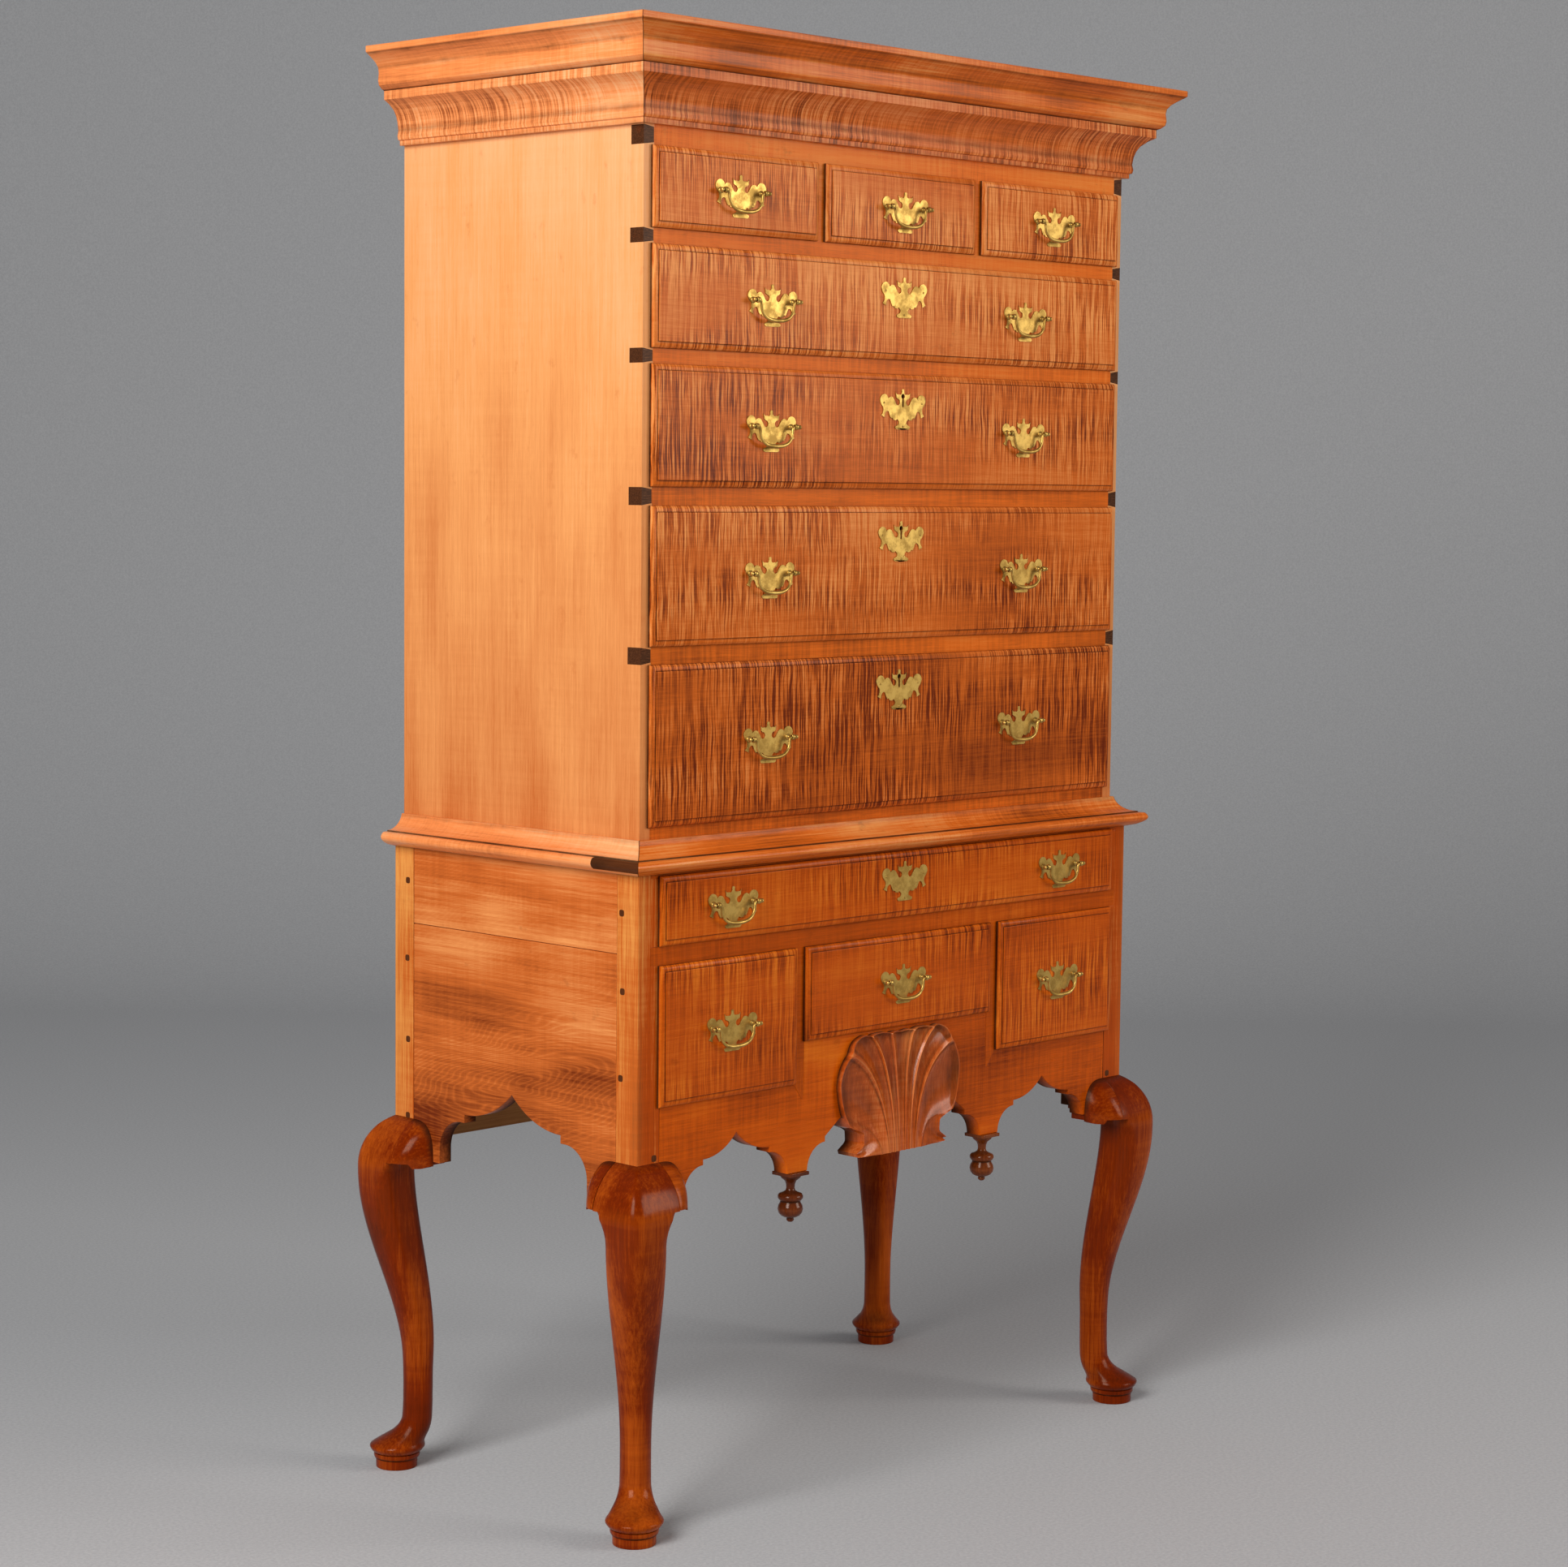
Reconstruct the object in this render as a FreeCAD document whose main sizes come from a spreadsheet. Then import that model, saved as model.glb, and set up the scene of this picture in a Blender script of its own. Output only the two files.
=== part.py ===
"""Highboy: a chest of drawers on a lower case with cabriole legs, as a parametric document.

The frame: X to the right, Y to the back, Z up, millimetres. The origin is on the floor, in the
middle of the space that the whole piece takes up. Both cases have their backs in one plane.
"""
import FreeCAD, Part
import math
import os
import Sketcher
from FreeCAD import Vector

doc = FreeCAD.newDocument("highboy")

# --- driving dimensions ---------------------------------------------------------------------

SIZES = {
    # cases
    "upper_width": 915.0,
    "upper_depth": 447.0,
    "upper_height": 1001.0,
    "lower_overhang": 15.0,
    "upper_side_board": 17.0,
    "lower_side_board": 20.0,
    "post_width": 38.0,
    "apron_board": 24.0,
    "back_board": 12.0,
    "rail_board": 22.0,
    "top_board": 14.0,
    "blade_depth": 70.0,
    "blade_tail": 23.0,
    "blade_tail_slope": 2.5,
    "back_rabbet": 9.0,
    "guide_height": 22.0,
    "tongue": 8.0,
    "tongue_length": 20.0,
    "tongue_in": 10.0,
    "side_tongue_in": 15.0,
    "tongue_shoulder": 8.0,
    "rail_lap": 17.0,
    "lap_shoulder": 3.0,
    "runner_width": 26.0,
    "runner_thickness": 14.0,
    # levels, each above the one before it; the first is above the legs
    "lower_small_sill": 68.0,
    "lower_small_top": 176.0,
    "lower_long_sill": 23.5,
    "lower_long_top": 87.0,
    "lower_top": 18.5,
    "upper_sill": 39.5,
    # above the small drawers' sill, and below the top of the lower case
    "lower_middle_sill": 54.0,
    "side_joint": 115.0,
    # drawer fronts and the rails that show between them, at this height of the upper case
    "front_long_four": 199.0,
    "front_long_three": 171.5,
    "front_long_two": 148.5,
    "front_long_one": 125.0,
    "front_small": 98.0,
    "show_four": 21.5,
    "show_three": 22.5,
    "show_two": 18.5,
    "show_one": 18.5,
    "show_top": 24.5,
    "divider_show": 13.0,
    "lower_divider_show": 15.0,
    "lower_divider_at": 189.0,
    "divider_foot": 24.0,
    "divider_foot_tip": 3.0,
    "lip_thickness": 8.0,
    "lip_round": 6.0,
    "lip_slope": 4.0,
    "lip_over_rail": 2.7,
    "lip_over_side": 5.5,
    "lip_gap": 0.3,
    # drawer boxes
    "drawer_side": 12.0,
    "drawer_back": 11.0,
    "drawer_back_low": 6.0,
    "drawer_bottom": 8.0,
    "drawer_bottom_up": 9.0,
    "drawer_groove": 4.0,
    "drawer_behind": 35.0,
    "front_body": 14.0,
    "drawer_play": 1.2,
    "drawer_headroom": 1.5,
    "drawer_seat": 0.3,
    "tail_pitch": 58.0,
    # legs
    "leg_height": 472.0,
    "knee_high": 69.0,
    "knee_out": 40.5,
    "knee_thick": 74.5,
    "knee_centre": 12.0,
    "ankle_centre": 30.3,
    "ankle_thick": 39.0,
    "ankle_high": 150.0,
    "pad_radius": 36.5,
    "pad_high": 27.0,
    "disc_radius": 27.0,
    "disc_height": 13.0,
    "bracket_width": 40.0,
    # aprons: how far below the legs' tops their lowest edges lie, and their coves and cusps
    "apron_low": 47.5,
    "cove": 33.0,
    "drop_at": 188.5,
    "drop_tab": 37.0,
    "step_up": 7.0,
    "cusp_at": 1.0,
    "cusp_rise": 67.5,
    "cove_outer": 76.5,
    "side_low": 57.0,
    "side_cove": 41.0,
    "side_cove_at": 100.0,
    "side_step_at": 92.0,
    "side_step_high": 8.0,
    "side_step_up": 10.5,
    "side_cusp": 57.0,
    "back_low": 36.0,
    # carved shell
    "shell_low": 3.5,
    "shell_top": 3.0,
    "shell_half": 118.0,
    "shell_foot_half": 88.0,
    "shell_proud": 13.0,
    "shell_flute": 8.0,
    "shell_gouge": 27.0,
    # pendants
    "pendant_cap": 34.0,
    "pendant_cap_high": 4.5,
    "pendant_drop": 62.0,
    "pendant_ball": 16.5,
    "pendant_neck": 5.5,
    # cornice
    "cornice_height": 121.0,
    "cornice_reach": 63.5,
    "crown_height": 54.0,
    "crown_waist": 42.5,
    "crown_foot": 33.5,
    "cove_foot": 10.0,
    "crown_gap": 11.0,
    # waist moulding
    "waist_low": 17.0,
    "waist_top": 25.0,
    "waist_reach": 39.0,
    "waist_lip": 4.0,
    "waist_step": 28.5,
    "waist_play": 0.5,
    # brasses
    "boring": 70.0,
    "plate_thickness": 1.2,
    "handle_above": 5.5,
    "handle_below_middle": 3.5,
    "long_handle_at": 244.0,
    "lower_handle_at": 318.5,
    "key_below_top": 45.0,
    "lower_key_below_top": 39.0,
    "key_above": 17.0,
    "key_round": 3.2,
    "key_slot": 14.0,
    "key_slot_width": 2.8,
    "eye_out": 9.0,
    "eye_radius": 4.2,
    "eye_length": 6.0,
    "eye_bore": 2.7,
    "bail_pin": 1.65,
    "bail_drop": 24.5,
    "bail_half": 29.0,
    "bolt_rod": 3.8,
    "nut": 11.0,
    "nut_thickness": 4.0,
    "lock_width": 60.0,
    "lock_height": 40.0,
    "lock_thickness": 9.0,
    "lock_bolt_width": 20.0,
    "lock_bolt_thickness": 5.0,
    "lock_bolt_length": 25.6,
    "bolt_play": 0.4,
    "lock_throw": 8.0,
    "mortise_play": 2.5,
}

sheet = doc.addObject("Spreadsheet::Sheet", "sizes")
for row, (alias, millimetres) in enumerate(SIZES.items(), start=1):
    sheet.set(f"A{row}", str(millimetres))
    sheet.setAlias(f"A{row}", alias)
doc.recompute()


class Size:
    """A length written as an expression on the sheet, so that what uses it stays bound to it."""

    def __init__(self, text):
        self.text = text.text if isinstance(text, Size) else str(text)

    def _join(self, sign, other, swapped=False):
        left, right = (Size(other), self) if swapped else (self, Size(other))
        return Size(f"({left.text} {sign} {right.text})")

    def __add__(self, other):
        return self._join("+", other)

    def __radd__(self, other):
        return self._join("+", other, swapped=True)

    def __sub__(self, other):
        return self._join("-", other)

    def __rsub__(self, other):
        return self._join("-", other, swapped=True)

    def __mul__(self, other):
        return self._join("*", other)

    def __rmul__(self, other):
        return self._join("*", other, swapped=True)

    def __truediv__(self, other):
        return self._join("/", other)

    def __neg__(self):
        return Size(f"(0 - {self.text})")

    def __float__(self):
        return float(sheet.evalExpression(self.text))


class Sheet:
    """The sheet's cells as Sizes, by name."""

    def __getattr__(self, alias):
        if alias not in SIZES:
            raise AttributeError(alias)
        return Size(f"sizes.{alias}")


S = Sheet()

# Planes and levels that several pieces share.
UPPER_HALF = S.upper_width / 2
LOWER_HALF = UPPER_HALF + S.lower_overhang
BACK = (S.upper_depth + S.cornice_reach - S.knee_out) / 2
UPPER_FRONT = BACK - S.upper_depth
LOWER_FRONT = UPPER_FRONT - S.lower_overhang
UPPER_IN = UPPER_HALF - S.upper_side_board
LOWER_IN = LOWER_HALF - S.post_width
LEG_TOP = S.leg_height
KNEE_LOW = LEG_TOP - S.knee_high
APRON_LOW = LEG_TOP - S.apron_low
SIDE_LOW = LEG_TOP - S.side_low
BACK_LOW = LEG_TOP - S.back_low
SIDE_STEP = LEG_TOP + S.side_step_high
SIDE_CUSP = LEG_TOP + S.side_cusp
SMALL_LIP_LOW = LEG_TOP + S.lower_small_sill
SMALL_LIP_TOP = SMALL_LIP_LOW + S.lower_small_top
MIDDLE_LIP_LOW = SMALL_LIP_LOW + S.lower_middle_sill
LONG_LIP_LOW = SMALL_LIP_TOP + S.lower_long_sill
LONG_LIP_TOP = LONG_LIP_LOW + S.lower_long_top
LOWER_TOP = LONG_LIP_TOP + S.lower_top
SIDE_JOINT = LOWER_TOP - S.side_joint
SHELL_LOW = APRON_LOW + S.shell_low
SHELL_TOP = MIDDLE_LIP_LOW - S.shell_top
UPPER_LIP_LOW = LOWER_TOP + S.upper_sill
UPPER_TOP = LOWER_TOP + S.upper_height
CORNICE_LOW = UPPER_TOP + 7 - S.cornice_height
LOWER_SIDE_IN = LOWER_HALF - S.lower_side_board
BACK_FACE = BACK - S.back_board - 4

# --- helpers for boards, outlines and nodes -------------------------------------------------

NODES = []


def node(label, pieces):
    """Gather the solids of one sub-part under the name that its file gets."""
    group = doc.addObject("Part::Compound", label)
    group.Label = label
    group.Links = pieces
    NODES.append(group)
    return group


def board(name, x, y, z):
    """A rectangular board between a low and a high Size along each axis."""
    piece = doc.addObject("Part::Box", name)
    for axis, side, (low, high) in zip("xyz", ("Length", "Width", "Height"), (x, y, z)):
        piece.setExpression(side, Size(Size(high) - low).text)
        piece.setExpression(f".Placement.Base.{axis}", Size(low).text)
    return piece


def centred(half):
    """A span that lies the same way to both sides of the middle."""
    return -half, half


def sided(side, near, far):
    """The span from near to far on the right (side 1), or the same on the left (side -1)."""
    return (near, far) if side > 0 else (-far, -near)


def fused(name, pieces):
    """One solid out of several that meet."""
    piece = doc.addObject("Part::MultiFuse", name)
    piece.Shapes = pieces
    return piece


def carved(name, base, tools):
    """The base with every tool cut out of it."""
    piece = doc.addObject("Part::Cut", name)
    piece.Base = base
    if len(tools) == 1:
        piece.Tool = tools[0]
    else:
        piece.Tool = doc.addObject("Part::Compound", f"{name}_cuts")
        piece.Tool.Links = tools
    return piece


def copy_at(name, source, x, y, z, turn=0):
    """A copy of a master piece, turned about Z in degrees and moved."""
    piece = doc.addObject("Part::Compound", name)
    piece.Links = [source]
    piece.Placement.Rotation = FreeCAD.Rotation(Vector(0, 0, 1), turn)
    for axis, place in zip("xyz", (x, y, z)):
        piece.setExpression(f".Placement.Base.{axis}", Size(place).text)
    return piece


def mirrored(name, source, normal):
    """The source mirrored through the origin."""
    piece = doc.addObject("Part::Mirroring", name)
    piece.Source = source
    piece.Normal = normal
    return piece


def origin_plane(body, role):
    """A body's own origin plane, such as XZ_Plane."""
    return next(plane for plane in body.Origin.OriginFeatures if plane.Role == role)


def new_sketch(body, name, role, offset=0):
    """A sketch on one of the body's origin planes, lifted along its normal."""
    sketch = body.newObject("Sketcher::SketchObject", name)
    sketch.AttachmentSupport = [(origin_plane(body, role), "")]
    sketch.MapMode = "FlatFace"
    if isinstance(offset, Size):
        sketch.setExpression(".AttachmentOffset.Base.z", offset.text)
    return sketch


def arc_edge(start, end, radius):
    """The arc from start to end: a positive radius keeps its centre on the left of the way."""
    chord = end - start
    middle = (start + end) / 2
    away = math.sqrt(max(radius ** 2 - (chord.Length / 2) ** 2, 0.0))
    left = Vector(-chord.y, chord.x, 0) / chord.Length
    centre = middle + left * away * math.copysign(1, radius)
    first, last = (start, end) if radius > 0 else (end, start)
    angles = [math.atan2(p.y - centre.y, p.x - centre.x) for p in (first, last)]
    return Part.ArcOfCircle(Part.Circle(centre, Vector(0, 0, 1), abs(radius)), *angles)


def outline(sketch, corners):
    """A closed outline through corners (x, y) or (x, y, radius of the arc to the next corner).

    Every corner is held by its two distances from the origin and every arc by its radius, each
    bound to the sheet.
    """
    places = [Vector(float(Size(c[0])), float(Size(c[1])), 0) for c in corners]
    edges, starts, rules, bound = [], [], [], []
    for index, corner in enumerate(corners):
        start, end = places[index], places[(index + 1) % len(corners)]
        radius = float(Size(corner[2])) if len(corner) > 2 else 0
        edges.append(arc_edge(start, end, radius) if radius else Part.LineSegment(start, end))
        starts.append(2 if radius < 0 else 1)
    sketch.addGeometry(edges, False)
    for index, corner in enumerate(corners):
        before = index - 1 if index else len(corners) - 1
        rules.append(Sketcher.Constraint(
            "Coincident", before, 3 - starts[before], index, starts[index]))
    for index, corner in enumerate(corners):
        for kind, value in zip(("DistanceX", "DistanceY"), corner[:2]):
            bound.append((len(rules), Size(value)))
            rules.append(Sketcher.Constraint(kind, -1, 1, index, starts[index], float(Size(value))))
        if len(corner) > 2:
            radius = Size(corner[2])
            sign = "" if float(radius) > 0 else "-1 * "
            bound.append((len(rules), Size(sign + radius.text)))
            rules.append(Sketcher.Constraint("Radius", index, abs(float(radius))))
    sketch.addConstraint(rules)
    for index, value in bound:
        sketch.setExpression(f"Constraints[{index}]", value.text)
    return sketch


def padded(name, role, corners, length, reverse=False, both=False):
    """A body made by padding an outline: boards with shaped edges, plates and mouldings."""
    body = doc.addObject("PartDesign::Body", name)
    sketch = outline(new_sketch(body, f"{name}_outline", role), corners)
    pad = body.newObject("PartDesign::Pad", f"{name}_pad")
    pad.Profile = sketch
    pad.setExpression("Length", Size(length).text)
    pad.Reversed = reverse
    pad.Midplane = both
    return body


def common(name, first, second):
    """What two solids share."""
    piece = doc.addObject("Part::Common", name)
    piece.Base, piece.Tool = first, second
    return piece


def flare(name, x, root, tip, root_z, tip_z):
    """A dovetail along Y: its root and tip are Y places, root_z and tip_z its heights there."""
    tail = doc.addObject("Part::Wedge", name)
    for key, value in zip(("Xmin", "Xmax", "X2min", "X2max"), x + x):
        tail.setExpression(key, Size(value).text)
    (near, near_z), (far, far_z) = sorted(((root, root_z), (tip, tip_z)), key=lambda e: float(e[0]))
    for key, value in zip(("Ymin", "Zmin", "Zmax"), (near,) + near_z):
        tail.setExpression(key, Size(value).text)
    for key, value in zip(("Ymax", "Z2min", "Z2max"), (far,) + far_z):
        tail.setExpression(key, Size(value).text)
    return tail


# --- levels of the drawers ------------------------------------------------------------------

UPPER_LONG = ["four", "three", "two", "one"]


def upper_levels():
    """Sill and top of every upper front's lip, from the lowest drawer up.

    Fronts and rails take their shares of the height between the bottom rail and the cornice.
    """
    spans = [(number, getattr(S, f"front_long_{number}"), getattr(S, f"show_{number}"))
             for number in UPPER_LONG]
    whole = sum((front + show for _, front, show in spans), S.front_small)
    growth = (CORNICE_LOW - S.show_top - UPPER_LIP_LOW) / whole
    levels, below = {}, Size(0)
    for number, front, show in spans:
        levels[number] = (UPPER_LIP_LOW + below * growth, UPPER_LIP_LOW + (below + front) * growth)
        below = below + front + show
    levels["small"] = (UPPER_LIP_LOW + below * growth, UPPER_LIP_LOW + (below + S.front_small) * growth)
    return levels


LEVELS = upper_levels()
SMALL_SILL, SMALL_TOP = LEVELS["small"]
DIVIDER_HALF = S.divider_show / 2 + S.lip_over_rail
SMALL_PITCH = (2 * (UPPER_IN + S.lip_over_side) + S.divider_show) / 3
DIVIDER_AT = SMALL_PITCH / 2
LOWER_DIVIDER_HALF = S.lower_divider_show / 2 + S.lip_over_rail


# --- lower case -----------------------------------------------------------------------------

POST_NAMES = {"front_left": (-1, -1), "front_right": (1, -1), "rear_left": (-1, 1), "rear_right": (1, 1)}
SIDE_MIDDLE = (LOWER_FRONT + BACK) / 2
SIDE_HALF = (S.upper_depth + S.lower_overhang) / 2 - S.post_width


def blend(share):
    """A smooth step from 0 to 1."""
    share = min(max(share, 0.0), 1.0)
    return share * share * (3 - 2 * share)


LEG_SPANS = 6


def leg_stations():
    """Height, outward centre and half thickness on the diagonal, and corner share, from foot to knee."""
    pad, ankle, knee = S.pad_high, S.ankle_high, KNEE_LOW
    stations = [
        (S.disc_height, Size(-2), S.disc_radius + 3, 0.95),
        (pad * 0.85, Size(-3), S.pad_radius - 0.5, 0.95),
        (pad * 1.2, -S.ankle_centre * 0.2, S.pad_radius - 2, 0.95),
        (pad * 1.8, -S.ankle_centre * 0.68, S.ankle_thick * 0.62, 0.92),
        (pad * 2.5, -S.ankle_centre * 0.96, S.ankle_thick * 0.51, 0.9),
    ]
    for step in range(1, LEG_SPANS + 1):
        share = step / LEG_SPANS
        height = ankle * 0.72 + (knee - ankle * 0.72) * share
        swing = blend((float(height) - float(ankle)) / (float(knee) - float(ankle)))
        swell = blend((share - 0.02) / 0.9)
        centre = -S.ankle_centre + (S.knee_centre + S.ankle_centre) * swing
        half = (S.ankle_thick + (S.knee_thick - S.ankle_thick) * swell) / 2
        stations.append((height, centre, half, 0.88 - 0.28 * swell))
    return stations


def crossed(name, profiles):
    """What several padded profiles share, each turned about Z: (pad, degrees) pairs.

    It is how a turner's or carver's blank is sawn, one outline from each side.
    """
    piece = doc.addObject("Part::MultiCommon", name)
    piece.Shapes = [copy_at(f"{name}_{turn}", pad, 0, 0, 0, turn) for pad, turn in profiles]
    return piece


BLANK = 300.0


def leg_profile(name, spans):
    """The leg's outline in one view: spans holds (low, high, height) from the foot up."""
    up = [(high, z) for _, high, z in spans]
    down = [(low, z) for low, _, z in spans[::-1]]
    return padded(name, "XZ_Plane", up + down, Size(BLANK), both=True)


def make_leg_shaft():
    """The curved shaft and foot, sawn to one outline in each of four views, 45 degrees apart."""
    side, diagonal, across = [], [], []
    for height, outward, thick, share in leg_stations():
        # A square whose corners are rounded by this share of its half width measures less
        # across its corners than a sharp one.
        half = thick / (math.sqrt(2) - share * (math.sqrt(2) - 1))
        centre = -outward / math.sqrt(2)
        side.append((centre - half, centre + half, height))
        diagonal.append((-outward - thick, -outward + thick, height))
        across.append((-thick, thick, height))
    side_pad = leg_profile("leg_side_view", side)
    return crossed("leg_shaft", [
        (side_pad, 0), (side_pad, 90), (leg_profile("leg_diagonal_view", diagonal), 45),
        (leg_profile("leg_across_view", across), -45)])


def knee_radius():
    """The radius of the knee's swell: upright where it meets the post, furthest out at the bottom."""
    rise, reach = S.leg_height - KNEE_LOW, S.knee_out
    return (reach * reach + rise * rise) / (2 * reach)


def make_knee():
    """The knee block: its two outer faces swell from the post to a flat underside."""
    reach, low, high, far = S.knee_out, KNEE_LOW, S.leg_height, S.post_width
    side_pad = padded("knee_side_view", "XZ_Plane", [
        (-reach, low), (far, low), (far, high), (0, high, knee_radius())], Size(BLANK), both=True)
    corner = -reach * 1.22
    diagonal = padded("knee_diagonal_view", "XZ_Plane", [
        (corner, low), (far * 1.5, low), (far * 1.5, high), (0, high, knee_radius() * 0.9)],
        Size(BLANK), both=True)
    return crossed("knee", [(side_pad, 0), (side_pad, 90), (diagonal, 45)])


def make_leg_blank():
    """The leg for the front left corner, with its post: the post's outer corner is at the origin."""
    disc = doc.addObject("Part::Cylinder", "leg_disc")
    disc.setExpression("Radius", S.disc_radius.text)
    disc.setExpression("Height", S.disc_height.text)
    for axis in "xy":
        disc.setExpression(f".Placement.Base.{axis}", "sqrt(2)")
    post = board("post", (0, S.post_width), (0, S.post_width), (KNEE_LOW, LOWER_TOP))
    return fused("leg_blank", [disc, make_leg_shaft(), make_knee(), post])


TONGUE_LOW = S.leg_height + S.tongue_shoulder / 2
TONGUE_TOP = LOWER_TOP - S.tongue_shoulder


def post_tongues():
    """Tongues of the panels that enter the posts, and the rail ends lapped into the front posts."""
    tongues = {}
    for name, (sx, sy) in POST_NAMES.items():
        side = "left" if sx < 0 else "right"
        end_y = LOWER_FRONT + S.post_width if sy < 0 else BACK - S.post_width
        y_span = (end_y - S.tongue_length, end_y) if sy < 0 else (end_y, end_y + S.tongue_length)
        x_span = sided(sx, LOWER_HALF - S.side_tongue_in, LOWER_HALF - S.side_tongue_in + S.tongue)
        tongues[f"side_{name}_low"] = board(
            f"tongue_side_{name}_low", x_span, y_span, (TONGUE_LOW, SIDE_JOINT - S.tongue_shoulder))
        tongues[f"side_{name}_high"] = board(
            f"tongue_side_{name}_high", x_span, y_span, (SIDE_JOINT + S.tongue_shoulder, TONGUE_TOP))
        inner = sided(sx, LOWER_IN, LOWER_IN + S.tongue_length)
        if sy < 0:
            y_span = (LOWER_FRONT + S.tongue_in, LOWER_FRONT + S.tongue_in + S.tongue)
            tongues[f"apron_{side}"] = board(
                f"tongue_apron_{side}", inner, y_span,
                (TONGUE_LOW, SMALL_LIP_LOW - S.tongue_shoulder))
        else:
            y_span = (BACK - S.tongue_in - S.tongue, BACK - S.tongue_in)
            tongues[f"back_{side}"] = board(
                f"tongue_back_{side}", inner, y_span, (TONGUE_LOW, TONGUE_TOP))
    return tongues


TONGUES = post_tongues()
MID_RAIL_Z = (SMALL_LIP_TOP - S.lip_over_rail, LONG_LIP_LOW + S.lip_over_rail)
TOP_RAIL_Z = (LONG_LIP_TOP - S.lip_over_rail, LOWER_TOP)


def rail_laps():
    """Ends of the middle and top rails of the lower case, seen on the fronts of the posts."""
    laps = {}
    for side, sign in (("left", -1), ("right", 1)):
        span = sided(sign, LOWER_IN, LOWER_IN + S.rail_lap)
        depth = (LOWER_FRONT, LOWER_FRONT + S.rail_board)
        laps[f"middle_{side}"] = board(
            f"lap_middle_{side}", span, depth,
            (MID_RAIL_Z[0] + S.lap_shoulder, MID_RAIL_Z[1] - S.lap_shoulder))
        laps[f"top_{side}"] = board(f"lap_top_{side}", span, depth, TOP_RAIL_Z)
    return laps


LAPS = rail_laps()


def make_legs():
    """Four legs from one blank: mirrored to their corners and mortised there."""
    blank = make_leg_blank()
    for name, (sx, sy) in POST_NAMES.items():
        piece = blank
        if sx > 0:
            piece = mirrored(f"leg_flip_x_{name}", piece, Vector(1, 0, 0))
        if sy > 0:
            piece = mirrored(f"leg_flip_y_{name}", piece, Vector(0, 1, 0))
        corner = copy_at(f"leg_at_{name}", piece, LOWER_HALF * sx, LOWER_FRONT if sy < 0 else BACK, 0)
        side = "left" if sx < 0 else "right"
        cuts = [TONGUES[f"side_{name}_low"], TONGUES[f"side_{name}_high"]]
        if sy < 0:
            cuts += [TONGUES[f"apron_{side}"], LAPS[f"middle_{side}"], LAPS[f"top_{side}"]]
        else:
            cuts += [TONGUES[f"back_{side}"]]
        node(f"leg_{name}", [carved(f"leg_mortised_{name}", corner, cuts)])


def make_knee_bracket(name, board_thickness, under_side):
    """A bracket to the right of a front left leg, its end against the post at the origin.

    Its outer face goes on with the knee's, and rounds back to the panel at its far end.
    """
    reach, width = S.knee_out, S.bracket_width
    side_view = padded(f"{name}_side", "YZ_Plane", [
        (board_thickness, KNEE_LOW), (board_thickness, under_side), (0, under_side),
        (0, S.leg_height, knee_radius()), (-reach, KNEE_LOW)], width)
    plan = padded(f"{name}_plan", "XY_Plane", [
        (0, -reach), (width * 0.4, -reach * 0.9), (width * 0.8, -reach * 0.55), (width, 0),
        (width, board_thickness), (0, board_thickness)], S.leg_height)
    return common(name, side_view, plan)


def make_knee_brackets():
    """Two brackets beside each front leg and one beside each rear leg."""
    front = make_knee_bracket("bracket_front", S.apron_board, APRON_LOW)
    side = make_knee_bracket("bracket_side", S.lower_side_board, SIDE_LOW)
    front_right = mirrored("bracket_front_flipped", front, Vector(1, 0, 0))
    side_flipped = mirrored("bracket_side_flipped", side, Vector(1, 0, 0))
    near, far = LOWER_FRONT + S.post_width, BACK - S.post_width
    node("knee_brackets", [
        copy_at("bracket_1", front, -LOWER_IN, LOWER_FRONT, 0),
        copy_at("bracket_2", front_right, LOWER_IN, LOWER_FRONT, 0),
        copy_at("bracket_3", side_flipped, -LOWER_HALF, near, 0, -90),
        copy_at("bracket_4", side, LOWER_HALF, near, 0, 90),
        copy_at("bracket_5", side, -LOWER_HALF, far, 0, -90),
        copy_at("bracket_6", side_flipped, LOWER_HALF, far, 0, 90),
    ])


def mirrored_outline(half, middle=None):
    """The half outline followed by its mirror image, with each arc's radius moved to its new start.

    middle is the corner between the two halves, where they don't meet in a straight line.
    """
    back = []
    for index in range(len(half) - 1, -1, -1):
        corner = (-half[index][0], half[index][1])
        before = half[index - 1] if index else ()
        back.append(corner + tuple(before[2:]))
    if middle:
        return half + [middle + tuple(half[-1][2:])] + back
    return half + back


def make_lower_side(label, sign):
    """A side panel: an upper board, and a lower one with a cusp between two coves."""
    edge = sided(sign, LOWER_SIDE_IN, LOWER_HALF)
    long_span = (LOWER_FRONT + S.post_width, BACK - S.post_width)
    names = [name for name, (sx, _) in POST_NAMES.items() if sx == sign]
    high = board(f"{label}_high", edge, long_span, (SIDE_JOINT, LOWER_TOP))
    rise = SIDE_CUSP - (SIDE_STEP + S.side_step_up)
    lobe = (S.side_step_at * S.side_step_at + rise * rise) / (2 * rise)
    foot, step, shelf = S.side_cove_at + S.side_cove, S.side_step_at, SIDE_STEP
    half = [(SIDE_HALF, SIDE_JOINT), (SIDE_HALF, SIDE_LOW), (foot, SIDE_LOW),
            (foot, shelf - S.side_cove, S.side_cove), (S.side_cove_at, shelf), (step, shelf),
            (step, shelf + S.side_step_up, -lobe)]
    mirror = mirrored_outline(half, middle=(0, SIDE_CUSP))
    panel = padded(f"{label}_low_blank", "YZ_Plane", mirror, S.lower_side_board)
    low = copy_at(f"{label}_low", panel, edge[0], SIDE_MIDDLE, 0)
    node(label, [
        fused(f"{label}_low_tongued", [low] + [TONGUES[f"side_{name}_low"] for name in names]),
        fused(f"{label}_high_tongued", [high] + [TONGUES[f"side_{name}_high"] for name in names]),
    ])


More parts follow.
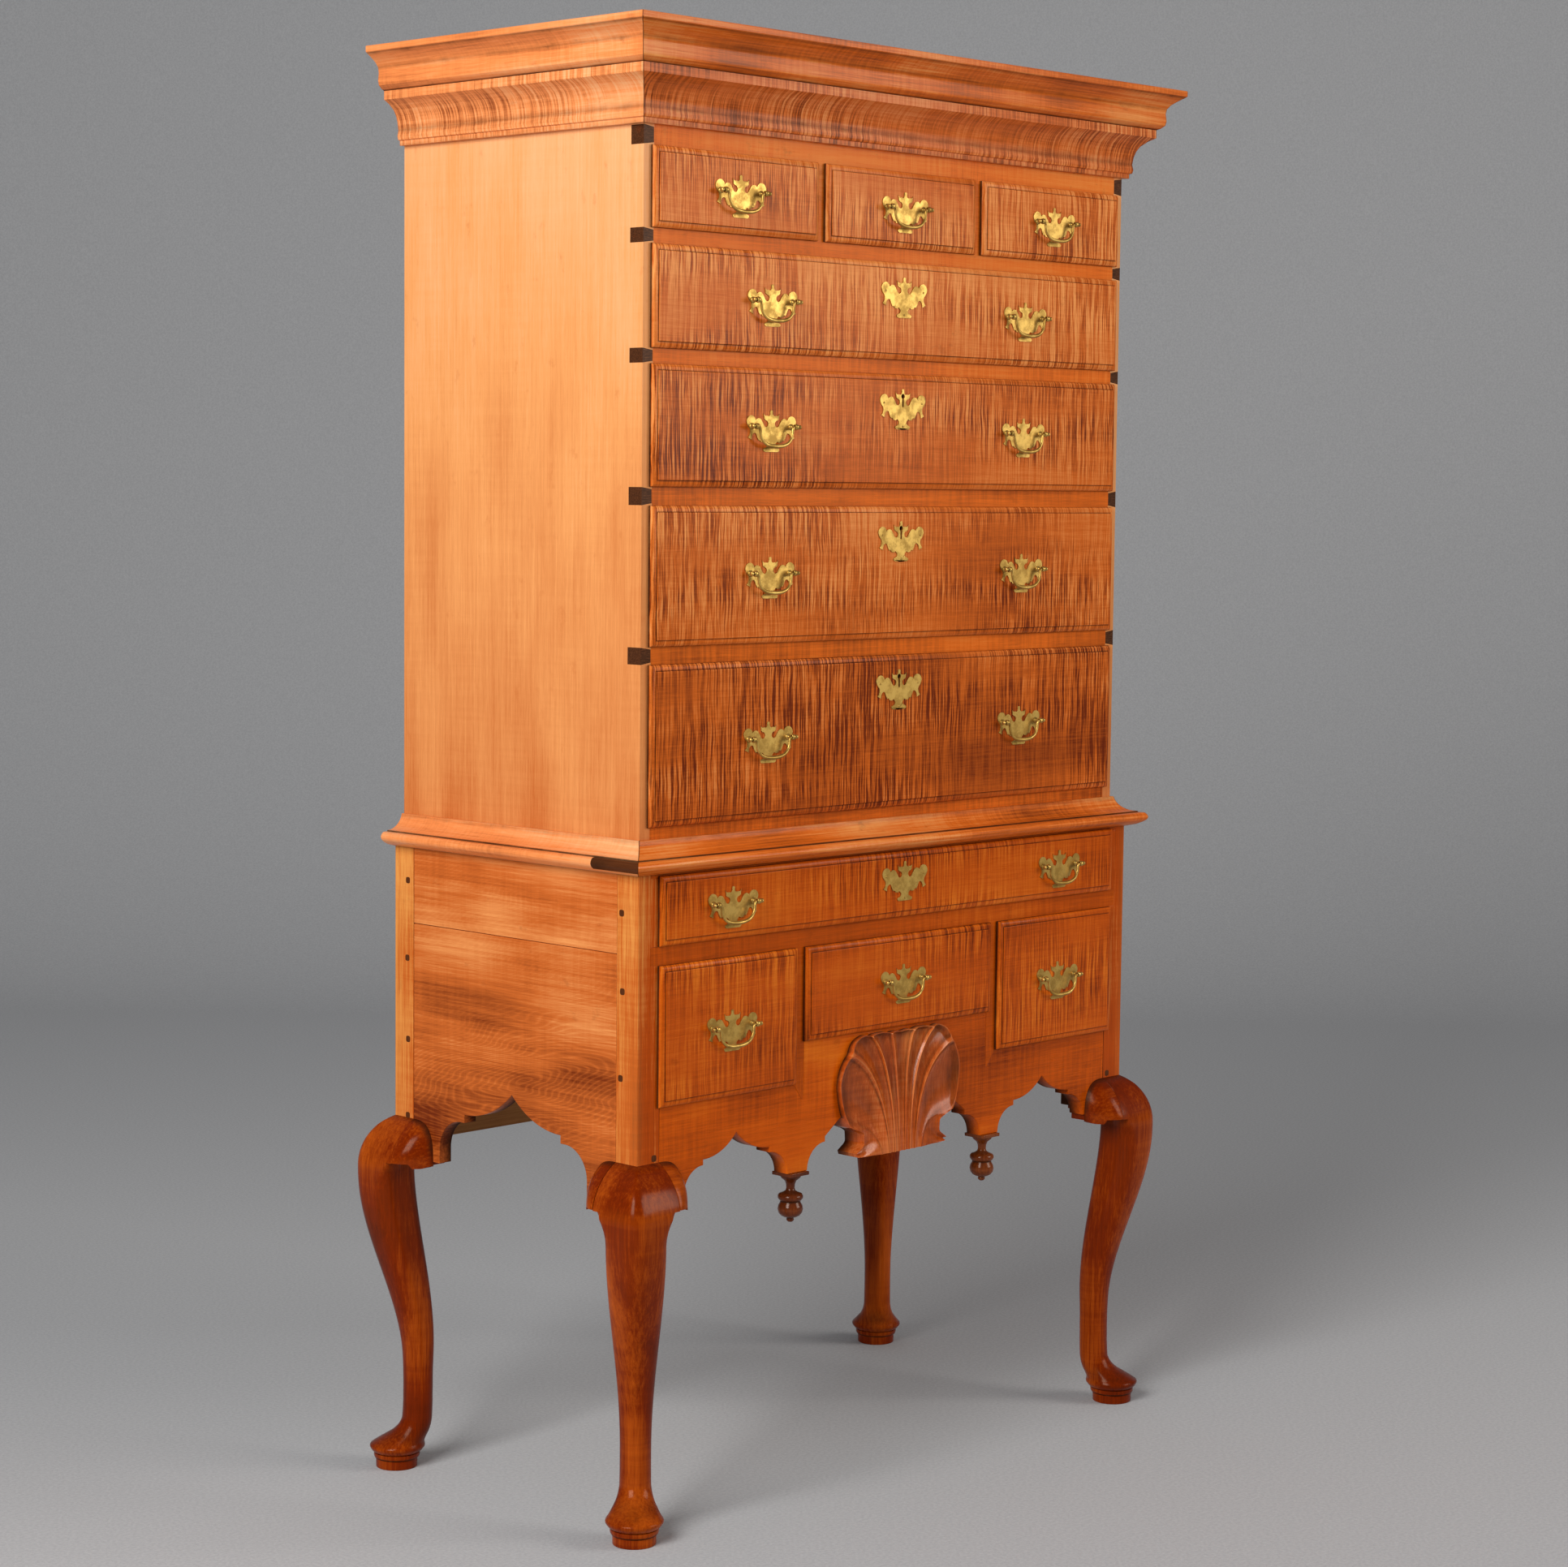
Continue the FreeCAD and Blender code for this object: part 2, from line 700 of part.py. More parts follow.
def make_lower_back():
    """The back board, tongued into the rear posts."""
    depth = (BACK_FACE, BACK_FACE + S.back_board)
    middle = board("lower_back_board", centred(LOWER_IN), depth, (BACK_LOW, LOWER_TOP))
    tongues = [TONGUES["back_left"], TONGUES["back_right"]]
    node("lower_back", [fused("lower_back_tongued", [middle] + tongues)])


APRON_BEHIND_SHELL = 20.0
LOWER_SILL = SMALL_LIP_LOW + S.lip_over_rail
MIDDLE_SILL = MIDDLE_LIP_LOW + S.lip_over_rail


def half_apron():
    """The right half of the apron's outline, from the top edge's middle round to the shell."""
    low, shelf = APRON_LOW, APRON_LOW + S.cove
    lobe = shelf + S.step_up
    inner, outer = S.drop_at - S.drop_tab / 2, S.drop_at + S.drop_tab / 2
    cove_outer = LOWER_IN - S.cove_outer
    cusp_at = (outer + S.cove + cove_outer) / 2 + S.cusp_at
    wide, rise = cusp_at - (outer + S.cove), APRON_LOW + S.cusp_rise - lobe
    near_lobe = (wide * wide + rise * rise) / (2 * rise)
    wide = cove_outer - cusp_at
    far_lobe = (wide * wide + rise * rise) / (2 * rise)
    return [
        (S.lower_divider_at + LOWER_DIVIDER_HALF, MIDDLE_SILL),
        (S.lower_divider_at + LOWER_DIVIDER_HALF, LOWER_SILL),
        (LOWER_IN, LOWER_SILL),
        (LOWER_IN, low),
        (cove_outer + S.cove, low, S.cove),
        (cove_outer, shelf),
        (cove_outer, lobe, -far_lobe),
        (cusp_at, APRON_LOW + S.cusp_rise, -near_lobe),
        (outer + S.cove, lobe),
        (outer + S.cove, shelf, S.cove),
        (outer, low),
        (inner, low, S.cove),
        (inner - S.cove, shelf),
        (inner - S.cove, lobe),
        (S.shell_half - 8, lobe + APRON_BEHIND_SHELL),
    ]


def make_apron():
    """The front apron: coves, cusps and two tabs for the pendants along its lower edge."""
    corners = mirrored_outline(half_apron())
    blank = padded("apron_blank", "XZ_Plane", corners, S.apron_board, reverse=True)
    placed = copy_at("apron_board_placed", blank, 0, LOWER_FRONT, 0)
    whole = fused("apron_tongued", [placed, TONGUES["apron_left"], TONGUES["apron_right"]])
    node("apron", [carved("apron_notched", whole, DIVIDER_FEET)])


def divider_feet():
    """Half dovetails at the feet of the lower dividers, let into the apron's front."""
    feet = []
    for side, sign in (("left", -1), ("right", 1)):
        inner = S.lower_divider_at - LOWER_DIVIDER_HALF
        outer = S.lower_divider_at + LOWER_DIVIDER_HALF
        low = LOWER_SILL - S.divider_foot
        corners = [(inner, low), (inner + S.divider_foot_tip, low), (outer, LOWER_SILL),
                   (outer, MIDDLE_SILL), (inner, MIDDLE_SILL)]
        if sign < 0:
            corners = [(-x, z) for x, z in reversed(corners)]
        foot = padded(f"divider_foot_{side}", "XZ_Plane", corners, S.rail_board / 2, reverse=True)
        feet.append(copy_at(f"divider_foot_placed_{side}", foot, 0, LOWER_FRONT, 0))
    return feet


DIVIDER_FEET = divider_feet()
SHELL_FLUTES = 9
SHELL_FAN = 150.0
FLUTE_SIDES = 12


def make_flute(index, length, face, foot):
    """One gouge cut: a bar tipped into the face, so that it leaves a hollow that widens to the rim."""
    gouge = doc.addObject("Part::Prism", f"shell_flute_{index}")
    gouge.Polygon = FLUTE_SIDES
    gouge.setExpression("Circumradius", S.shell_gouge.text)
    gouge.setExpression("Height", (length * 1.3).text)
    lean = ((index + 0.5) / SHELL_FLUTES - 0.5) * SHELL_FAN
    tip = -math.degrees(math.atan(float(S.shell_flute / length)))
    turn = FreeCAD.Rotation(Vector(0, 1, 0), lean)
    gouge.Placement.Rotation = turn.multiply(FreeCAD.Rotation(Vector(1, 0, 0), tip))
    gouge.setExpression(".Placement.Base.y", (face - S.shell_gouge).text)
    gouge.setExpression(".Placement.Base.z", foot.text)
    return gouge


def make_shell():
    """The carved shell: a thick fan whose flutes run from the middle of its foot to the rim."""
    low, top, half, foot = SHELL_LOW, SHELL_TOP, S.shell_half, S.shell_foot_half
    high = top - low
    right = [
        (0, top - 3), (half * 0.18, top), (half * 0.4, top - 1), (half * 0.55, top),
        (half * 0.72, top - 5), (half * 0.9, low + high * 0.82), (half, low + high * 0.6),
        (half * 0.95, low + high * 0.44), (half * 0.86, low + high * 0.28),
        (foot - 14, low + high * 0.2), (foot - 14, low + high * 0.12), (foot, low + 5),
        (foot * 0.5, low + 1),
    ]
    left = [(-x, z) for x, z in right[:0:-1]]
    thickness = S.shell_proud + S.apron_board
    blank = padded("shell_blank", "XZ_Plane", right + left, thickness)
    cuts = [make_flute(index, high, -thickness, low + 8) for index in range(SHELL_FLUTES)]
    # Below the apron's lower edge the block is thick; above it, it lies on the apron's face.
    edge = APRON_LOW + S.cove + S.step_up + APRON_BEHIND_SHELL
    cuts.append(board("shell_seat", centred(half + 1), (-S.apron_board, 0), (edge, top + 1)))
    fan = carved("shell_fan", blank, cuts)
    node("apron_shell", [copy_at("shell_placed", fan, 0, LOWER_FRONT + S.apron_board, 0)])


PENDANT_SIDES = 12


def make_pendants():
    """Two turned drops on square caps, under the apron's tabs."""
    drop, ball, neck = S.pendant_drop, S.pendant_ball, S.pendant_neck
    right = [
        (3.5, -drop), (5, -drop * 0.9), (ball * 0.8, -drop * 0.83), (ball, -drop * 0.71),
        (ball * 0.76, -drop * 0.55), (ball, -drop * 0.44), (neck, -drop * 0.27),
        (neck + 1, -drop * 0.12), (neck + 7, 0)]
    profile = padded("pendant_profile", "XZ_Plane", right + [(-x, z) for x, z in right[::-1]],
                     Size(BLANK), both=True)
    turns = [360 * step / PENDANT_SIDES for step in range(PENDANT_SIDES // 2)]
    body = crossed("pendant_turning", [(profile, turn) for turn in turns])
    pieces = []
    y_middle = LOWER_FRONT + S.apron_board / 2
    for side, sign in (("left", -1), ("right", 1)):
        x_middle = S.drop_at * sign
        half = S.pendant_cap / 2
        cap = board(f"pendant_cap_{side}", (x_middle - half, x_middle + half),
                    (y_middle - half, y_middle + half), (APRON_LOW - S.pendant_cap_high, APRON_LOW))
        turned = copy_at(f"pendant_{side}", body, x_middle, y_middle, APRON_LOW - S.pendant_cap_high)
        pieces += [cap, turned]
    node("pendants", pieces)


def make_lower_rails(depth):
    """The middle and top rails, whose ends are lapped into the posts."""
    rails = []
    for name, levels in (("middle", MID_RAIL_Z), ("top", TOP_RAIL_Z)):
        rail = board(f"lower_rail_{name}", centred(LOWER_IN), depth, levels)
        laps = [LAPS[f"{name}_left"], LAPS[f"{name}_right"]]
        rails.append(fused(f"lower_rail_{name}_lapped", [rail] + laps))
    return rails


def make_lower_divider(side, sign, foot, depth):
    """An upright between two drawers on its dovetailed foot, and the track for both behind it."""
    middle = S.lower_divider_at * sign
    span = (middle - LOWER_DIVIDER_HALF, middle + LOWER_DIVIDER_HALF)
    upright = board(f"lower_divider_{side}", span, depth, (LOWER_SILL, MID_RAIL_Z[0]))
    notch = board(f"lower_divider_notch_{side}", span, (LOWER_FRONT + S.rail_board / 2, depth[1]),
                  (LOWER_SILL, MIDDLE_SILL))
    cut = carved(f"lower_divider_cut_{side}", upright, [notch])
    behind = (LOWER_FRONT + S.apron_board, BACK_FACE)
    guide = board(f"lower_divider_guide_{side}", span, behind,
                  (LOWER_SILL, SMALL_LIP_TOP - S.runner_width))
    shelf = board(f"lower_centre_runner_{side}", (middle - S.runner_width, middle + S.runner_width),
                  behind, (LOWER_SILL - S.runner_thickness, LOWER_SILL))
    inward = sided(sign, S.lower_divider_at - S.runner_width, S.lower_divider_at - LOWER_DIVIDER_HALF)
    ledge = board(f"lower_middle_runner_{side}", inward, behind,
                  (MIDDLE_SILL - S.runner_thickness, MIDDLE_SILL))
    return [fused(f"lower_divider_footed_{side}", [cut, foot]),
            fused(f"lower_divider_rail_{side}", [guide, shelf, ledge])]


def make_lower_runners(side, sign):
    """Runners under the outer drawers, notched round the posts, with a guide on each."""
    front_post = (LOWER_FRONT, LOWER_FRONT + S.post_width)
    rear_post = (BACK - S.post_width, BACK)
    pieces = []
    for level, top, start in (("low", LOWER_SILL, S.apron_board), ("high", MID_RAIL_Z[1], S.rail_board)):
        runner = board(f"lower_runner_{level}_{side}",
                       sided(sign, LOWER_IN - S.runner_width, LOWER_SIDE_IN),
                       (LOWER_FRONT + start, BACK_FACE), (top - S.runner_thickness, top))
        posts = [board(f"lower_runner_notch_{level}_{side}_{end}", sided(sign, LOWER_IN, LOWER_HALF),
                       post, (top - 2 * S.runner_thickness, top + S.runner_thickness))
                 for end, post in (("front", front_post), ("rear", rear_post))]
        pieces.append(carved(f"lower_runner_fitted_{level}_{side}", runner, posts))
        pieces.append(board(f"lower_guide_{level}_{side}", sided(sign, LOWER_IN, LOWER_SIDE_IN),
                            (front_post[1], rear_post[0]), (top, top + S.guide_height)))
    return pieces


def make_lower_frame():
    """Rails, dividers, runners and guides of the lower case."""
    depth = (LOWER_FRONT, LOWER_FRONT + S.rail_board)
    pieces = make_lower_rails(depth)
    for (side, sign), foot in zip((("left", -1), ("right", 1)), DIVIDER_FEET):
        pieces += make_lower_divider(side, sign, foot, depth)
        pieces += make_lower_runners(side, sign)
    node("lower_drawer_frame", pieces)


def moulding(name, section, half, face, span_x):
    """Three lengths of a moulding, mitred round the front and both sides of a case.

    section holds (distance out from the case, height) corners; half and face are the case's
    half width and front plane; span_x is more than the moulding's reach.
    """
    reach = max((corner[0] for corner in section), key=lambda out: float(Size(out)))
    front_corners = [(-Size(corner[0]),) + tuple(corner[1:]) for corner in section]
    side_corners = [(half + corner[0],) + tuple(corner[1:]) for corner in section]
    # Mirroring the section turns its arcs over, so their radii change sign.
    front_corners = [c[:2] + tuple(-Size(r) for r in c[2:]) for c in front_corners]
    front_bar = padded(f"{name}_front_bar", "YZ_Plane", front_corners, 2 * (half + span_x), both=True)
    front_bar_placed = copy_at(f"{name}_front_bar_placed", front_bar, 0, face, 0)
    side_bar = padded(f"{name}_side_bar", "XZ_Plane", side_corners, BACK - face + span_x, reverse=True)
    side_bar_placed = copy_at(f"{name}_side_bar_placed", side_bar, 0, face - span_x, 0)
    top = max((corner[1] for corner in section), key=lambda high: float(Size(high)))
    front_plan = padded(f"{name}_front_plan", "XY_Plane", [
        (-half - reach, face - reach), (half + reach, face - reach), (half, face), (-half, face)], top)
    side_plan = padded(f"{name}_side_plan", "XY_Plane", [
        (half, face), (half + reach, face - reach), (half + reach, BACK), (half, BACK)], top)
    right = common(f"{name}_right", side_bar_placed, side_plan)
    return [common(f"{name}_front", front_bar_placed, front_plan), right,
            mirrored(f"{name}_left", right, Vector(1, 0, 0))]


def make_waist_moulding():
    """A cove over a rounded nose; it caps the lower case and stands round the upper one's foot."""
    low, top = LOWER_TOP - S.waist_low, LOWER_TOP + S.waist_top
    reach, step = S.waist_reach, S.waist_step
    over, play = S.lower_overhang, S.waist_play
    section = [
        (play, LOWER_TOP), (over, LOWER_TOP), (over, low), (step - 1.5, low + 3),
        (reach - 3, low + 8), (reach, low + 13, 8), (step, low + 19.5), (step, low + 21.5, -24.5),
        (S.waist_lip, top), (play, top)]
    node("waist_moulding", moulding("waist", section, UPPER_HALF, UPPER_FRONT, reach * 1.5))


# --- upper case -----------------------------------------------------------------------------


def blade_levels():
    """Low and high of the four blades between the upper drawers."""
    levels = []
    for number, above in zip(UPPER_LONG, UPPER_LONG[1:] + ["small"]):
        levels.append((LEVELS[number][1] - S.lip_over_rail, LEVELS[above][0] + S.lip_over_rail))
    return levels


BLADES = blade_levels()
TOP_RAIL_LOW = SMALL_TOP - S.lip_over_rail


def blade_tails(sign):
    """Dovetails at one end of the blades and the top rail, right through the case side."""
    tails = []
    side = "left" if sign < 0 else "right"
    levels = [(low + S.lap_shoulder, high - S.lap_shoulder) for low, high in BLADES]
    levels.append((TOP_RAIL_LOW + S.lap_shoulder, CORNICE_LOW - 1))
    for index, (low, high) in enumerate(levels):
        tail = doc.addObject("Part::Wedge", f"blade_tail_{side}_{index}")
        depth = S.blade_tail if index < len(BLADES) else S.rail_board
        slope = S.blade_tail_slope
        for key, value in (("Xmin", 0), ("Xmax", depth), ("X2min", 0), ("X2max", depth),
                           ("Ymin", 0), ("Ymax", S.upper_side_board),
                           ("Zmin", low + slope), ("Zmax", high - slope), ("Z2min", low), ("Z2max", high)):
            tail.setExpression(key, Size(value).text)
        tail.Placement.Rotation = FreeCAD.Rotation(Vector(0, 0, 1), -90 * sign)
        front = UPPER_FRONT if sign < 0 else UPPER_FRONT + depth
        tail.setExpression(".Placement.Base.x", (UPPER_IN * sign).text)
        tail.setExpression(".Placement.Base.y", Size(front).text)
        tails.append(tail)
    return tails


TAILS = {-1: blade_tails(-1), 1: blade_tails(1)}


def make_upper_sides():
    """Both sides: sockets for the blades at the front, a rabbet for the back boards behind."""
    for side, sign in (("left", -1), ("right", 1)):
        blank = board(f"upper_side_board_{side}", sided(sign, UPPER_IN, UPPER_HALF),
                      (UPPER_FRONT, BACK), (LOWER_TOP, UPPER_TOP))
        rabbet = board(f"upper_side_rabbet_{side}", sided(sign, UPPER_IN, UPPER_IN + S.back_rabbet),
                       (BACK - S.back_board, BACK), (LOWER_TOP, UPPER_TOP))
        worked = carved(f"upper_side_worked_{side}", blank, [rabbet] + TAILS[sign])
        node(f"upper_side_{side}", [worked])


def make_upper_top_and_bottom():
    """Top and bottom boards between the sides."""
    depth = (UPPER_FRONT + S.rail_board, BACK - S.back_board)
    top = board("upper_top_board", centred(UPPER_IN), depth, (UPPER_TOP - S.top_board, UPPER_TOP))
    bottom = board("upper_bottom_board", centred(UPPER_IN), (UPPER_FRONT, BACK - S.back_board),
                   (LOWER_TOP, LOWER_TOP + S.top_board))
    node("upper_top_and_bottom", [top, bottom])


LOCKED_DRAWERS = 3


def lock_mortise(index, blade_low):
    """The hole in a blade's underside that the lock bolt of the drawer below enters."""
    middle = UPPER_FRONT + S.front_body - S.lock_thickness / 2
    half = S.lock_bolt_thickness / 2 + S.mortise_play
    return board(f"lock_mortise_{index}", centred(S.lock_bolt_width / 2 + S.mortise_play),
                 (middle - half, middle + half), (blade_low, blade_low + S.lock_throw))


def make_blades():
    """The top rail and the blades, whose ends go through the case sides, and the bottom rail."""
    rail_depth = (UPPER_FRONT, UPPER_FRONT + S.rail_board)
    blade_depth = (UPPER_FRONT, UPPER_FRONT + S.blade_depth)
    top_rail = board("upper_top_rail", centred(UPPER_IN), rail_depth, (TOP_RAIL_LOW, UPPER_TOP))
    pieces = [fused("upper_top_rail_tailed", [top_rail, TAILS[-1][-1], TAILS[1][-1]])]
    for index, levels in enumerate(BLADES):
        blade = board(f"upper_blade_{index}", centred(UPPER_IN), blade_depth, levels)
        if index < LOCKED_DRAWERS:
            blade = carved(f"upper_blade_mortised_{index}", blade, [lock_mortise(index, levels[0])])
        tails = [TAILS[-1][index], TAILS[1][index]]
        pieces.append(fused(f"upper_blade_tailed_{index}", [blade] + tails))
    pieces.append(board("upper_bottom_rail", centred(UPPER_IN), rail_depth,
                        (LOWER_TOP + S.top_board, UPPER_SILL)))
    return pieces


def make_small_dividers(sill, behind):
    """The uprights between the small drawers, and the tracks behind them."""
    pieces = []
    front = UPPER_FRONT + S.blade_depth
    for side, sign in (("left", -1), ("right", 1)):
        middle = DIVIDER_AT * sign
        span = (middle - DIVIDER_HALF, middle + DIVIDER_HALF)
        pieces.append(board(f"upper_divider_{side}", span, (UPPER_FRONT, front), (sill, TOP_RAIL_LOW)))
        wide = (middle - S.runner_width, middle + S.runner_width)
        runner = board(f"upper_centre_runner_{side}", wide, (front, behind),
                       (sill - S.runner_thickness, sill))
        guide = board(f"upper_centre_guide_{side}", span, (front, behind), (sill, sill + S.guide_height))
        pieces.append(fused(f"upper_centre_track_{side}", [runner, guide]))
    return pieces


UPPER_SILL = UPPER_LIP_LOW + S.lip_over_rail


def make_upper_frame():
    """Top rail, blades, bottom rail, the small drawers' dividers and all runners."""
    behind = BACK - S.back_board
    pieces = make_blades()
    tops = [UPPER_SILL] + [levels[1] for levels in BLADES]
    for index, top in enumerate(tops):
        start = UPPER_FRONT + (S.blade_depth if index else S.rail_board)
        for side, sign in (("left", -1), ("right", 1)):
            pieces.append(board(f"upper_runner_{index}_{side}",
                                sided(sign, UPPER_IN - S.runner_width, UPPER_IN),
                                (start, behind), (top - S.runner_thickness, top)))
    pieces += make_small_dividers(tops[-1], behind)
    node("upper_drawer_frame", pieces)


BACK_BOARDS = 4


def make_upper_back():
    """Horizontal boards in the rabbets of the sides."""
    step = S.upper_height / BACK_BOARDS
    node("upper_back", [
        board(f"upper_back_board_{index}", centred(UPPER_IN + S.back_rabbet), (BACK - S.back_board, BACK),
              (LOWER_TOP + step * index, LOWER_TOP + step * (index + 1)))
        for index in range(BACK_BOARDS)])


def make_cornice():
    """The crown: nose, hollow and round over a fillet; and below it a cove over a small bead."""
    low, top = CORNICE_LOW, CORNICE_LOW + S.cornice_height
    reach, waist, foot = S.cornice_reach, S.crown_waist, S.crown_foot
    crown_low = top - S.crown_height
    fillet = crown_low - S.crown_gap
    crown = [
        (0, crown_low), (foot, crown_low), (foot + 7, crown_low + 4, 14), (waist, crown_low + 21, -30),
        (reach - 12, top - 14), (reach - 8, top - 12), (reach, top - 8), (reach, top), (0, top)]
    bead, nook = S.cove_foot + 1.5, S.cove_foot
    cove = [
        (0, low), (nook - 2.5, low), (nook - 2.5, low + 6), (bead, low + 9), (bead, low + 12),
        (nook, low + 20, -40), (foot - 1.5, fillet - 1), (foot, fillet), (foot, crown_low),
        (0, crown_low)]
    beyond = S.cornice_reach * 1.5
    node("cornice", moulding("crown", crown, UPPER_HALF, UPPER_FRONT, beyond)
         + moulding("cove_moulding", cove, UPPER_HALF, UPPER_FRONT, beyond))


# --- brasses --------------------------------------------------------------------------------


def plate_outline():
    """The plate's outline (x, z): a finial with an ear, a two-lobed side and a foot, mirrored."""
    tip = [(0, 26)]
    finial = [(9.5, 17), (15.5, 20), (8, 8), (12, 4)]
    lobes = [(22, 12.5), (31, 12.3), (39, 17.3), (44, 9), (36.5, -1)]
    foot = [(41.5, -9), (32, -5), (24, -11.5), (6.5, -16), (14, -26)]
    half = finial + lobes + foot
    return tip + half + [(-x, z) for x, z in half[::-1]]


def make_plate(name, tools):
    """The back plate, standing on a drawer's face at Y 0, with the openings that the tools leave."""
    blank = padded(f"{name}_blank", "XZ_Plane", plate_outline(), S.plate_thickness)
    return carved(name, blank, tools)


def prism(name, sides, radius, length, direction):
    """A many-sided bar from the origin along a direction, with flat sides."""
    bar = doc.addObject("Part::Prism", name)
    bar.Polygon = sides
    bar.setExpression("Circumradius", Size(radius).text)
    bar.setExpression("Height", Size(length).text)
    bar.Placement.Rotation = FreeCAD.Rotation(Vector(0, 0, 1), direction)
    return bar


FRONT_TOTAL = S.lip_thickness + S.lip_gap + S.front_body
SIDES = 6
ROD = centred(S.bolt_rod / 2)


def make_post():
    """A post: an eye for the bail, and a square rod through plate and front with its nut behind."""
    tubes = []
    for name, sides, radius in (("eye", SIDES, S.eye_radius), ("bore", 4, S.eye_bore)):
        tube = prism(f"post_{name}", sides, radius, S.eye_length, Vector(1, 0, 0))
        tube.setExpression(".Placement.Base.x", (-S.eye_length / 2).text)
        tube.setExpression(".Placement.Base.y", (-S.eye_out).text)
        tubes.append(tube)
    behind = S.plate_thickness + FRONT_TOTAL
    stem = board("post_stem", ROD, (-S.eye_out + S.eye_radius * 0.7, behind + S.nut_thickness / 2), ROD)
    nut = board("post_nut", centred(S.nut / 2), (behind, behind + S.nut_thickness), centred(S.nut / 2))
    return carved("post_bored", fused("post_whole", [tubes[0], stem, nut]), [tubes[1]])


def make_bail():
    """The swinging bail: one bar, bent down from a pin at each end to a flat bow."""
    half, drop = S.bail_half, S.bail_drop
    reach = S.boring / 2 + S.eye_length / 2 + 2
    right = [(half * 0.48, -drop), (half * 0.95, -drop * 0.55), (half, Size(0)), (reach, Size(0))]
    way = [(-x, z) for x, z in right[::-1]] + right
    body = doc.addObject("PartDesign::Body", "bail_master")
    spine = new_sketch(body, "bail_way", "XZ_Plane")
    places = [Vector(float(x), float(z), 0) for x, z in way]
    spine.addGeometry([Part.LineSegment(p, q) for p, q in zip(places, places[1:])], False)
    rules = [Sketcher.Constraint("Coincident", i, 2, i + 1, 1) for i in range(len(places) - 2)]
    spine.addConstraint(rules)
    for index, (x, z) in enumerate(way):
        line, end = (index, 1) if index < len(way) - 1 else (index - 1, 2)
        for kind, value in (("DistanceX", x), ("DistanceY", z)):
            rule = spine.addConstraint(Sketcher.Constraint(kind, -1, 1, line, end, float(value)))
            spine.setExpression(f"Constraints[{rule}]", value.text)
    section = new_sketch(body, "bail_section", "YZ_Plane", -reach)
    side = S.bail_pin * (math.sqrt(3) / 2)
    outline(section, [(S.bail_pin, 0), (S.bail_pin / 2, side), (-S.bail_pin / 2, side),
                      (-S.bail_pin, 0), (-S.bail_pin / 2, -side), (S.bail_pin / 2, -side)])
    bar = body.newObject("PartDesign::AdditivePipe", "bail_bar")
    bar.Profile = section
    bar.Spine = (spine, [f"Edge{index}" for index in range(1, len(way))])
    bar.Transition = "Right corner"
    return body


def rod_holes():
    """The two holes of a handle's plate."""
    holes, rod = [], S.bolt_rod / 2
    height = (S.handle_above - rod, S.handle_above + rod)
    for side, sign in (("left", -1), ("right", 1)):
        place = S.boring / 2 * sign
        holes.append(board(f"plate_hole_{side}", (place - rod, place + rod),
                           (-S.plate_thickness, 0), height))
    return holes


PLATE = make_plate("handle_plate", rod_holes())
POST, BAIL = make_post(), make_bail()


def keyhole():
    """A keyhole through the plate and the front: a round head and a slot below it."""
    head = prism("keyhole_head", SIDES, S.key_round, FRONT_TOTAL + 4, Vector(0, 1, 0))
    slot = board("keyhole_slot", centred(S.key_slot_width / 2), (0, FRONT_TOTAL + 4), (-S.key_slot, 0))
    return fused("keyhole", [head, slot])


KEYHOLE = keyhole()
KEYED_PLATE = make_plate("escutcheon_keyed", [copy_at("keyhole_in_plate", KEYHOLE, 0, -2, S.key_above)])
PLAIN_PLATE = padded("escutcheon_plain", "XZ_Plane", plate_outline(), S.plate_thickness)


def make_lock():
    """The lock case behind the front, with a slot in its top for the bolt."""
    middle, half = S.lock_thickness / 2, S.lock_bolt_thickness / 2 + S.bolt_play
    case = board("lock_case_blank", centred(S.lock_width / 2), (0, S.lock_thickness), (-S.lock_height, 0))
    slot = board("lock_slot", centred(S.lock_bolt_width / 2 + S.bolt_play),
                 (middle - half, middle + half), (-S.lock_bolt_length - S.bolt_play, 0))
    return carved("lock_case", case, [slot])


LOCK = make_lock()

# --- drawers --------------------------------------------------------------------------------


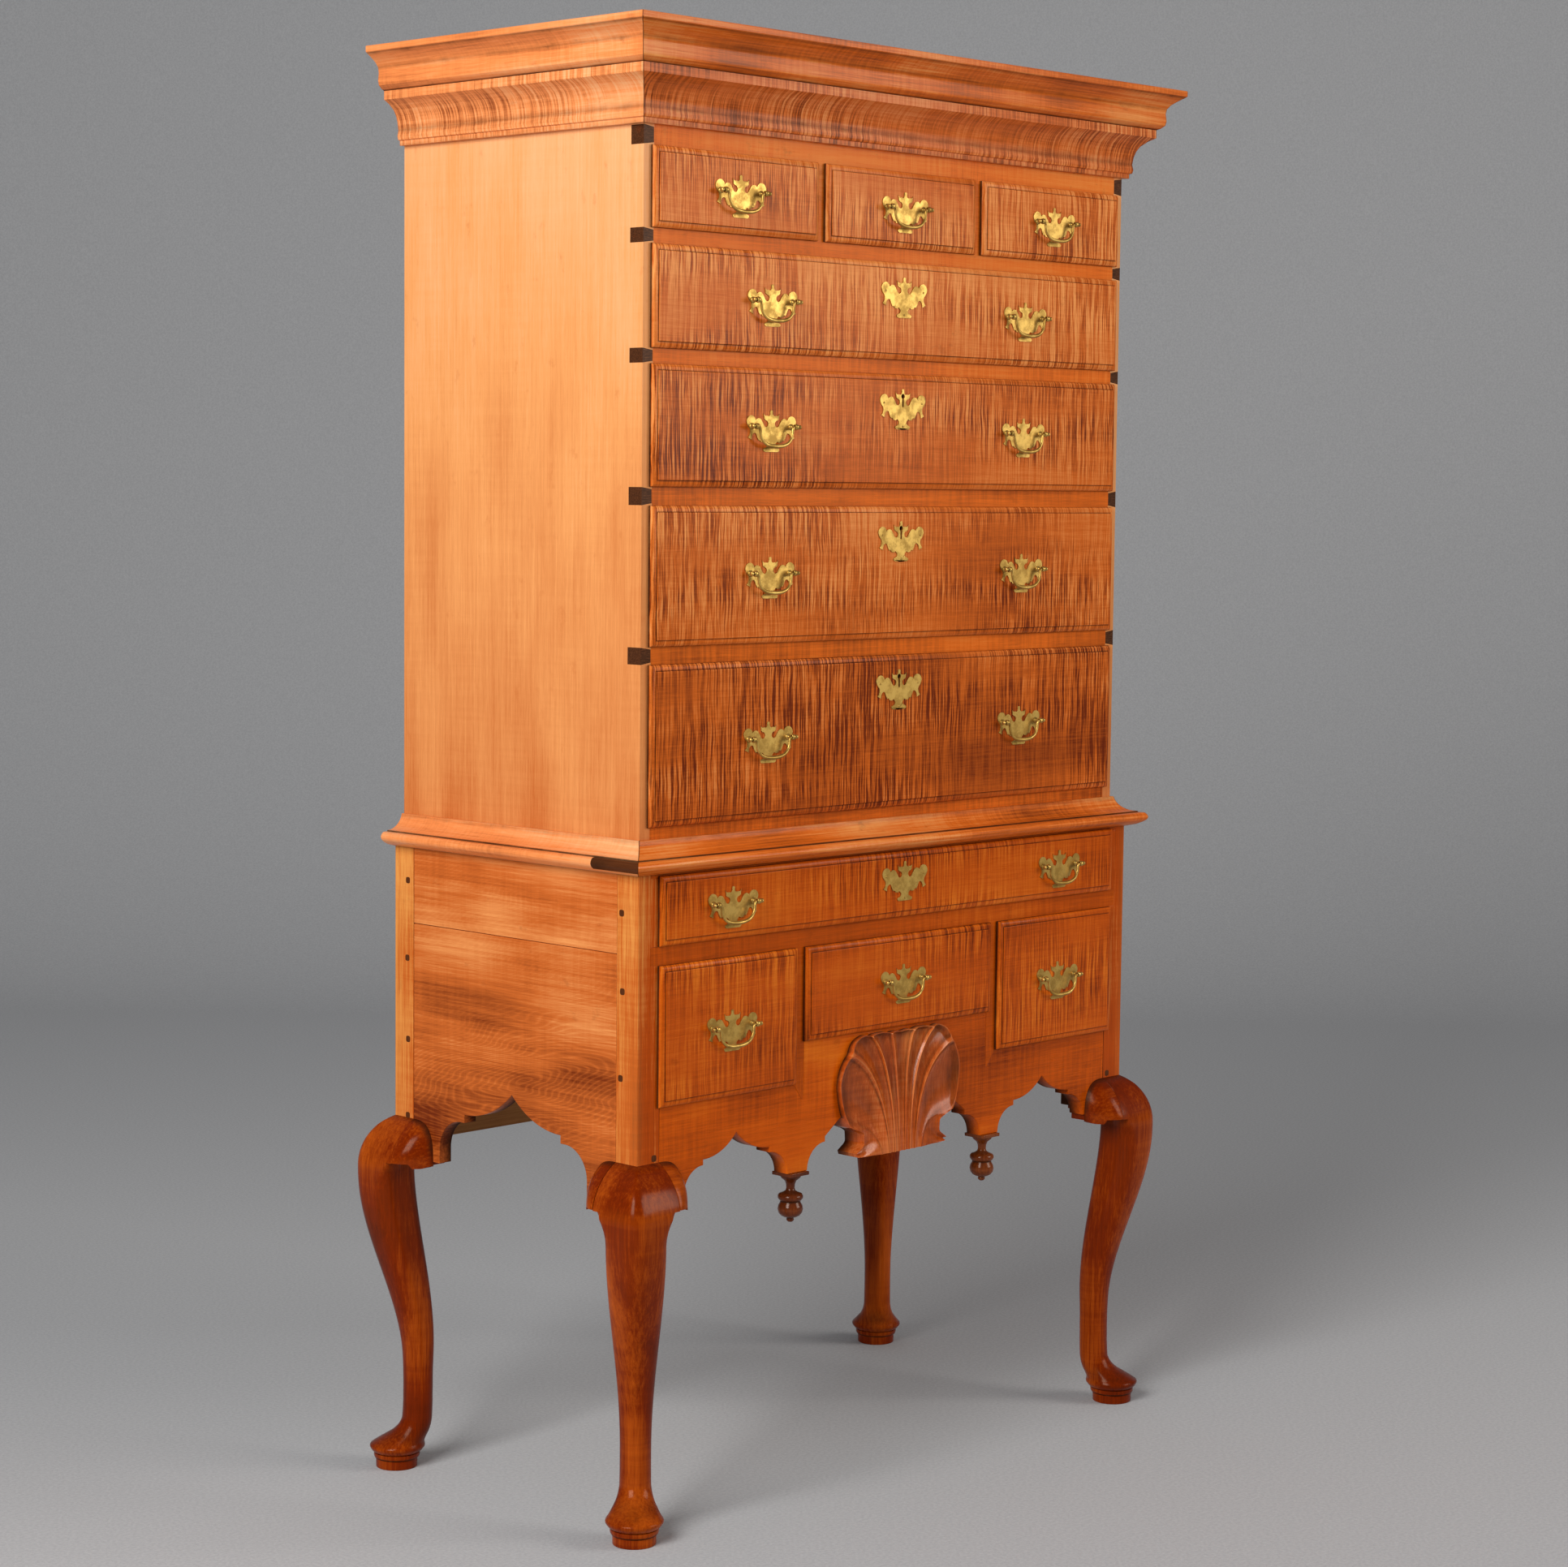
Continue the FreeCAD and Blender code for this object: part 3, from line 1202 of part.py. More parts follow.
class Drawer:
    """One drawer: where its opening is, how its lip covers it, and what brasses it has."""

    def __init__(self, name, face, lip_x, lip_z, cover, handles, key=False, locked=False):
        self.name, self.face, self.lip_x, self.lip_z = name, face, lip_x, lip_z
        self.open_x = (lip_x[0] + cover[0], lip_x[1] - cover[1])
        self.handles, self.key, self.locked = handles, key, locked

    def body_x(self):
        return self.open_x[0] + S.drawer_play, self.open_x[1] - S.drawer_play

    def body_z(self):
        return (self.lip_z[0] + S.lip_over_rail + S.drawer_seat,
                self.lip_z[1] - S.lip_over_rail - S.drawer_headroom)

    def lip_face(self):
        return self.face - S.lip_gap - S.lip_thickness

    def shoulder(self):
        """The back of the front board, where the sides' shoulders meet it."""
        return self.face + S.front_body

    def handle_z(self):
        return (self.lip_z[0] + self.lip_z[1]) / 2 - S.handle_below_middle

    def key_z(self):
        """The middle of the escutcheon's height."""
        low = S.lower_key_below_top if self.name == "lower_long" else S.key_below_top
        return self.lip_z[1] - low

    def tails(self):
        """Dovetails at the front ends of both sides: as many as fit at one pitch."""
        low, high = self.body_z()
        tall = float(high) - float(low)
        count = max(2, round(tall / float(S.tail_pitch)))
        pitch = (high - low) / count
        pieces = {-1: [], 1: []}
        for side, (left, right) in zip((-1, 1), self.side_spans()):
            for index in range(count):
                centre = low + pitch * (index + 0.5)
                root, tip = pitch * 0.26, pitch * 0.38
                pieces[side].append(flare(
                    f"{self.name}_tail_{side + 1}_{index}", (left, right), self.shoulder(),
                    self.shoulder() - S.front_body * 0.7,
                    (centre - root, centre + root), (centre - tip, centre + tip)))
        return pieces

    def side_spans(self):
        low, high = self.body_x()
        return (low, low + S.drawer_side), (high - S.drawer_side, high)

    def make_front(self, tails):
        """The lipped front: its body fills the opening, its rounded lip covers the gap round it."""
        name = self.name
        body = doc.addObject("PartDesign::Body", f"{name}_front_body")
        rectangle = [(self.lip_x[0], self.lip_z[0]), (self.lip_x[1], self.lip_z[0]),
                     (self.lip_x[1], self.lip_z[1]), (self.lip_x[0], self.lip_z[1])]
        lip_sketch = outline(new_sketch(body, f"{name}_lip_outline", "XZ_Plane"), rectangle)
        lip = body.newObject("PartDesign::Pad", f"{name}_lip")
        lip.Profile = lip_sketch
        lip.setExpression("Length", S.lip_thickness.text)
        doc.recompute()
        rim = lip.Shape.BoundBox.YMin
        edges = [f"Edge{index}" for index, edge in enumerate(lip.Shape.Edges, start=1)
                 if edge.BoundBox.YMax < rim + 1e-3]
        thumb = body.newObject("PartDesign::Chamfer", f"{name}_thumb")
        thumb.Base = (lip, edges)
        thumb.ChamferType = "Two distances"
        thumb.setExpression("Size", S.lip_round.text)
        thumb.setExpression("Size2", S.lip_slope.text)
        left, right = self.body_x()
        low, high = self.body_z()
        inner = outline(new_sketch(body, f"{name}_body_outline", "XZ_Plane"),
                        [(left, low), (right, low), (right, high), (left, high)])
        block = body.newObject("PartDesign::Pad", f"{name}_block")
        block.Profile = inner
        block.setExpression("Length", (S.front_body + S.lip_gap).text)
        block.Reversed = True
        placed = copy_at(f"{name}_front_placed", body, 0, self.face - S.lip_gap, 0)
        cuts = tails[-1] + tails[1]
        cuts.append(board(f"{name}_front_groove", (left + S.drawer_side, right - S.drawer_side),
                          (self.shoulder() - S.drawer_groove, self.shoulder()), self.groove_z()))
        for index, (x, z) in enumerate(self.post_places()):
            cuts.append(self.rod_hole(index, x, z))
        if self.locked:
            cuts.append(copy_at(f"{name}_keyhole", KEYHOLE, 0, self.lip_face() - 2,
                                self.key_z() + S.key_above))
            cuts.append(self.lock_recess())
        return carved(f"{name}_front", placed, cuts)

    def rod_hole(self, index, x, z):
        half = S.bolt_rod / 2
        return board(f"{self.name}_rod_hole_{index}", (x - half, x + half),
                     (self.lip_face(), self.shoulder()), (z - half, z + half))

    def lock_recess(self):
        """Room for the lock case in the back of the front, and a way up for its bolt."""
        high = self.body_z()[1]
        depth = (self.shoulder() - S.lock_thickness, self.shoulder())
        return board(f"{self.name}_lock_recess", centred(S.lock_width / 2), depth,
                     (high - S.lock_height, high))

    def groove_z(self):
        """The levels of the bottom board and of the grooves that hold it."""
        low = self.body_z()[0] + S.drawer_bottom_up
        return low, low + S.drawer_bottom

    def make_sides(self, tails):
        """Both sides, with tails at the front, grooved for the bottom."""
        long_span = (self.shoulder(), self.face + (S.upper_depth - S.drawer_behind))
        sides = []
        for side, (left, right) in zip((-1, 1), self.side_spans()):
            plank = board(f"{self.name}_side_{side + 1}", (left, right), long_span, self.body_z())
            whole = fused(f"{self.name}_side_tailed_{side + 1}", [plank] + tails[side])
            edge = (right - S.drawer_groove, right) if side < 0 else (left, left + S.drawer_groove)
            groove = board(f"{self.name}_groove_{side + 1}", edge, long_span, self.groove_z())
            sides.append(carved(f"{self.name}_side_grooved_{side + 1}", whole, [groove]))
        return sides

    def make_box(self):
        """Back board between the sides, above the bottom, and the bottom in its grooves."""
        high = self.body_z()[1]
        left, right = self.body_x()
        shoulder, end = self.shoulder(), self.face + (S.upper_depth - S.drawer_behind)
        inner = (left + S.drawer_side, right - S.drawer_side)
        back = board(f"{self.name}_back", inner, (end - S.drawer_back, end),
                     (self.groove_z()[1], high - S.drawer_back_low))
        grooved = (inner[0] - S.drawer_groove, inner[1] + S.drawer_groove)
        bottom = board(f"{self.name}_bottom", grooved, (shoulder, end), self.groove_z())
        tongue = board(f"{self.name}_bottom_tongue", inner, (shoulder - S.drawer_groove, shoulder),
                       self.groove_z())
        return [back, fused(f"{self.name}_bottom_whole", [bottom, tongue])]

    def post_places(self):
        """Where the handle posts stand."""
        z = self.handle_z() + S.handle_above
        return [(x + S.boring / 2 * sign, z) for x, _ in self.handles for sign in (-1, 1)]

    def make_wood(self):
        tails = self.tails()
        node(f"drawer_{self.name}", [self.make_front(tails)] + self.make_sides(tails) + self.make_box())

    def make_brasses(self):
        """Plates, posts and nuts of the handles; the escutcheon and the lock where there is one."""
        pieces, y = [], self.lip_face()
        for index, (x, _) in enumerate(self.handles):
            pieces.append(copy_at(f"{self.name}_plate_{index}", PLATE, x, y, self.handle_z()))
        for index, (x, post_z) in enumerate(self.post_places()):
            pieces.append(copy_at(f"{self.name}_post_{index}", POST, x, y - S.plate_thickness, post_z))
        if self.key:
            plate = KEYED_PLATE if self.locked else PLAIN_PLATE
            pieces.append(copy_at(f"{self.name}_escutcheon", plate, 0, y, self.key_z()))
        if self.locked:
            high = self.body_z()[1]
            pieces.append(copy_at(f"{self.name}_lock", LOCK, 0, self.shoulder() - S.lock_thickness, high))
        node(f"brasses_{self.name}", pieces)

    def make_bails(self):
        """One bail for each handle, hanging from its posts."""
        y, z = self.lip_face() - S.plate_thickness - S.eye_out, self.handle_z() + S.handle_above
        for x, side in self.handles:
            label = f"bail_{self.name}" + (f"_{side}" if side else "")
            node(label, [copy_at(f"{label}_placed", BAIL, x, y, z)])

    def make_lock_bolt(self):
        """The sliding bolt: flush with the lock case when drawn, up into the blade when thrown."""
        high = self.body_z()[1]
        middle = self.shoulder() - S.lock_thickness / 2
        half = S.lock_bolt_thickness / 2
        node(f"lock_bolt_{self.name}", [board(
            f"{self.name}_bolt", centred(S.lock_bolt_width / 2), (middle - half, middle + half),
            (high - S.lock_bolt_length, high - S.bolt_play))])


def make_drawers():
    """All eleven drawers, in the order of their nodes."""
    wide = UPPER_IN + S.lip_over_side
    small_half = (SMALL_PITCH - S.divider_show) / 2
    drawers = []
    covers = {"left": (S.lip_over_side, S.lip_over_rail), "middle": (S.lip_over_rail, S.lip_over_rail),
              "right": (S.lip_over_rail, S.lip_over_side)}
    for side, sign in (("left", -1), ("middle", 0), ("right", 1)):
        middle = SMALL_PITCH * sign
        drawers.append(Drawer(f"small_{side}", UPPER_FRONT, (middle - small_half, middle + small_half),
                              LEVELS["small"], covers[side], [(middle, "")]))
    both = (S.lip_over_side, S.lip_over_side)
    for count, number in enumerate(UPPER_LONG[::-1], start=1):
        handles = [(-S.long_handle_at, "left"), (S.long_handle_at, "right")]
        locked = count > len(UPPER_LONG) - LOCKED_DRAWERS
        drawers.append(Drawer(f"long_{count}", UPPER_FRONT, centred(wide), LEVELS[number], both, handles,
                              key=True, locked=locked))
    wide = LOWER_IN + S.lip_over_side
    handles = [(-S.lower_handle_at, "left"), (S.lower_handle_at, "right")]
    levels = (LONG_LIP_LOW, LONG_LIP_TOP)
    drawers.append(Drawer("lower_long", LOWER_FRONT, centred(wide), levels, both, handles, key=True))
    near = S.lower_divider_at - S.lower_divider_show / 2
    far = S.lower_divider_at + S.lower_divider_show / 2
    centre = (far + wide) / 2
    levels = (SMALL_LIP_LOW, SMALL_LIP_TOP)
    middle_levels = (MIDDLE_LIP_LOW, SMALL_LIP_TOP)
    drawers += [
        Drawer("lower_left", LOWER_FRONT, (-wide, -far), levels, covers["left"], [(-centre, "")]),
        Drawer("lower_middle", LOWER_FRONT, centred(near), middle_levels, covers["middle"],
               [(Size(0), "")]),
        Drawer("lower_right", LOWER_FRONT, (far, wide), levels, covers["right"], [(centre, "")]),
    ]
    return drawers


# --- the whole piece ------------------------------------------------------------------------

make_legs()
make_knee_brackets()
make_lower_side("lower_side_left", -1)
make_lower_side("lower_side_right", 1)
make_lower_back()
make_apron()
make_shell()
make_lower_frame()
make_pendants()
make_waist_moulding()
make_upper_sides()
make_upper_top_and_bottom()
make_upper_frame()
make_upper_back()
make_cornice()
ALL_DRAWERS = make_drawers()
for drawer in ALL_DRAWERS:
    drawer.make_wood()
for drawer in ALL_DRAWERS:
    drawer.make_brasses()
for drawer in ALL_DRAWERS:
    drawer.make_bails()
for drawer in ALL_DRAWERS:
    if drawer.locked:
        drawer.make_lock_bolt()

doc.recompute()
for thing in doc.Objects:
    if "Invalid" in thing.State or "Error" in thing.State:
        raise RuntimeError(f"{thing.Name} failed: {thing.State}")
os.makedirs("parts", exist_ok=True)
for sub_part in NODES:
    solids = sub_part.Shape.Solids
    if not solids or not sub_part.Shape.isValid():
        raise RuntimeError(f"{sub_part.Label} is empty or not valid")
    shape = solids[0] if len(solids) == 1 else Part.makeCompound(solids)
    shape.exportStep(f"parts/{sub_part.Label}.step")
print(len(NODES), "nodes")
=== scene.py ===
"""The visual model of a highboy: its looks, built round the construction frame.

Lengths are millimetres until a mesh is made, in the frame's axes: X to the right, -Y out of the
drawers, Z up from the floor. A Form is a set of points and faces with two values per point: how
much dirt and painted shade lies there (below 0, wear and painted highlight), and which board it
belongs to, so that each board gets its own grain.
"""
import logging
import math
from dataclasses import dataclass
from enum import Enum
from typing import Any, Iterable, Sequence, Union

import bmesh
import bpy
import numpy as np
from mathutils import Matrix, Vector


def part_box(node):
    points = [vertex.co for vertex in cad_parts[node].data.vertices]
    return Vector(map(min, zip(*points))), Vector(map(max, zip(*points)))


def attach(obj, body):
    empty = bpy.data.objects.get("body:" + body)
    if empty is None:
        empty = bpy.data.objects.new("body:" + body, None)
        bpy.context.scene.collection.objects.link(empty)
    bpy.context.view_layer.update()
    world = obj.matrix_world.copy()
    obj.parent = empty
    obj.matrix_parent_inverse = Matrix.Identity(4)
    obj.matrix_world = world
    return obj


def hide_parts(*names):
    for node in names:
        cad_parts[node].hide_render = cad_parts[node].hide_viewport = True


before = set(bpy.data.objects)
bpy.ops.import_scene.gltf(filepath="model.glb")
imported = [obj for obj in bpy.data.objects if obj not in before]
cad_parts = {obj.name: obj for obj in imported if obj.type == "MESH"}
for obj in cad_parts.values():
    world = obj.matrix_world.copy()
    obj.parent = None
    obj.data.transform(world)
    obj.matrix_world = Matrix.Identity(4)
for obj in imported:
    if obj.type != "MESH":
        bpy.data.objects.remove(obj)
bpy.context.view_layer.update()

LOG = logging.getLogger("highboy")
MM = 0.001
Colour = tuple[float, float, float]
Corner = tuple[float, ...]


# --- forms ----------------------------------------------------------------------------------


def eased(share: np.ndarray) -> np.ndarray:
    """A smooth step from 0 to 1: three times the square less twice the cube."""
    share = np.clip(share, 0.0, 1.0)
    return share * share * (3 - 2 * share)


def hump(values: np.ndarray, at: float, reach: float) -> np.ndarray:
    """A soft hump: 1 where the values are at its place, 0.37 at its reach to either side."""
    return np.exp(-((values - at) / reach) ** 2)


def directions(count: int) -> tuple[np.ndarray, np.ndarray]:
    """Cosines and sines of so many directions, evenly round."""
    angle = np.arange(count) * 2 * math.pi / count
    return np.cos(angle), np.sin(angle)


def superellipse(cosine: np.ndarray, sine: np.ndarray, power: Any) -> np.ndarray:
    """How far out a superellipse of half width 1 lies; power 2 is a circle, more is squarer."""
    return (np.abs(cosine) ** power + np.abs(sine) ** power) ** (-1 / power)


@dataclass
class Form:
    """Points with faces, in millimetres.

    Attributes:
        points: One row of x, y, z per point.
        faces: Groups of faces, each an array with one row of point numbers per face.
        dirt: 0 where a point is clean, 1 where dirt and painted shade darken it most, below 0 where
            wear and painted highlight pale it.
        board: A number per point that sets the grain of its board apart.
    """

    points: np.ndarray
    faces: list[np.ndarray]
    dirt: np.ndarray = None
    board: np.ndarray = None

    def __post_init__(self) -> None:
        """Fill in what wasn't given."""
        count = len(self.points)
        self.dirt = np.zeros(count) if self.dirt is None else self.dirt
        self.board = np.zeros(count) if self.board is None else self.board

    def moved(self, x: float = 0.0, y: float = 0.0, z: float = 0.0) -> "Form":
        """The same form shifted."""
        return Form(self.points + np.array([x, y, z]), self.faces, self.dirt, self.board)

    def mirrored(self, axis: int = 0) -> "Form":
        """The mirror image through the plane where this axis is zero, faces turned to match."""
        sign = np.ones(3)
        sign[axis] = -1
        return Form(self.points * sign, [g[:, ::-1] for g in self.faces], self.dirt, self.board)

    def swapped(self) -> "Form":
        """X and Y exchanged, which mirrors the form, so its faces are turned back."""
        return Form(self.points[:, [1, 0, 2]], [g[:, ::-1] for g in self.faces], self.dirt,
                    self.board)

    def numbered(self, board: float) -> "Form":
        """The same form as board number such and such."""
        return Form(self.points, self.faces, self.dirt, np.full(len(self.points), float(board)))

    def soiled_and_shaded(self, dirt: np.ndarray) -> "Form":
        """The same form with this dirt and painted shade on its points."""
        return Form(self.points, self.faces, np.broadcast_to(dirt, len(self.points)).copy(),
                    self.board)

    def opposite(self, centre: float) -> "Form":
        """The mirror image through the plane at this X."""
        return self.moved(-centre).mirrored(0).moved(centre)

    def laid(self, way: int) -> "Form":
        """A clean form about the Z axis laid along Y, its top towards +Y, or -Y where way is -1."""
        return Form(self.points[:, [0, 2, 1]] * [1, way, 1], self.faces).outward()

    def outward(self) -> "Form":
        """Faces turned to point out, so that the volume summed over triangles is positive."""
        volume = 0.0
        for group in self.faces:
            first = self.points[group[:, 0]]
            for corner in range(1, group.shape[1] - 1):
                edge, other = self.points[group[:, corner]], self.points[group[:, corner + 1]]
                volume += float(np.einsum("ij,ij->", first, np.cross(edge, other)))
        if volume >= 0:
            return self
        return Form(self.points, [g[:, ::-1] for g in self.faces], self.dirt, self.board)


def joined(forms: Iterable[Form]) -> Form:
    """Several forms in one.

    Args:
        forms: The forms, each of which keeps its own points.

    Returns:
        Their points one after the other, with the faces' numbers raised to match.
    """
    forms = list(forms)
    starts = np.cumsum([0] + [len(f.points) for f in forms])
    faces = [group + start for f, start in zip(forms, starts) for group in f.faces]
    return Form(np.concatenate([f.points for f in forms]), faces,
                np.concatenate([f.dirt for f in forms]), np.concatenate([f.board for f in forms]))


def grid_faces(rows: int, columns: int, closed: bool) -> np.ndarray:
    """Quads between the neighbouring points of a grid.

    Args:
        rows: How many rows of points.
        columns: How many points in a row.
        closed: Whether the last point of a row joins its first.

    Returns:
        One row of four point numbers per quad.
    """
    row = np.arange(rows - 1)[:, None] * columns
    here = np.arange(columns if closed else columns - 1)[None]
    after = (here + 1) % columns
    return np.stack([row + here, row + after, row + columns + after, row + columns + here],
                    axis=-1).reshape(-1, 4)


def lofted(rings: np.ndarray, dirt: np.ndarray = None, capped: bool = True) -> Form:
    """A skin over rings of points, with a flat cap on the first and the last.

    Args:
        rings: Array of rings by points by three.
        dirt: Dirt and painted shade per ring, or per ring and point.
        capped: Whether the ends are closed by one face each.

    Returns:
        The closed form.
    """
    count, size = rings.shape[:2]
    faces = [grid_faces(count, size, True)]
    if capped:
        faces += [np.arange(size)[None, ::-1], (np.arange(size) + (count - 1) * size)[None]]
    if dirt is not None:
        dirt = np.broadcast_to(dirt.reshape(count, -1), (count, size)).reshape(-1)
    return Form(rings.reshape(-1, 3), faces, dirt).outward()


def between(front: np.ndarray, back: np.ndarray, dirt: np.ndarray = None) -> Form:
    """A solid between two grids of the same size, closed round its four borders.

    Args:
        front: Array of rows by columns by three.
        back: The same, on the other side.
        dirt: Dirt and painted shade over the front grid.

    Returns:
        The closed form.
    """
    rows, columns = front.shape[:2]
    face = grid_faces(rows, columns, False)
    number = np.arange(rows * columns).reshape(rows, columns)
    rim = np.concatenate([number[0], number[1:, -1], number[-1, -2::-1], number[-2:0:-1, 0]])
    after, step = np.roll(rim, -1), rows * columns
    walls = np.stack([rim, rim + step, after + step, after], axis=-1)
    grime_and_shade = None if dirt is None else np.concatenate([dirt.reshape(-1), dirt.reshape(-1)])
    points = np.concatenate([front.reshape(-1, 3), back.reshape(-1, 3)])
    return Form(points, [face, face[:, ::-1] + step, walls], grime_and_shade).outward()


def run(corners: Sequence[Corner], step: float = 2.0) -> np.ndarray:
    """Points along a closed outline whose corners may start an arc.

    Args:
        corners: (x, y), or (x, y, radius): the arc to the next corner, its centre to the left of
            the way where the radius is positive and to the right where it is negative.
        step: About how far apart the points of an arc are.

    Returns:
        One row of x, y per point.
    """
    pieces = []
    for corner, after in zip(corners, list(corners[1:]) + [corners[0]]):
        start, end = np.array(corner[:2]), np.array(after[:2])
        if len(corner) < 3:
            pieces.append(start[None])
            continue
        chord, radius = end - start, corner[2]
        half = math.hypot(*chord) / 2
        left = np.array([-chord[1], chord[0]]) / (2 * half)
        away = math.sqrt(max(radius * radius - half * half, 0.0)) * math.copysign(1, radius)
        centre = (start + end) / 2 + left * away
        first, last = (math.atan2(*(p - centre)[::-1]) for p in (start, end))
        sweep = (last - first) % (2 * math.pi) if radius > 0 else -((first - last) % (2 * math.pi))
        parts = max(2, int(abs(sweep * radius) / step))
        angle = first + sweep * np.arange(parts) / parts
        pieces.append(centre + abs(radius) * np.stack([np.cos(angle), np.sin(angle)], axis=-1))
    return np.concatenate(pieces)


def mirror_outline(half: Sequence[Corner], middle: Sequence[Corner] = ()) -> list[Corner]:
    """An outline's right half followed by its mirror image.

    Args:
        half: Corners of the right half, in the way of the outline.
        middle: A corner on the mirror line, between the two halves.

    Returns:
        All corners; each arc's radius moves to the corner where its mirror image starts.
    """
    carried = half[-1][2:]
    back = [(-c[0], c[1]) + tuple(before[2:]) for c, before in zip(half[::-1], half[-2::-1])]
    back.append((-half[0][0], half[0][1]))
    return list(half) + [tuple(m) + tuple(carried) for m in middle] + back


class Axis(Enum):
    """An axis of the frame, and the way a board's grain runs."""

    X = 0
    Y = 1
    Z = 2


def sawn(outline: np.ndarray, axis: Axis, low: float, high: float,
         soil_and_shading: Corner = (0.0, 0.0)) -> Form:
    """A board sawn to an outline: the outline carried straight along an axis.

    Args:
        outline: Rows of the two other coordinates, in the order of the axes.
        axis: The axis that the board's thickness lies along.
        low: Where the thickness starts.
        high: Where it ends.
        soil_and_shading: Dirt and painted shade at the low and the high face.

    Returns:
        The closed board.
    """
    ring = np.insert(outline, axis.value, low, axis=1)
    other = np.insert(outline, axis.value, high, axis=1)
    return lofted(np.stack([ring, other]), np.array(soil_and_shading))


def block(x: Corner, y: Corner, z: Corner) -> Form:
    """A board between a low and a high along each axis."""
    return sawn(np.array([(x[0], z[0]), (x[1], z[0]), (x[1], z[1]), (x[0], z[1])]), Axis.Y, *y)


def cells(x: Sequence[float], y: Sequence[float], z: Sequence[float], solid: np.ndarray) -> Form:
    """The skin of the solid cells in a grid of boxes: a block with notches in one closed mesh.

    A face stands wherever a solid cell meets an empty one.

    Args:
        x: Where the grid's planes cross the X axis.
        y: The same for Y.
        z: The same for Z.
        solid: Which cells are solid, by x, y and z.

    Returns:
        The closed form.
    """
    shape = tuple(n + 1 for n in solid.shape)
    full = np.pad(solid.astype(int), 1)
    faces = []
    for axis in range(3):
        change = np.diff(full, axis=axis)
        inner = [slice(1, -1)] * 3
        inner[axis] = slice(None)
        for sign in (1, -1):
            cell = np.argwhere(change[tuple(inner)] == sign)
            one, two = [other for other in range(3) if other != axis]
            steps = np.zeros((4, 3), int)
            steps[[1, 2], one] = 1
            steps[[2, 3], two] = 1
            corner = cell[:, None] + steps[None]
            quad = np.ravel_multi_index(tuple(np.moveaxis(corner, -1, 0)), shape)
            faces.append(quad if (sign < 0) != (axis == 1) else quad[:, ::-1])
    every = np.concatenate(faces)
    used, number = np.unique(every, return_inverse=True)
    place = np.stack(np.unravel_index(used, shape), axis=-1)
    points = np.stack([np.array(c, float)[place[:, i]] for i, c in enumerate((x, y, z))], axis=-1)
    return Form(points, [number.reshape(-1, 4)]).outward()


def turned(profile: np.ndarray, sides: int = 32) -> Form:
    """A turned piece about the Z axis: each (radius, z) of the profile becomes a ring."""
    cosine, sine = directions(sides)
    radius, height = profile[:, :1], profile[:, 1:]
    rings = np.stack([radius * cosine, radius * sine,
                      np.broadcast_to(height, (len(profile), sides))], axis=-1)
    return lofted(rings)


def swept(path: np.ndarray, radius: np.ndarray, sides: int = 12) -> Form:
    """A round bar along a path: a ring at right angles to the way at each point.

    Args:
        path: Rows of x, y, z, none two alike.
        radius: The bar's radius at each point.
        sides: Points round a ring.

    Returns:
        The closed bar. The ring's first direction is the one nearest to Y at every point.
    """
    way = np.gradient(path, axis=0)
    way /= np.linalg.norm(way, axis=1, keepdims=True)
    across = np.array([0.0, 1.0, 0.0]) - way * way[:, 1:2]
    across /= np.linalg.norm(across, axis=1, keepdims=True)
    other = np.cross(way, across)
    cosine, sine = directions(sides)
    ring = across[:, None] * cosine[None, :, None] + other[:, None] * sine[None, :, None]
    return lofted(path[:, None] + ring * radius[:, None, None])


def curved(stations: Sequence[Corner], at: np.ndarray) -> np.ndarray:
    """Values between stations on a smooth curve that doesn't overshoot.

    Args:
        stations: Rows of place and values, in rising order of place.
        at: The places to work out.

    Returns:
        One row of values per place: cubic pieces whose slopes at each station are the lesser of
        the slopes to its two neighbours, or none where those differ in sign.
    """
    table = np.array(stations, float)
    place, values = table[:, 0], table[:, 1:]
    slope = np.diff(values, axis=0) / np.diff(place)[:, None]
    padded = np.concatenate([slope[:1], slope, slope[-1:]])
    left, right = padded[:-1], padded[1:]
    rate = np.where(left * right > 0,
                    2 * left * right / np.where(left + right == 0, 1, left + right), 0)
    span = np.clip(np.searchsorted(place, at, side="right") - 1, 0, len(place) - 2)
    width = (place[span + 1] - place[span])[:, None]
    t = ((at - place[span])[:, None] / width).clip(0, 1)
    return ((1 + 2 * t) * (1 - t) ** 2 * values[span] + t * (1 - t) ** 2 * width * rate[span]
            + t * t * (3 - 2 * t) * values[span + 1] + t * t * (t - 1) * width * rate[span + 1])


# --- pieces ---------------------------------------------------------------------------------


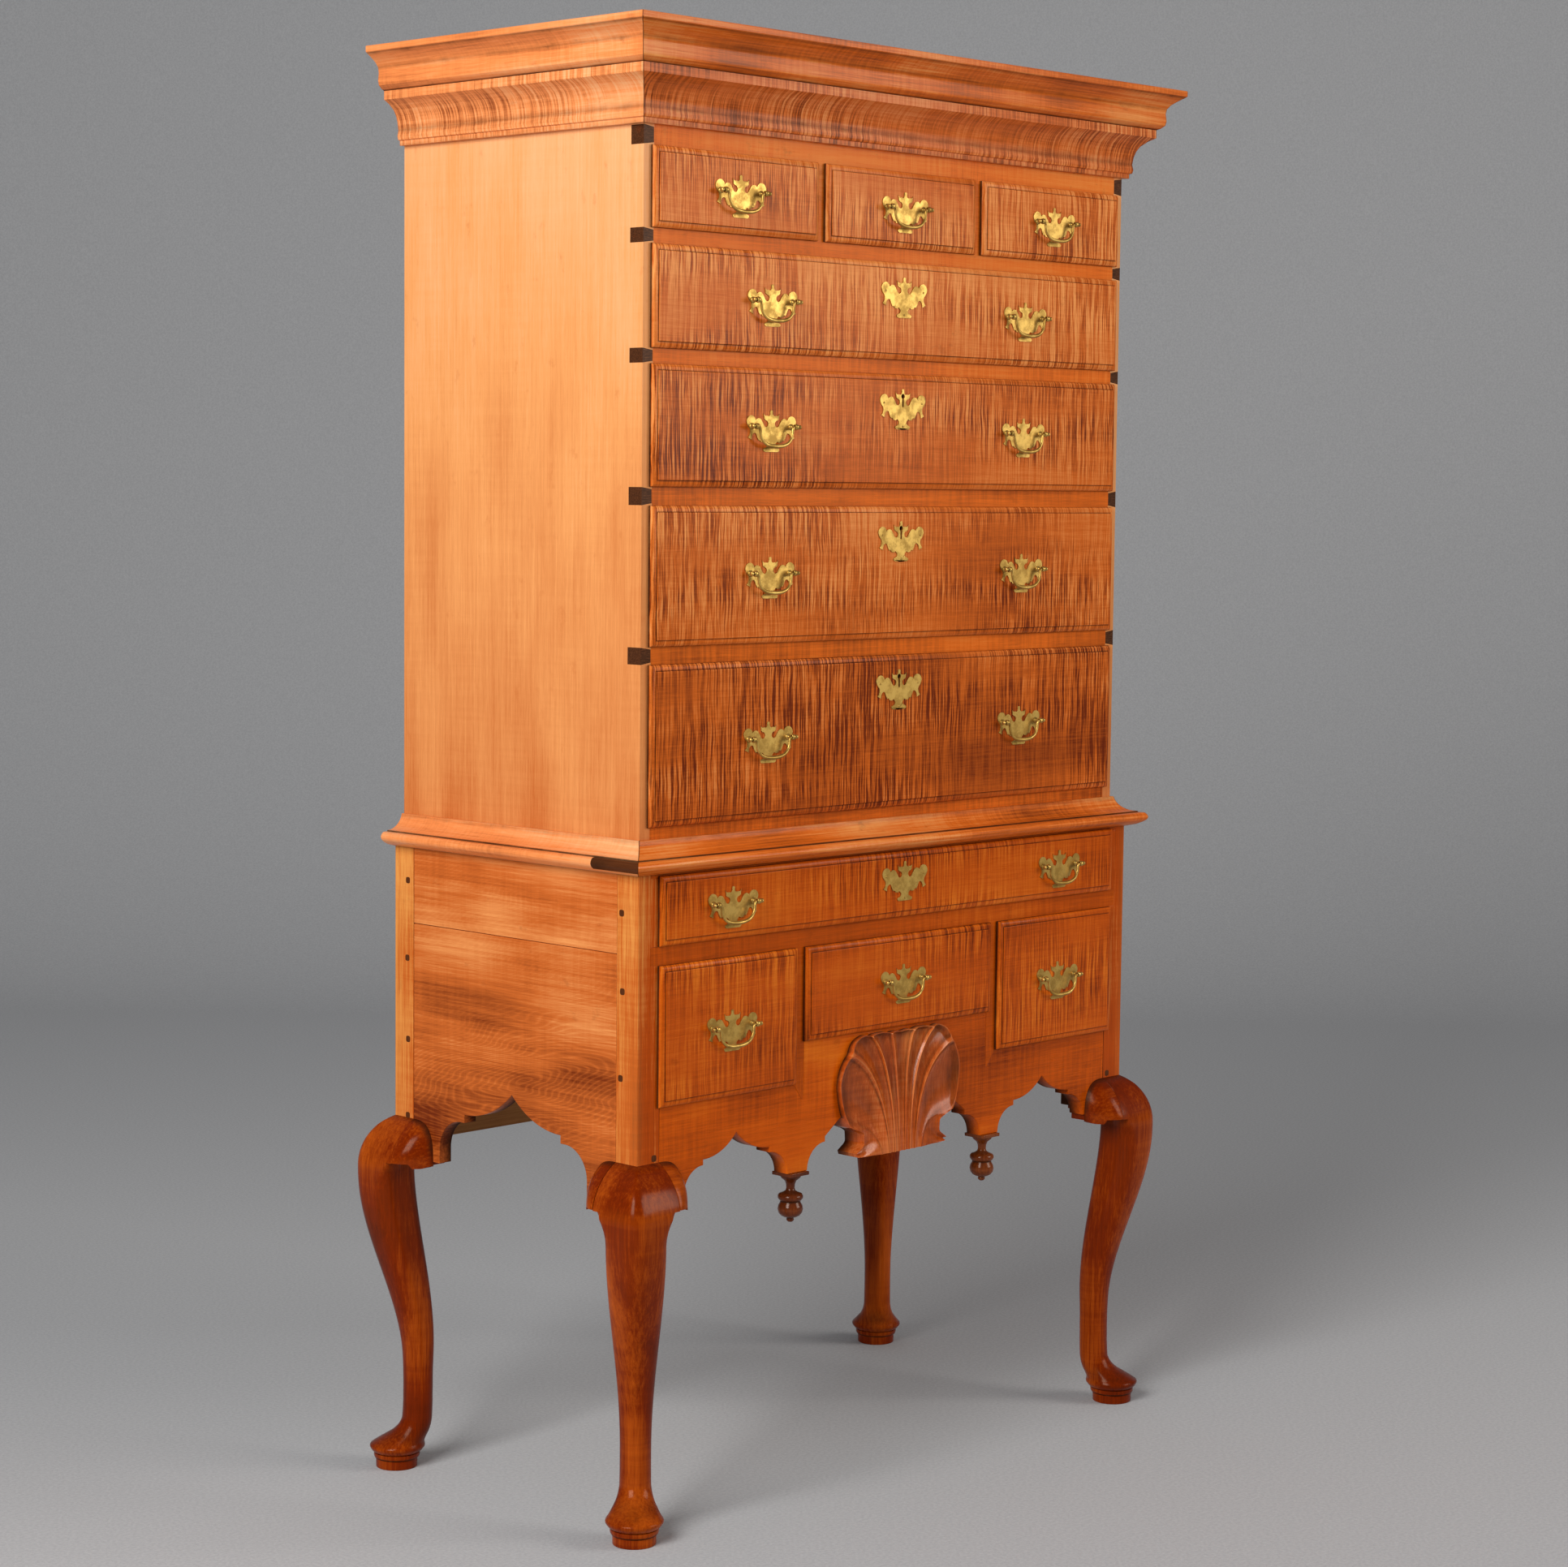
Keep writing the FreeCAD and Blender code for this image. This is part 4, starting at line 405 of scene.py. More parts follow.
def make_piece(name: str, form: Form, body: str, material: bpy.types.Material,
               replaces: Sequence[str] = (), smooth: float = 32.0, bevel: float = 0.0,
               segments: int = 2) -> bpy.types.Object:
    """Turn a form into an object that rides on a body.

    Args:
        name: The piece's name.
        form: Its points and faces.
        body: The body it moves with.
        material: Its material.
        replaces: The construction's nodes that it stands for.
        smooth: Edges up to this many degrees are shaded round.
        bevel: Width of the softening along its edges.
        segments: Facets across that softening.

    Returns:
        The new object.
    """
    mesh = bpy.data.meshes.new(name)
    counts = np.concatenate([np.full(len(g), g.shape[1]) for g in form.faces])
    corners = np.concatenate([g.reshape(-1) for g in form.faces])
    mesh.vertices.add(len(form.points))
    mesh.vertices.foreach_set("co", (form.points * MM).astype(np.float32).reshape(-1))
    mesh.loops.add(len(corners))
    mesh.loops.foreach_set("vertex_index", corners.astype(np.int32))
    mesh.polygons.add(len(counts))
    mesh.polygons.foreach_set("loop_start", (np.cumsum(counts) - counts).astype(np.int32))
    for key, values in (("dirt", form.dirt), ("board", form.board)):
        mesh.attributes.new(key, "FLOAT", "POINT").data.foreach_set("value",
                                                                    values.astype(np.float32))
    mesh.update(calc_edges=True)
    mesh.validate()
    work = bmesh.new()
    work.from_mesh(mesh)
    bmesh.ops.remove_doubles(work, verts=work.verts, dist=2e-6)
    bmesh.ops.dissolve_degenerate(work, dist=1e-6, edges=work.edges)
    bmesh.ops.recalc_face_normals(work, faces=work.faces)
    work.to_mesh(mesh)
    work.free()
    mesh.shade_smooth()
    mesh.set_sharp_from_angle(angle=math.radians(smooth))
    mesh.materials.append(material)
    piece = bpy.data.objects.new(name, mesh)
    bpy.context.scene.collection.objects.link(piece)
    if bevel:
        soften = piece.modifiers.new("soft_edges", "BEVEL")
        soften.width, soften.segments = bevel * MM, segments
        soften.limit_method, soften.angle_limit = "ANGLE", math.radians(50)
    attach(piece, body)
    if replaces:
        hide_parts(*replaces)
    LOG.info("%s: %d faces, on %s", name, len(mesh.polygons), body)
    return piece


def keep_node(name: str, material: bpy.types.Material) -> None:
    """Give one of the construction's own nodes its material."""
    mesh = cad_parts[name].data
    mesh.materials.clear()
    mesh.materials.append(material)
    LOG.info("%s: kept from the construction", name)


# --- shader maths ---------------------------------------------------------------------------

Number = Union["Value", float]
BOARD_SHIFT = (0.731, 1.377, 0.583)
FULL_TURN = 6.2832
COAT_ROUGHNESS = 0.16


class Shader:
    """A material's node tree, filled through one generic method."""

    def __init__(self, name: str) -> None:
        """Start an empty tree in a new material of this name."""
        self.material = bpy.data.materials.new(name)
        self.material.use_nodes = True
        self.tree = self.material.node_tree
        self.tree.nodes.clear()

    def node(self, kind: str, settings: dict[str, Any] = None,
             sockets: dict[Union[int, str], Any] = None) -> bpy.types.Node:
        """Add a node.

        Args:
            kind: The node's type name, without its ShaderNode prefix.
            settings: Properties, set before the sockets; "stops" fills a ramp with (place, colour).
            sockets: Values or links by the socket's name or number.

        Returns:
            The new node.
        """
        node = self.tree.nodes.new(f"ShaderNode{kind}")
        for key, value in (settings or {}).items():
            if key == "stops":
                ramp = node.color_ramp
                for place, _ in value[1:-1]:
                    ramp.elements.new(place)
                for element, (place, colour) in zip(ramp.elements, value):
                    element.position = place
                    element.color = tuple(colour) + (1.0,)
            else:
                setattr(node, key, value)
        for key, value in (sockets or {}).items():
            if isinstance(value, Value):
                self.tree.links.new(value.socket, node.inputs[key])
            elif isinstance(value, bpy.types.NodeSocket):
                self.tree.links.new(value, node.inputs[key])
            elif value is not None:
                node.inputs[key].default_value = value
        return node

    def value(self, kind: str, settings: dict[str, Any] = None,
              sockets: dict[Union[int, str], Any] = None) -> "Value":
        """Add a node and wrap its first output."""
        return Value(self, self.node(kind, settings, sockets).outputs[0])

    def place(self) -> bpy.types.NodeSocket:
        """The object's own coordinates."""
        return self.node("TexCoord").outputs["Object"]

    def attribute(self, name: str) -> "Value":
        """A value stored on the mesh's points."""
        return Value(self, self.node("Attribute", {"attribute_name": name}).outputs["Fac"])

    def vector(self, operation: str, one: Any, two: Any) -> bpy.types.NodeSocket:
        """Vector Math on two vectors; a Value goes to the scale socket."""
        second = "Scale" if operation == "SCALE" else 1
        return self.node("VectorMath", {"operation": operation},
                         {0: one, second: two}).outputs["Vector"]

    def noise(self, place: Any, detail: float = 2.0, roughness: float = 0.5,
              lacunarity: float = 2.0,
              distortion: float = 0.0) -> "Value":
        """Noise about 1 unit of place wide, between about 0.2 and 0.8."""
        return self.value("TexNoise", {"noise_dimensions": "3D"}, {
            "Vector": place, "Scale": 1.0, "Detail": detail, "Roughness": roughness,
            "Lacunarity": lacunarity, "Distortion": distortion})

    def even_noise(self, place: Any, scale: float, detail: float, roughness: float) -> "Value":
        """Noise alike in every direction, so many of its units to the metre."""
        return self.noise(self.vector("MULTIPLY", place, (scale,) * 3), detail, roughness)

    def shifted(self, board: "Value") -> bpy.types.NodeSocket:
        """The object's coordinates, moved by the board's number to give each its own figure."""
        shift = self.vector("SCALE", BOARD_SHIFT, board)
        return self.vector("ADD", self.place(), shift)

    def mixed(self, share: Any, one: Any, two: Any, blend: str = "MIX") -> bpy.types.NodeSocket:
        """A colour between two others."""
        return self.node("Mix", {"data_type": "RGBA", "blend_type": blend, "clamp_factor": True},
                         {0: share, 6: shade(one), 7: shade(two)}).outputs[2]

    def split(self, place: Any) -> list["Value"]:
        """The three parts of a vector."""
        node = self.node("SeparateXYZ", None, {0: place})
        return [Value(self, output) for output in node.outputs]

    def finish(self, colour: Any, roughness: Any, height: "Value", depth: float,
               metallic: Any = 0.0,
               coat: Any = 0.0, strength: float = 1.0, specular: float = 0.5,
               tint: Colour = (1.0, 1.0, 1.0)) -> bpy.types.Material:
        """Set up the shader itself.

        Args:
            colour: Base colour.
            roughness: Roughness.
            height: What the bump follows, 0 to 1.
            depth: The bump's depth in millimetres.
            metallic: Metallic.
            coat: Weight of the clear coat.
            strength: The bump's strength.
            specular: How strongly the bare surface reflects.
            tint: Colour of that reflection.

        Returns:
            The finished material.
        """
        bump = self.node("Bump", None,
                         {"Strength": strength, "Distance": depth * MM, "Height": height})
        shader = self.node("BsdfPrincipled", None, {
            "Base Color": shade(colour), "Roughness": roughness, "Metallic": metallic,
            "Coat Weight": coat, "Coat Roughness": COAT_ROUGHNESS, "Specular IOR Level": specular,
            "Specular Tint": shade(tint),
            "Normal": bump.outputs["Normal"]})
        self.node("OutputMaterial", None, {"Surface": shader.outputs["BSDF"]})
        return self.material


def shade(colour: Any) -> Any:
    """A colour as a socket takes it: four numbers, or a link as it is."""
    return tuple(colour) + (1.0,) if isinstance(colour, tuple) and len(colour) == 3 else colour


class Value:
    """A number that varies over a surface; Python's operators add Math nodes to its tree."""

    def __init__(self, shader: Shader, socket: bpy.types.NodeSocket) -> None:
        """Wrap an output socket."""
        self.shader = shader
        self.socket = socket

    def _math(self, operation: str, one: Number, two: Number = None) -> "Value":
        """One Math node."""
        return self.shader.value("Math", {"operation": operation}, {0: one, 1: two})

    def __add__(self, other: Number) -> "Value":
        """Sum."""
        return self._math("ADD", self, other)

    def __radd__(self, other: Number) -> "Value":
        """Sum, the other first."""
        return self._math("ADD", other, self)

    def __sub__(self, other: Number) -> "Value":
        """Difference."""
        return self._math("SUBTRACT", self, other)

    def __rsub__(self, other: Number) -> "Value":
        """Difference, the other first."""
        return self._math("SUBTRACT", other, self)

    def __mul__(self, other: Number) -> "Value":
        """Product."""
        return self._math("MULTIPLY", self, other)

    def __rmul__(self, other: Number) -> "Value":
        """Product, the other first."""
        return self._math("MULTIPLY", other, self)

    def __truediv__(self, other: Number) -> "Value":
        """Quotient."""
        return self._math("DIVIDE", self, other)

    def __abs__(self) -> "Value":
        """Size without sign."""
        return self._math("ABSOLUTE", self)

    def __pow__(self, power: Number) -> "Value":
        """Power."""
        return self._math("POWER", self, power)

    def sine(self) -> "Value":
        """Sine."""
        return self._math("SINE", self)

    def most(self, other: Number) -> "Value":
        """The greater of the two."""
        return self._math("MAXIMUM", self, other)

    def fraction(self) -> "Value":
        """What is left over the whole number below."""
        return self._math("FRACT", self)

    def rise(self, low: float, high: float) -> "Value":
        """A smooth step from 0 at low to 1 at high, or down where high is the lesser."""
        start, end, left, right = (low, high, 0.0, 1.0) if low < high else (high, low, 1.0, 0.0)
        return self.shader.value("MapRange", {"interpolation_type": "SMOOTHSTEP", "clamp": True}, {
            "Value": self, "From Min": start, "From Max": end, "To Min": left, "To Max": right})

    def ramp(self, stops: Sequence[tuple[float, Colour]]) -> bpy.types.NodeSocket:
        """A colour read off a ramp."""
        return self.shader.node("ValToRGB", {"stops": list(stops)}, {0: self}).outputs["Color"]


# --- finishes -------------------------------------------------------------------------------


def paint(red: float, green: float, blue: float) -> Colour:
    """A colour from 0 to 255 screen numbers, as linear light."""
    parts = np.array([red, green, blue]) / 255
    linear = np.where(parts <= 0.04045, parts / 12.92, ((parts + 0.055) / 1.055) ** 2.4)
    return tuple(float(part) for part in linear)


class Figure(Enum):
    """What shows in a wood beside its straight grain."""

    PLAIN = "plain"
    CATHEDRAL = "cathedral"


@dataclass(frozen=True)
class Wood:
    """A polished or bare wood.

    Attributes:
        name: The finish's name.
        deep: Colour of the darkest streaks.
        body: Its usual colour.
        light: Colour of the palest streaks.
        curl: Strength of the stripes that cross the grain.
        curl_pitch: About how far apart those stripes are, in millimetres.
        streaks: Strength of the streaks along the grain.
        clouds: Strength of the slow changes of tone.
        gloss: Roughness of the surface.
        coat: Weight of the clear coat.
        fibre: Depth of the fibres in millimetres.
        grime_and_shade: Colour of what has gathered in recesses, and of painted shade.
        figure: What else shows.
        painted_light_rise: How much the tone rises over each metre of height: painted light, paler
            towards the top.
        painted_light_level: The height in metres where that leaves the tone alone.
        end_grain: Whether what lies beyond the case's inner width is cut across the grain.
    """

    name: str
    deep: Colour
    body: Colour
    light: Colour
    curl: float = 0.0
    curl_pitch: float = 6.0
    streaks: float = 0.5
    clouds: float = 0.5
    gloss: float = 0.32
    coat: float = 0.25
    fibre: float = 0.05
    grime_and_shade: Colour = (0.02, 0.008, 0.004)
    figure: Figure = Figure.PLAIN
    painted_light_rise: float = 0.0
    painted_light_level: float = 1.3
    end_grain: bool = False

    def grained(self, shader: Shader, place: Any, grain: Axis, along: float, across: float,
                detail: float = 2.0, roughness: float = 0.5) -> Value:
        """Noise whose units are so many millimetres along the grain and across it."""
        scale = [1 / (across * MM)] * 3
        scale[grain.value] = 1 / (along * MM)
        return shader.noise(shader.vector("MULTIPLY", place, tuple(scale)), detail, roughness)

    def lines(self, shader: Shader, place: Any, grain: Axis) -> Value:
        """Growth lines: plain ones follow the grain; a cathedral is a nest of long ovals.

        An oval's number is the root of the squares of the way along and the height over the
        nest's middle, which leans a little; the lines lie at its whole numbers.
        """
        wide = self.grained(shader, place, grain, 420, 60)
        fine = self.grained(shader, place, grain, 160, 3.5, 3.0, 0.65)
        if self.figure is Figure.PLAIN:
            return (fine - 0.5) * 0.75 + (wide - 0.5) * 0.6
        parts = shader.split(shader.place())
        along, over = parts[grain.value] + 0.02, parts[2 if grain is not Axis.Z else 0] - 0.545
        over = over + along * 0.25 + (wide - 0.5) * 0.09
        reach = (along * 6.0) ** 2.0 + (over * 26.0) ** 2.0
        ring = (reach ** 0.5) * 9.5 + fine * 0.12 + wide * 0.8
        wave = ((ring * FULL_TURN).sine() * 0.5 + 0.5) ** 3.0
        near = reach.rise(9.0, 1.2) * 0.75 + 0.25
        return (wave - 0.3) * 0.17 * near + (fine - 0.5) * 0.9 + (wide - 0.5) * 1.0

    def material(self, grain: Axis) -> bpy.types.Material:
        """The finish with its grain along an axis.

        Args:
            grain: The axis.

        Returns:
            A new material. Tone = lines + clouds + curl + fibres, each a noise stretched its own
            way, read off a ramp from deep to light, and raised with height as painted light where
            asked; dirt and painted shade darken it, and wear and painted highlight pale it.
        """
        shader = Shader(f"{self.name}_{grain.name.lower()}")
        board = shader.attribute("board")
        place = shader.shifted(board)
        clouds = self.grained(shader, place, grain, 260, 110)
        lines = self.lines(shader, place, grain)
        fibres = self.grained(shader, place, grain, 22, 0.9, 2.0, 0.7)
        warp = self.grained(shader, place, grain, 60, 60)
        bent = shader.vector("ADD", place, shader.vector("SCALE", (0.006, 0.006, 0.006), warp))
        stripes = self.grained(shader, bent, grain, self.curl_pitch, self.curl_pitch * 30, 3.0, 0.7)
        where = self.grained(shader, place, grain, 330, 75).rise(0.34, 0.64)
        curl = (stripes.rise(0.36, 0.64) - 0.5) * (where * 0.8 + 0.2) - where * 0.06
        tone = (0.5 + (clouds - 0.5) * self.clouds * 1.3 + lines * self.streaks
                + curl * self.curl + (fibres - 0.5) * 0.28)
        tone = tone + (board * 5.37).fraction() * 0.14 - 0.07
        # Painted light: the tone rises with height, so the wood is paler towards the top.
        if self.painted_light_rise:
            tone = tone + (shader.split(shader.place())[2] - self.painted_light_level) * self.painted_light_rise
        ends = [tuple(c) for c in (self.deep, self.body, self.light)]
        colour = tone.ramp([(0.02, ends[0]), (0.5, ends[1]), (0.98, ends[2])])
        if self.end_grain:
            colour = self.cut_ends(shader, place, colour)
        dirt = shader.attribute("dirt")
        spots = self.grained(shader, place, grain, 34, 20, 4.0, 0.65)
        soil_and_shading = (dirt + (spots - 0.5) * 0.5 * (dirt.rise(0.0, 0.2))).rise(0.05, 0.95)
        stain = spots.rise(0.60, 0.74) * 0.22
        colour = shader.mixed(stain, colour, self.deep)
        # Dirt and painted shade darken the wood towards the grime colour.
        colour = shader.mixed(soil_and_shading * 0.92, colour, self.grime_and_shade)
        # Below 0 the wood is paled: wear, and painted highlight.
        wear_and_highlight = (0.0 - dirt).rise(0.05, 0.9) * (0.55 + spots * 0.5)
        colour = shader.mixed(wear_and_highlight * 0.7, colour, self.light)
        rough = (self.gloss + (spots - 0.5) * 0.22 + (fibres - 0.5) * 0.1 + soil_and_shading * 0.25).most(0.08)
        coat = self.coat * (1.0 - soil_and_shading * 0.8)
        height = fibres * 0.35 + lines * 0.15 + clouds * 1.6 + stripes * 0.35 * min(1.0, self.curl)
        return shader.finish(colour, rough, height, self.fibre, coat=coat, strength=0.8,
                             specular=0.1,
                             tint=(1.0, 0.55, 0.25))

    def cut_ends(self, shader: Shader, place: Any, colour: Any) -> Any:
        """Greyer, darker wood where a tail's end shows in the case side."""
        side = abs(shader.split(shader.place())[0])
        pores = self.grained(shader, place, Axis.X, 8, 1.3, 2.0, 0.7)
        ends = pores.ramp([(0.3, paint(48, 26, 14)), (0.55, paint(82, 46, 26)),
                           (0.8, paint(122, 76, 46))])
        return shader.mixed(side.rise(0.4407, 0.4412), colour, ends)


@dataclass(frozen=True)
class Brass:
    """Old cast brass: polished where hands reach, brown in its corners."""

    name: str
    bright: Colour
    dull: Colour
    brown: Colour
    gloss: float = 0.34

    def material(self) -> bpy.types.Material:
        """The finish: dullness and brown spots from noise, brown where dirt is stored."""
        shader = Shader(self.name)
        place = shader.shifted(shader.attribute("board"))
        broad = shader.even_noise(place, 70, 3.0, 0.6)
        fine = shader.even_noise(place, 420, 3.0, 0.65)
        pits = shader.even_noise(place, 1500, 2.0, 0.5)
        dirt = shader.attribute("dirt")
        dull = (broad * 0.8 + fine * 0.2).rise(0.38, 0.62)
        colour = shader.mixed(dull, self.bright, self.dull)
        brown = (dirt + fine.rise(0.64, 0.8) * 0.25 + (broad - 0.5) * 0.4).rise(0.25, 1.0)
        colour = shader.mixed(brown, colour, self.brown)
        rough = self.gloss + dull * 0.12 + brown * 0.3 + (pits - 0.5) * 0.08
        height = fine * 0.8 + pits * 0.4 + broad * 1.2
        return shader.finish(colour, rough, height, 0.025, metallic=0.82 - brown * 0.35,
                             strength=0.5)


class Palette:
    """Every finish, made once for each way its grain runs."""

    def __init__(self) -> None:
        """Set out the finishes."""
        self.woods = {wood.name: wood for wood in (
            Wood("curly_front", paint(112, 38, 6), paint(214, 102, 28), paint(252, 162, 88),
                 curl=0.85, curl_pitch=2.8, streaks=0.4, clouds=0.5, gloss=0.36, coat=0.08,
                 painted_light_rise=0.42, painted_light_level=1.36),
            Wood("curly_lower_front", paint(104, 32, 2), paint(200, 84, 8), paint(240, 132, 36),
                 curl=0.62, curl_pitch=4.2, streaks=0.4, clouds=0.5, gloss=0.32, coat=0.1),
            Wood("case_side", paint(196, 98, 40), paint(242, 162, 96), paint(255, 198, 150),
                 curl=0.03, curl_pitch=9.0, streaks=0.5, clouds=0.3, gloss=0.4, coat=0.05,
                 painted_light_rise=0.5),
            Wood("lower_side", paint(112, 40, 8), paint(206, 104, 42), paint(246, 162, 94),
                 curl=0.06, curl_pitch=9.0, streaks=0.75, clouds=0.9, gloss=0.36, coat=0.08,
                 figure=Figure.CATHEDRAL, painted_light_rise=1.0, painted_light_level=0.66),
            Wood("rail", paint(120, 46, 10), paint(238, 114, 28), paint(252, 164, 78),
                 curl=0.16, curl_pitch=5.0, streaks=0.5, clouds=0.5, gloss=0.4, coat=0.06,
                 end_grain=True, painted_light_rise=0.3),
            Wood("lower_rail", paint(112, 40, 4), paint(200, 84, 6), paint(238, 134, 36),
                 curl=0.16, curl_pitch=5.0, streaks=0.5, clouds=0.5, gloss=0.34, coat=0.08),
            Wood("post", paint(108, 34, 2), paint(194, 78, 6), paint(255, 184, 96),
                 curl=0.06, curl_pitch=8.0, streaks=0.8, clouds=0.6, gloss=0.32, coat=0.08),
            Wood("moulding", paint(96, 32, 6), paint(226, 110, 32), paint(255, 180, 104),
                 curl=0.12, curl_pitch=5.0, streaks=1.1, clouds=0.8, gloss=0.3, coat=0.16),
            # A paler copy of the moulding wood: painted light on the side lengths.
            Wood("moulding_side", paint(126, 46, 12), paint(248, 146, 80), paint(255, 202, 146),
                 curl=0.1, curl_pitch=5.0, streaks=0.8, clouds=0.7, gloss=0.3, coat=0.16),
            Wood("cove", paint(88, 30, 6), paint(218, 108, 44), paint(250, 170, 104),
                 curl=0.6, curl_pitch=3.8, streaks=0.5, clouds=0.7, gloss=0.32, coat=0.12),
            # A paler copy of the cove wood: painted light on the side lengths.
            Wood("cove_side", paint(128, 48, 14), paint(248, 150, 86), paint(255, 204, 150),
                 curl=0.42, curl_pitch=4.2, streaks=0.5, clouds=0.7, gloss=0.32, coat=0.12),
            Wood("apron_front", paint(104, 32, 2), paint(210, 88, 3), paint(244, 134, 30),
                 curl=0.12, curl_pitch=6.0, streaks=0.6, clouds=0.8, gloss=0.3, coat=0.1),
            Wood("leg", paint(44, 10, 0), paint(122, 36, 0), paint(204, 94, 18),
                 curl=0.06, curl_pitch=12.0, streaks=0.7, clouds=1.0, gloss=0.22, coat=0.1),
            Wood("drop", paint(34, 10, 2), paint(96, 40, 12), paint(170, 88, 34),
                 curl=0.06, curl_pitch=12.0, streaks=0.6, clouds=0.9, gloss=0.2, coat=0.4),
            Wood("shell", paint(60, 18, 3), paint(196, 86, 24), paint(246, 158, 88),
                 curl=0.1, curl_pitch=6.0, streaks=0.6, clouds=0.8, gloss=0.18, coat=0.55),
            Wood("back_pine", paint(112, 70, 38), paint(168, 118, 72), paint(200, 156, 106),
                 streaks=0.8, clouds=0.4, gloss=0.72, coat=0.0, fibre=0.12,
                 grime_and_shade=paint(48, 32, 20)),
            Wood("box_pine", paint(150, 104, 62), paint(200, 158, 108), paint(222, 188, 142),
                 streaks=0.75, clouds=0.6, gloss=0.66, coat=0.0, fibre=0.1,
                 grime_and_shade=paint(60, 42, 28)),
            Wood("peg", paint(48, 22, 10), paint(86, 44, 20), paint(124, 70, 36),
                 streaks=0.4, clouds=0.4, gloss=0.5, coat=0.1),
        )}
        self.metals = {metal.name: metal for metal in (
            Brass("brass_cast", paint(208, 170, 88), paint(164, 128, 58), paint(66, 44, 20)),
            Brass("iron_nail", paint(90, 82, 74), paint(62, 56, 50), paint(40, 28, 20), gloss=0.5),
        )}
        self.made: dict[str, bpy.types.Material] = {}

    def wood(self, name: str, grain: Axis) -> bpy.types.Material:
        """A wood with its grain along an axis."""
        key = f"{name}/{grain.name}"
        if key not in self.made:
            self.made[key] = self.woods[name].material(grain)
        return self.made[key]

    def metal(self, name: str) -> bpy.types.Material:
        """A metal."""
        if name not in self.made:
            self.made[name] = self.metals[name].material()
        return self.made[name]


# --- the lower case -------------------------------------------------------------------------

UPPER_FRONT, LOWER_FRONT, BACK = -212.0, -227.0, 235.0
UPPER_HALF, UPPER_IN = 457.5, 440.5
LOWER_HALF, LOWER_IN = 472.5, 434.5
KNEE_LOW = 403.0
ARC_RADIUS, ARC_INSIDE = 79.03, 38.53
LIP_GAP = 0.3  # between a lip's back and the case's front
LIP_OUT = 8.3  # how far a lipped front stands out from there
OUTERMOST = -40.5  # the leg's outermost reach from its post's corner
CORNERS = {"front_left": (-1, -1), "front_right": (1, -1), "rear_left": (-1, 1),
           "rear_right": (1, 1)}


def knee_arc(lift: np.ndarray) -> np.ndarray:
    """How far a knee's face stands out, so high over its lower end: an arc about a point inside."""
    return np.sqrt(ARC_RADIUS ** 2 - lift ** 2) - ARC_INSIDE


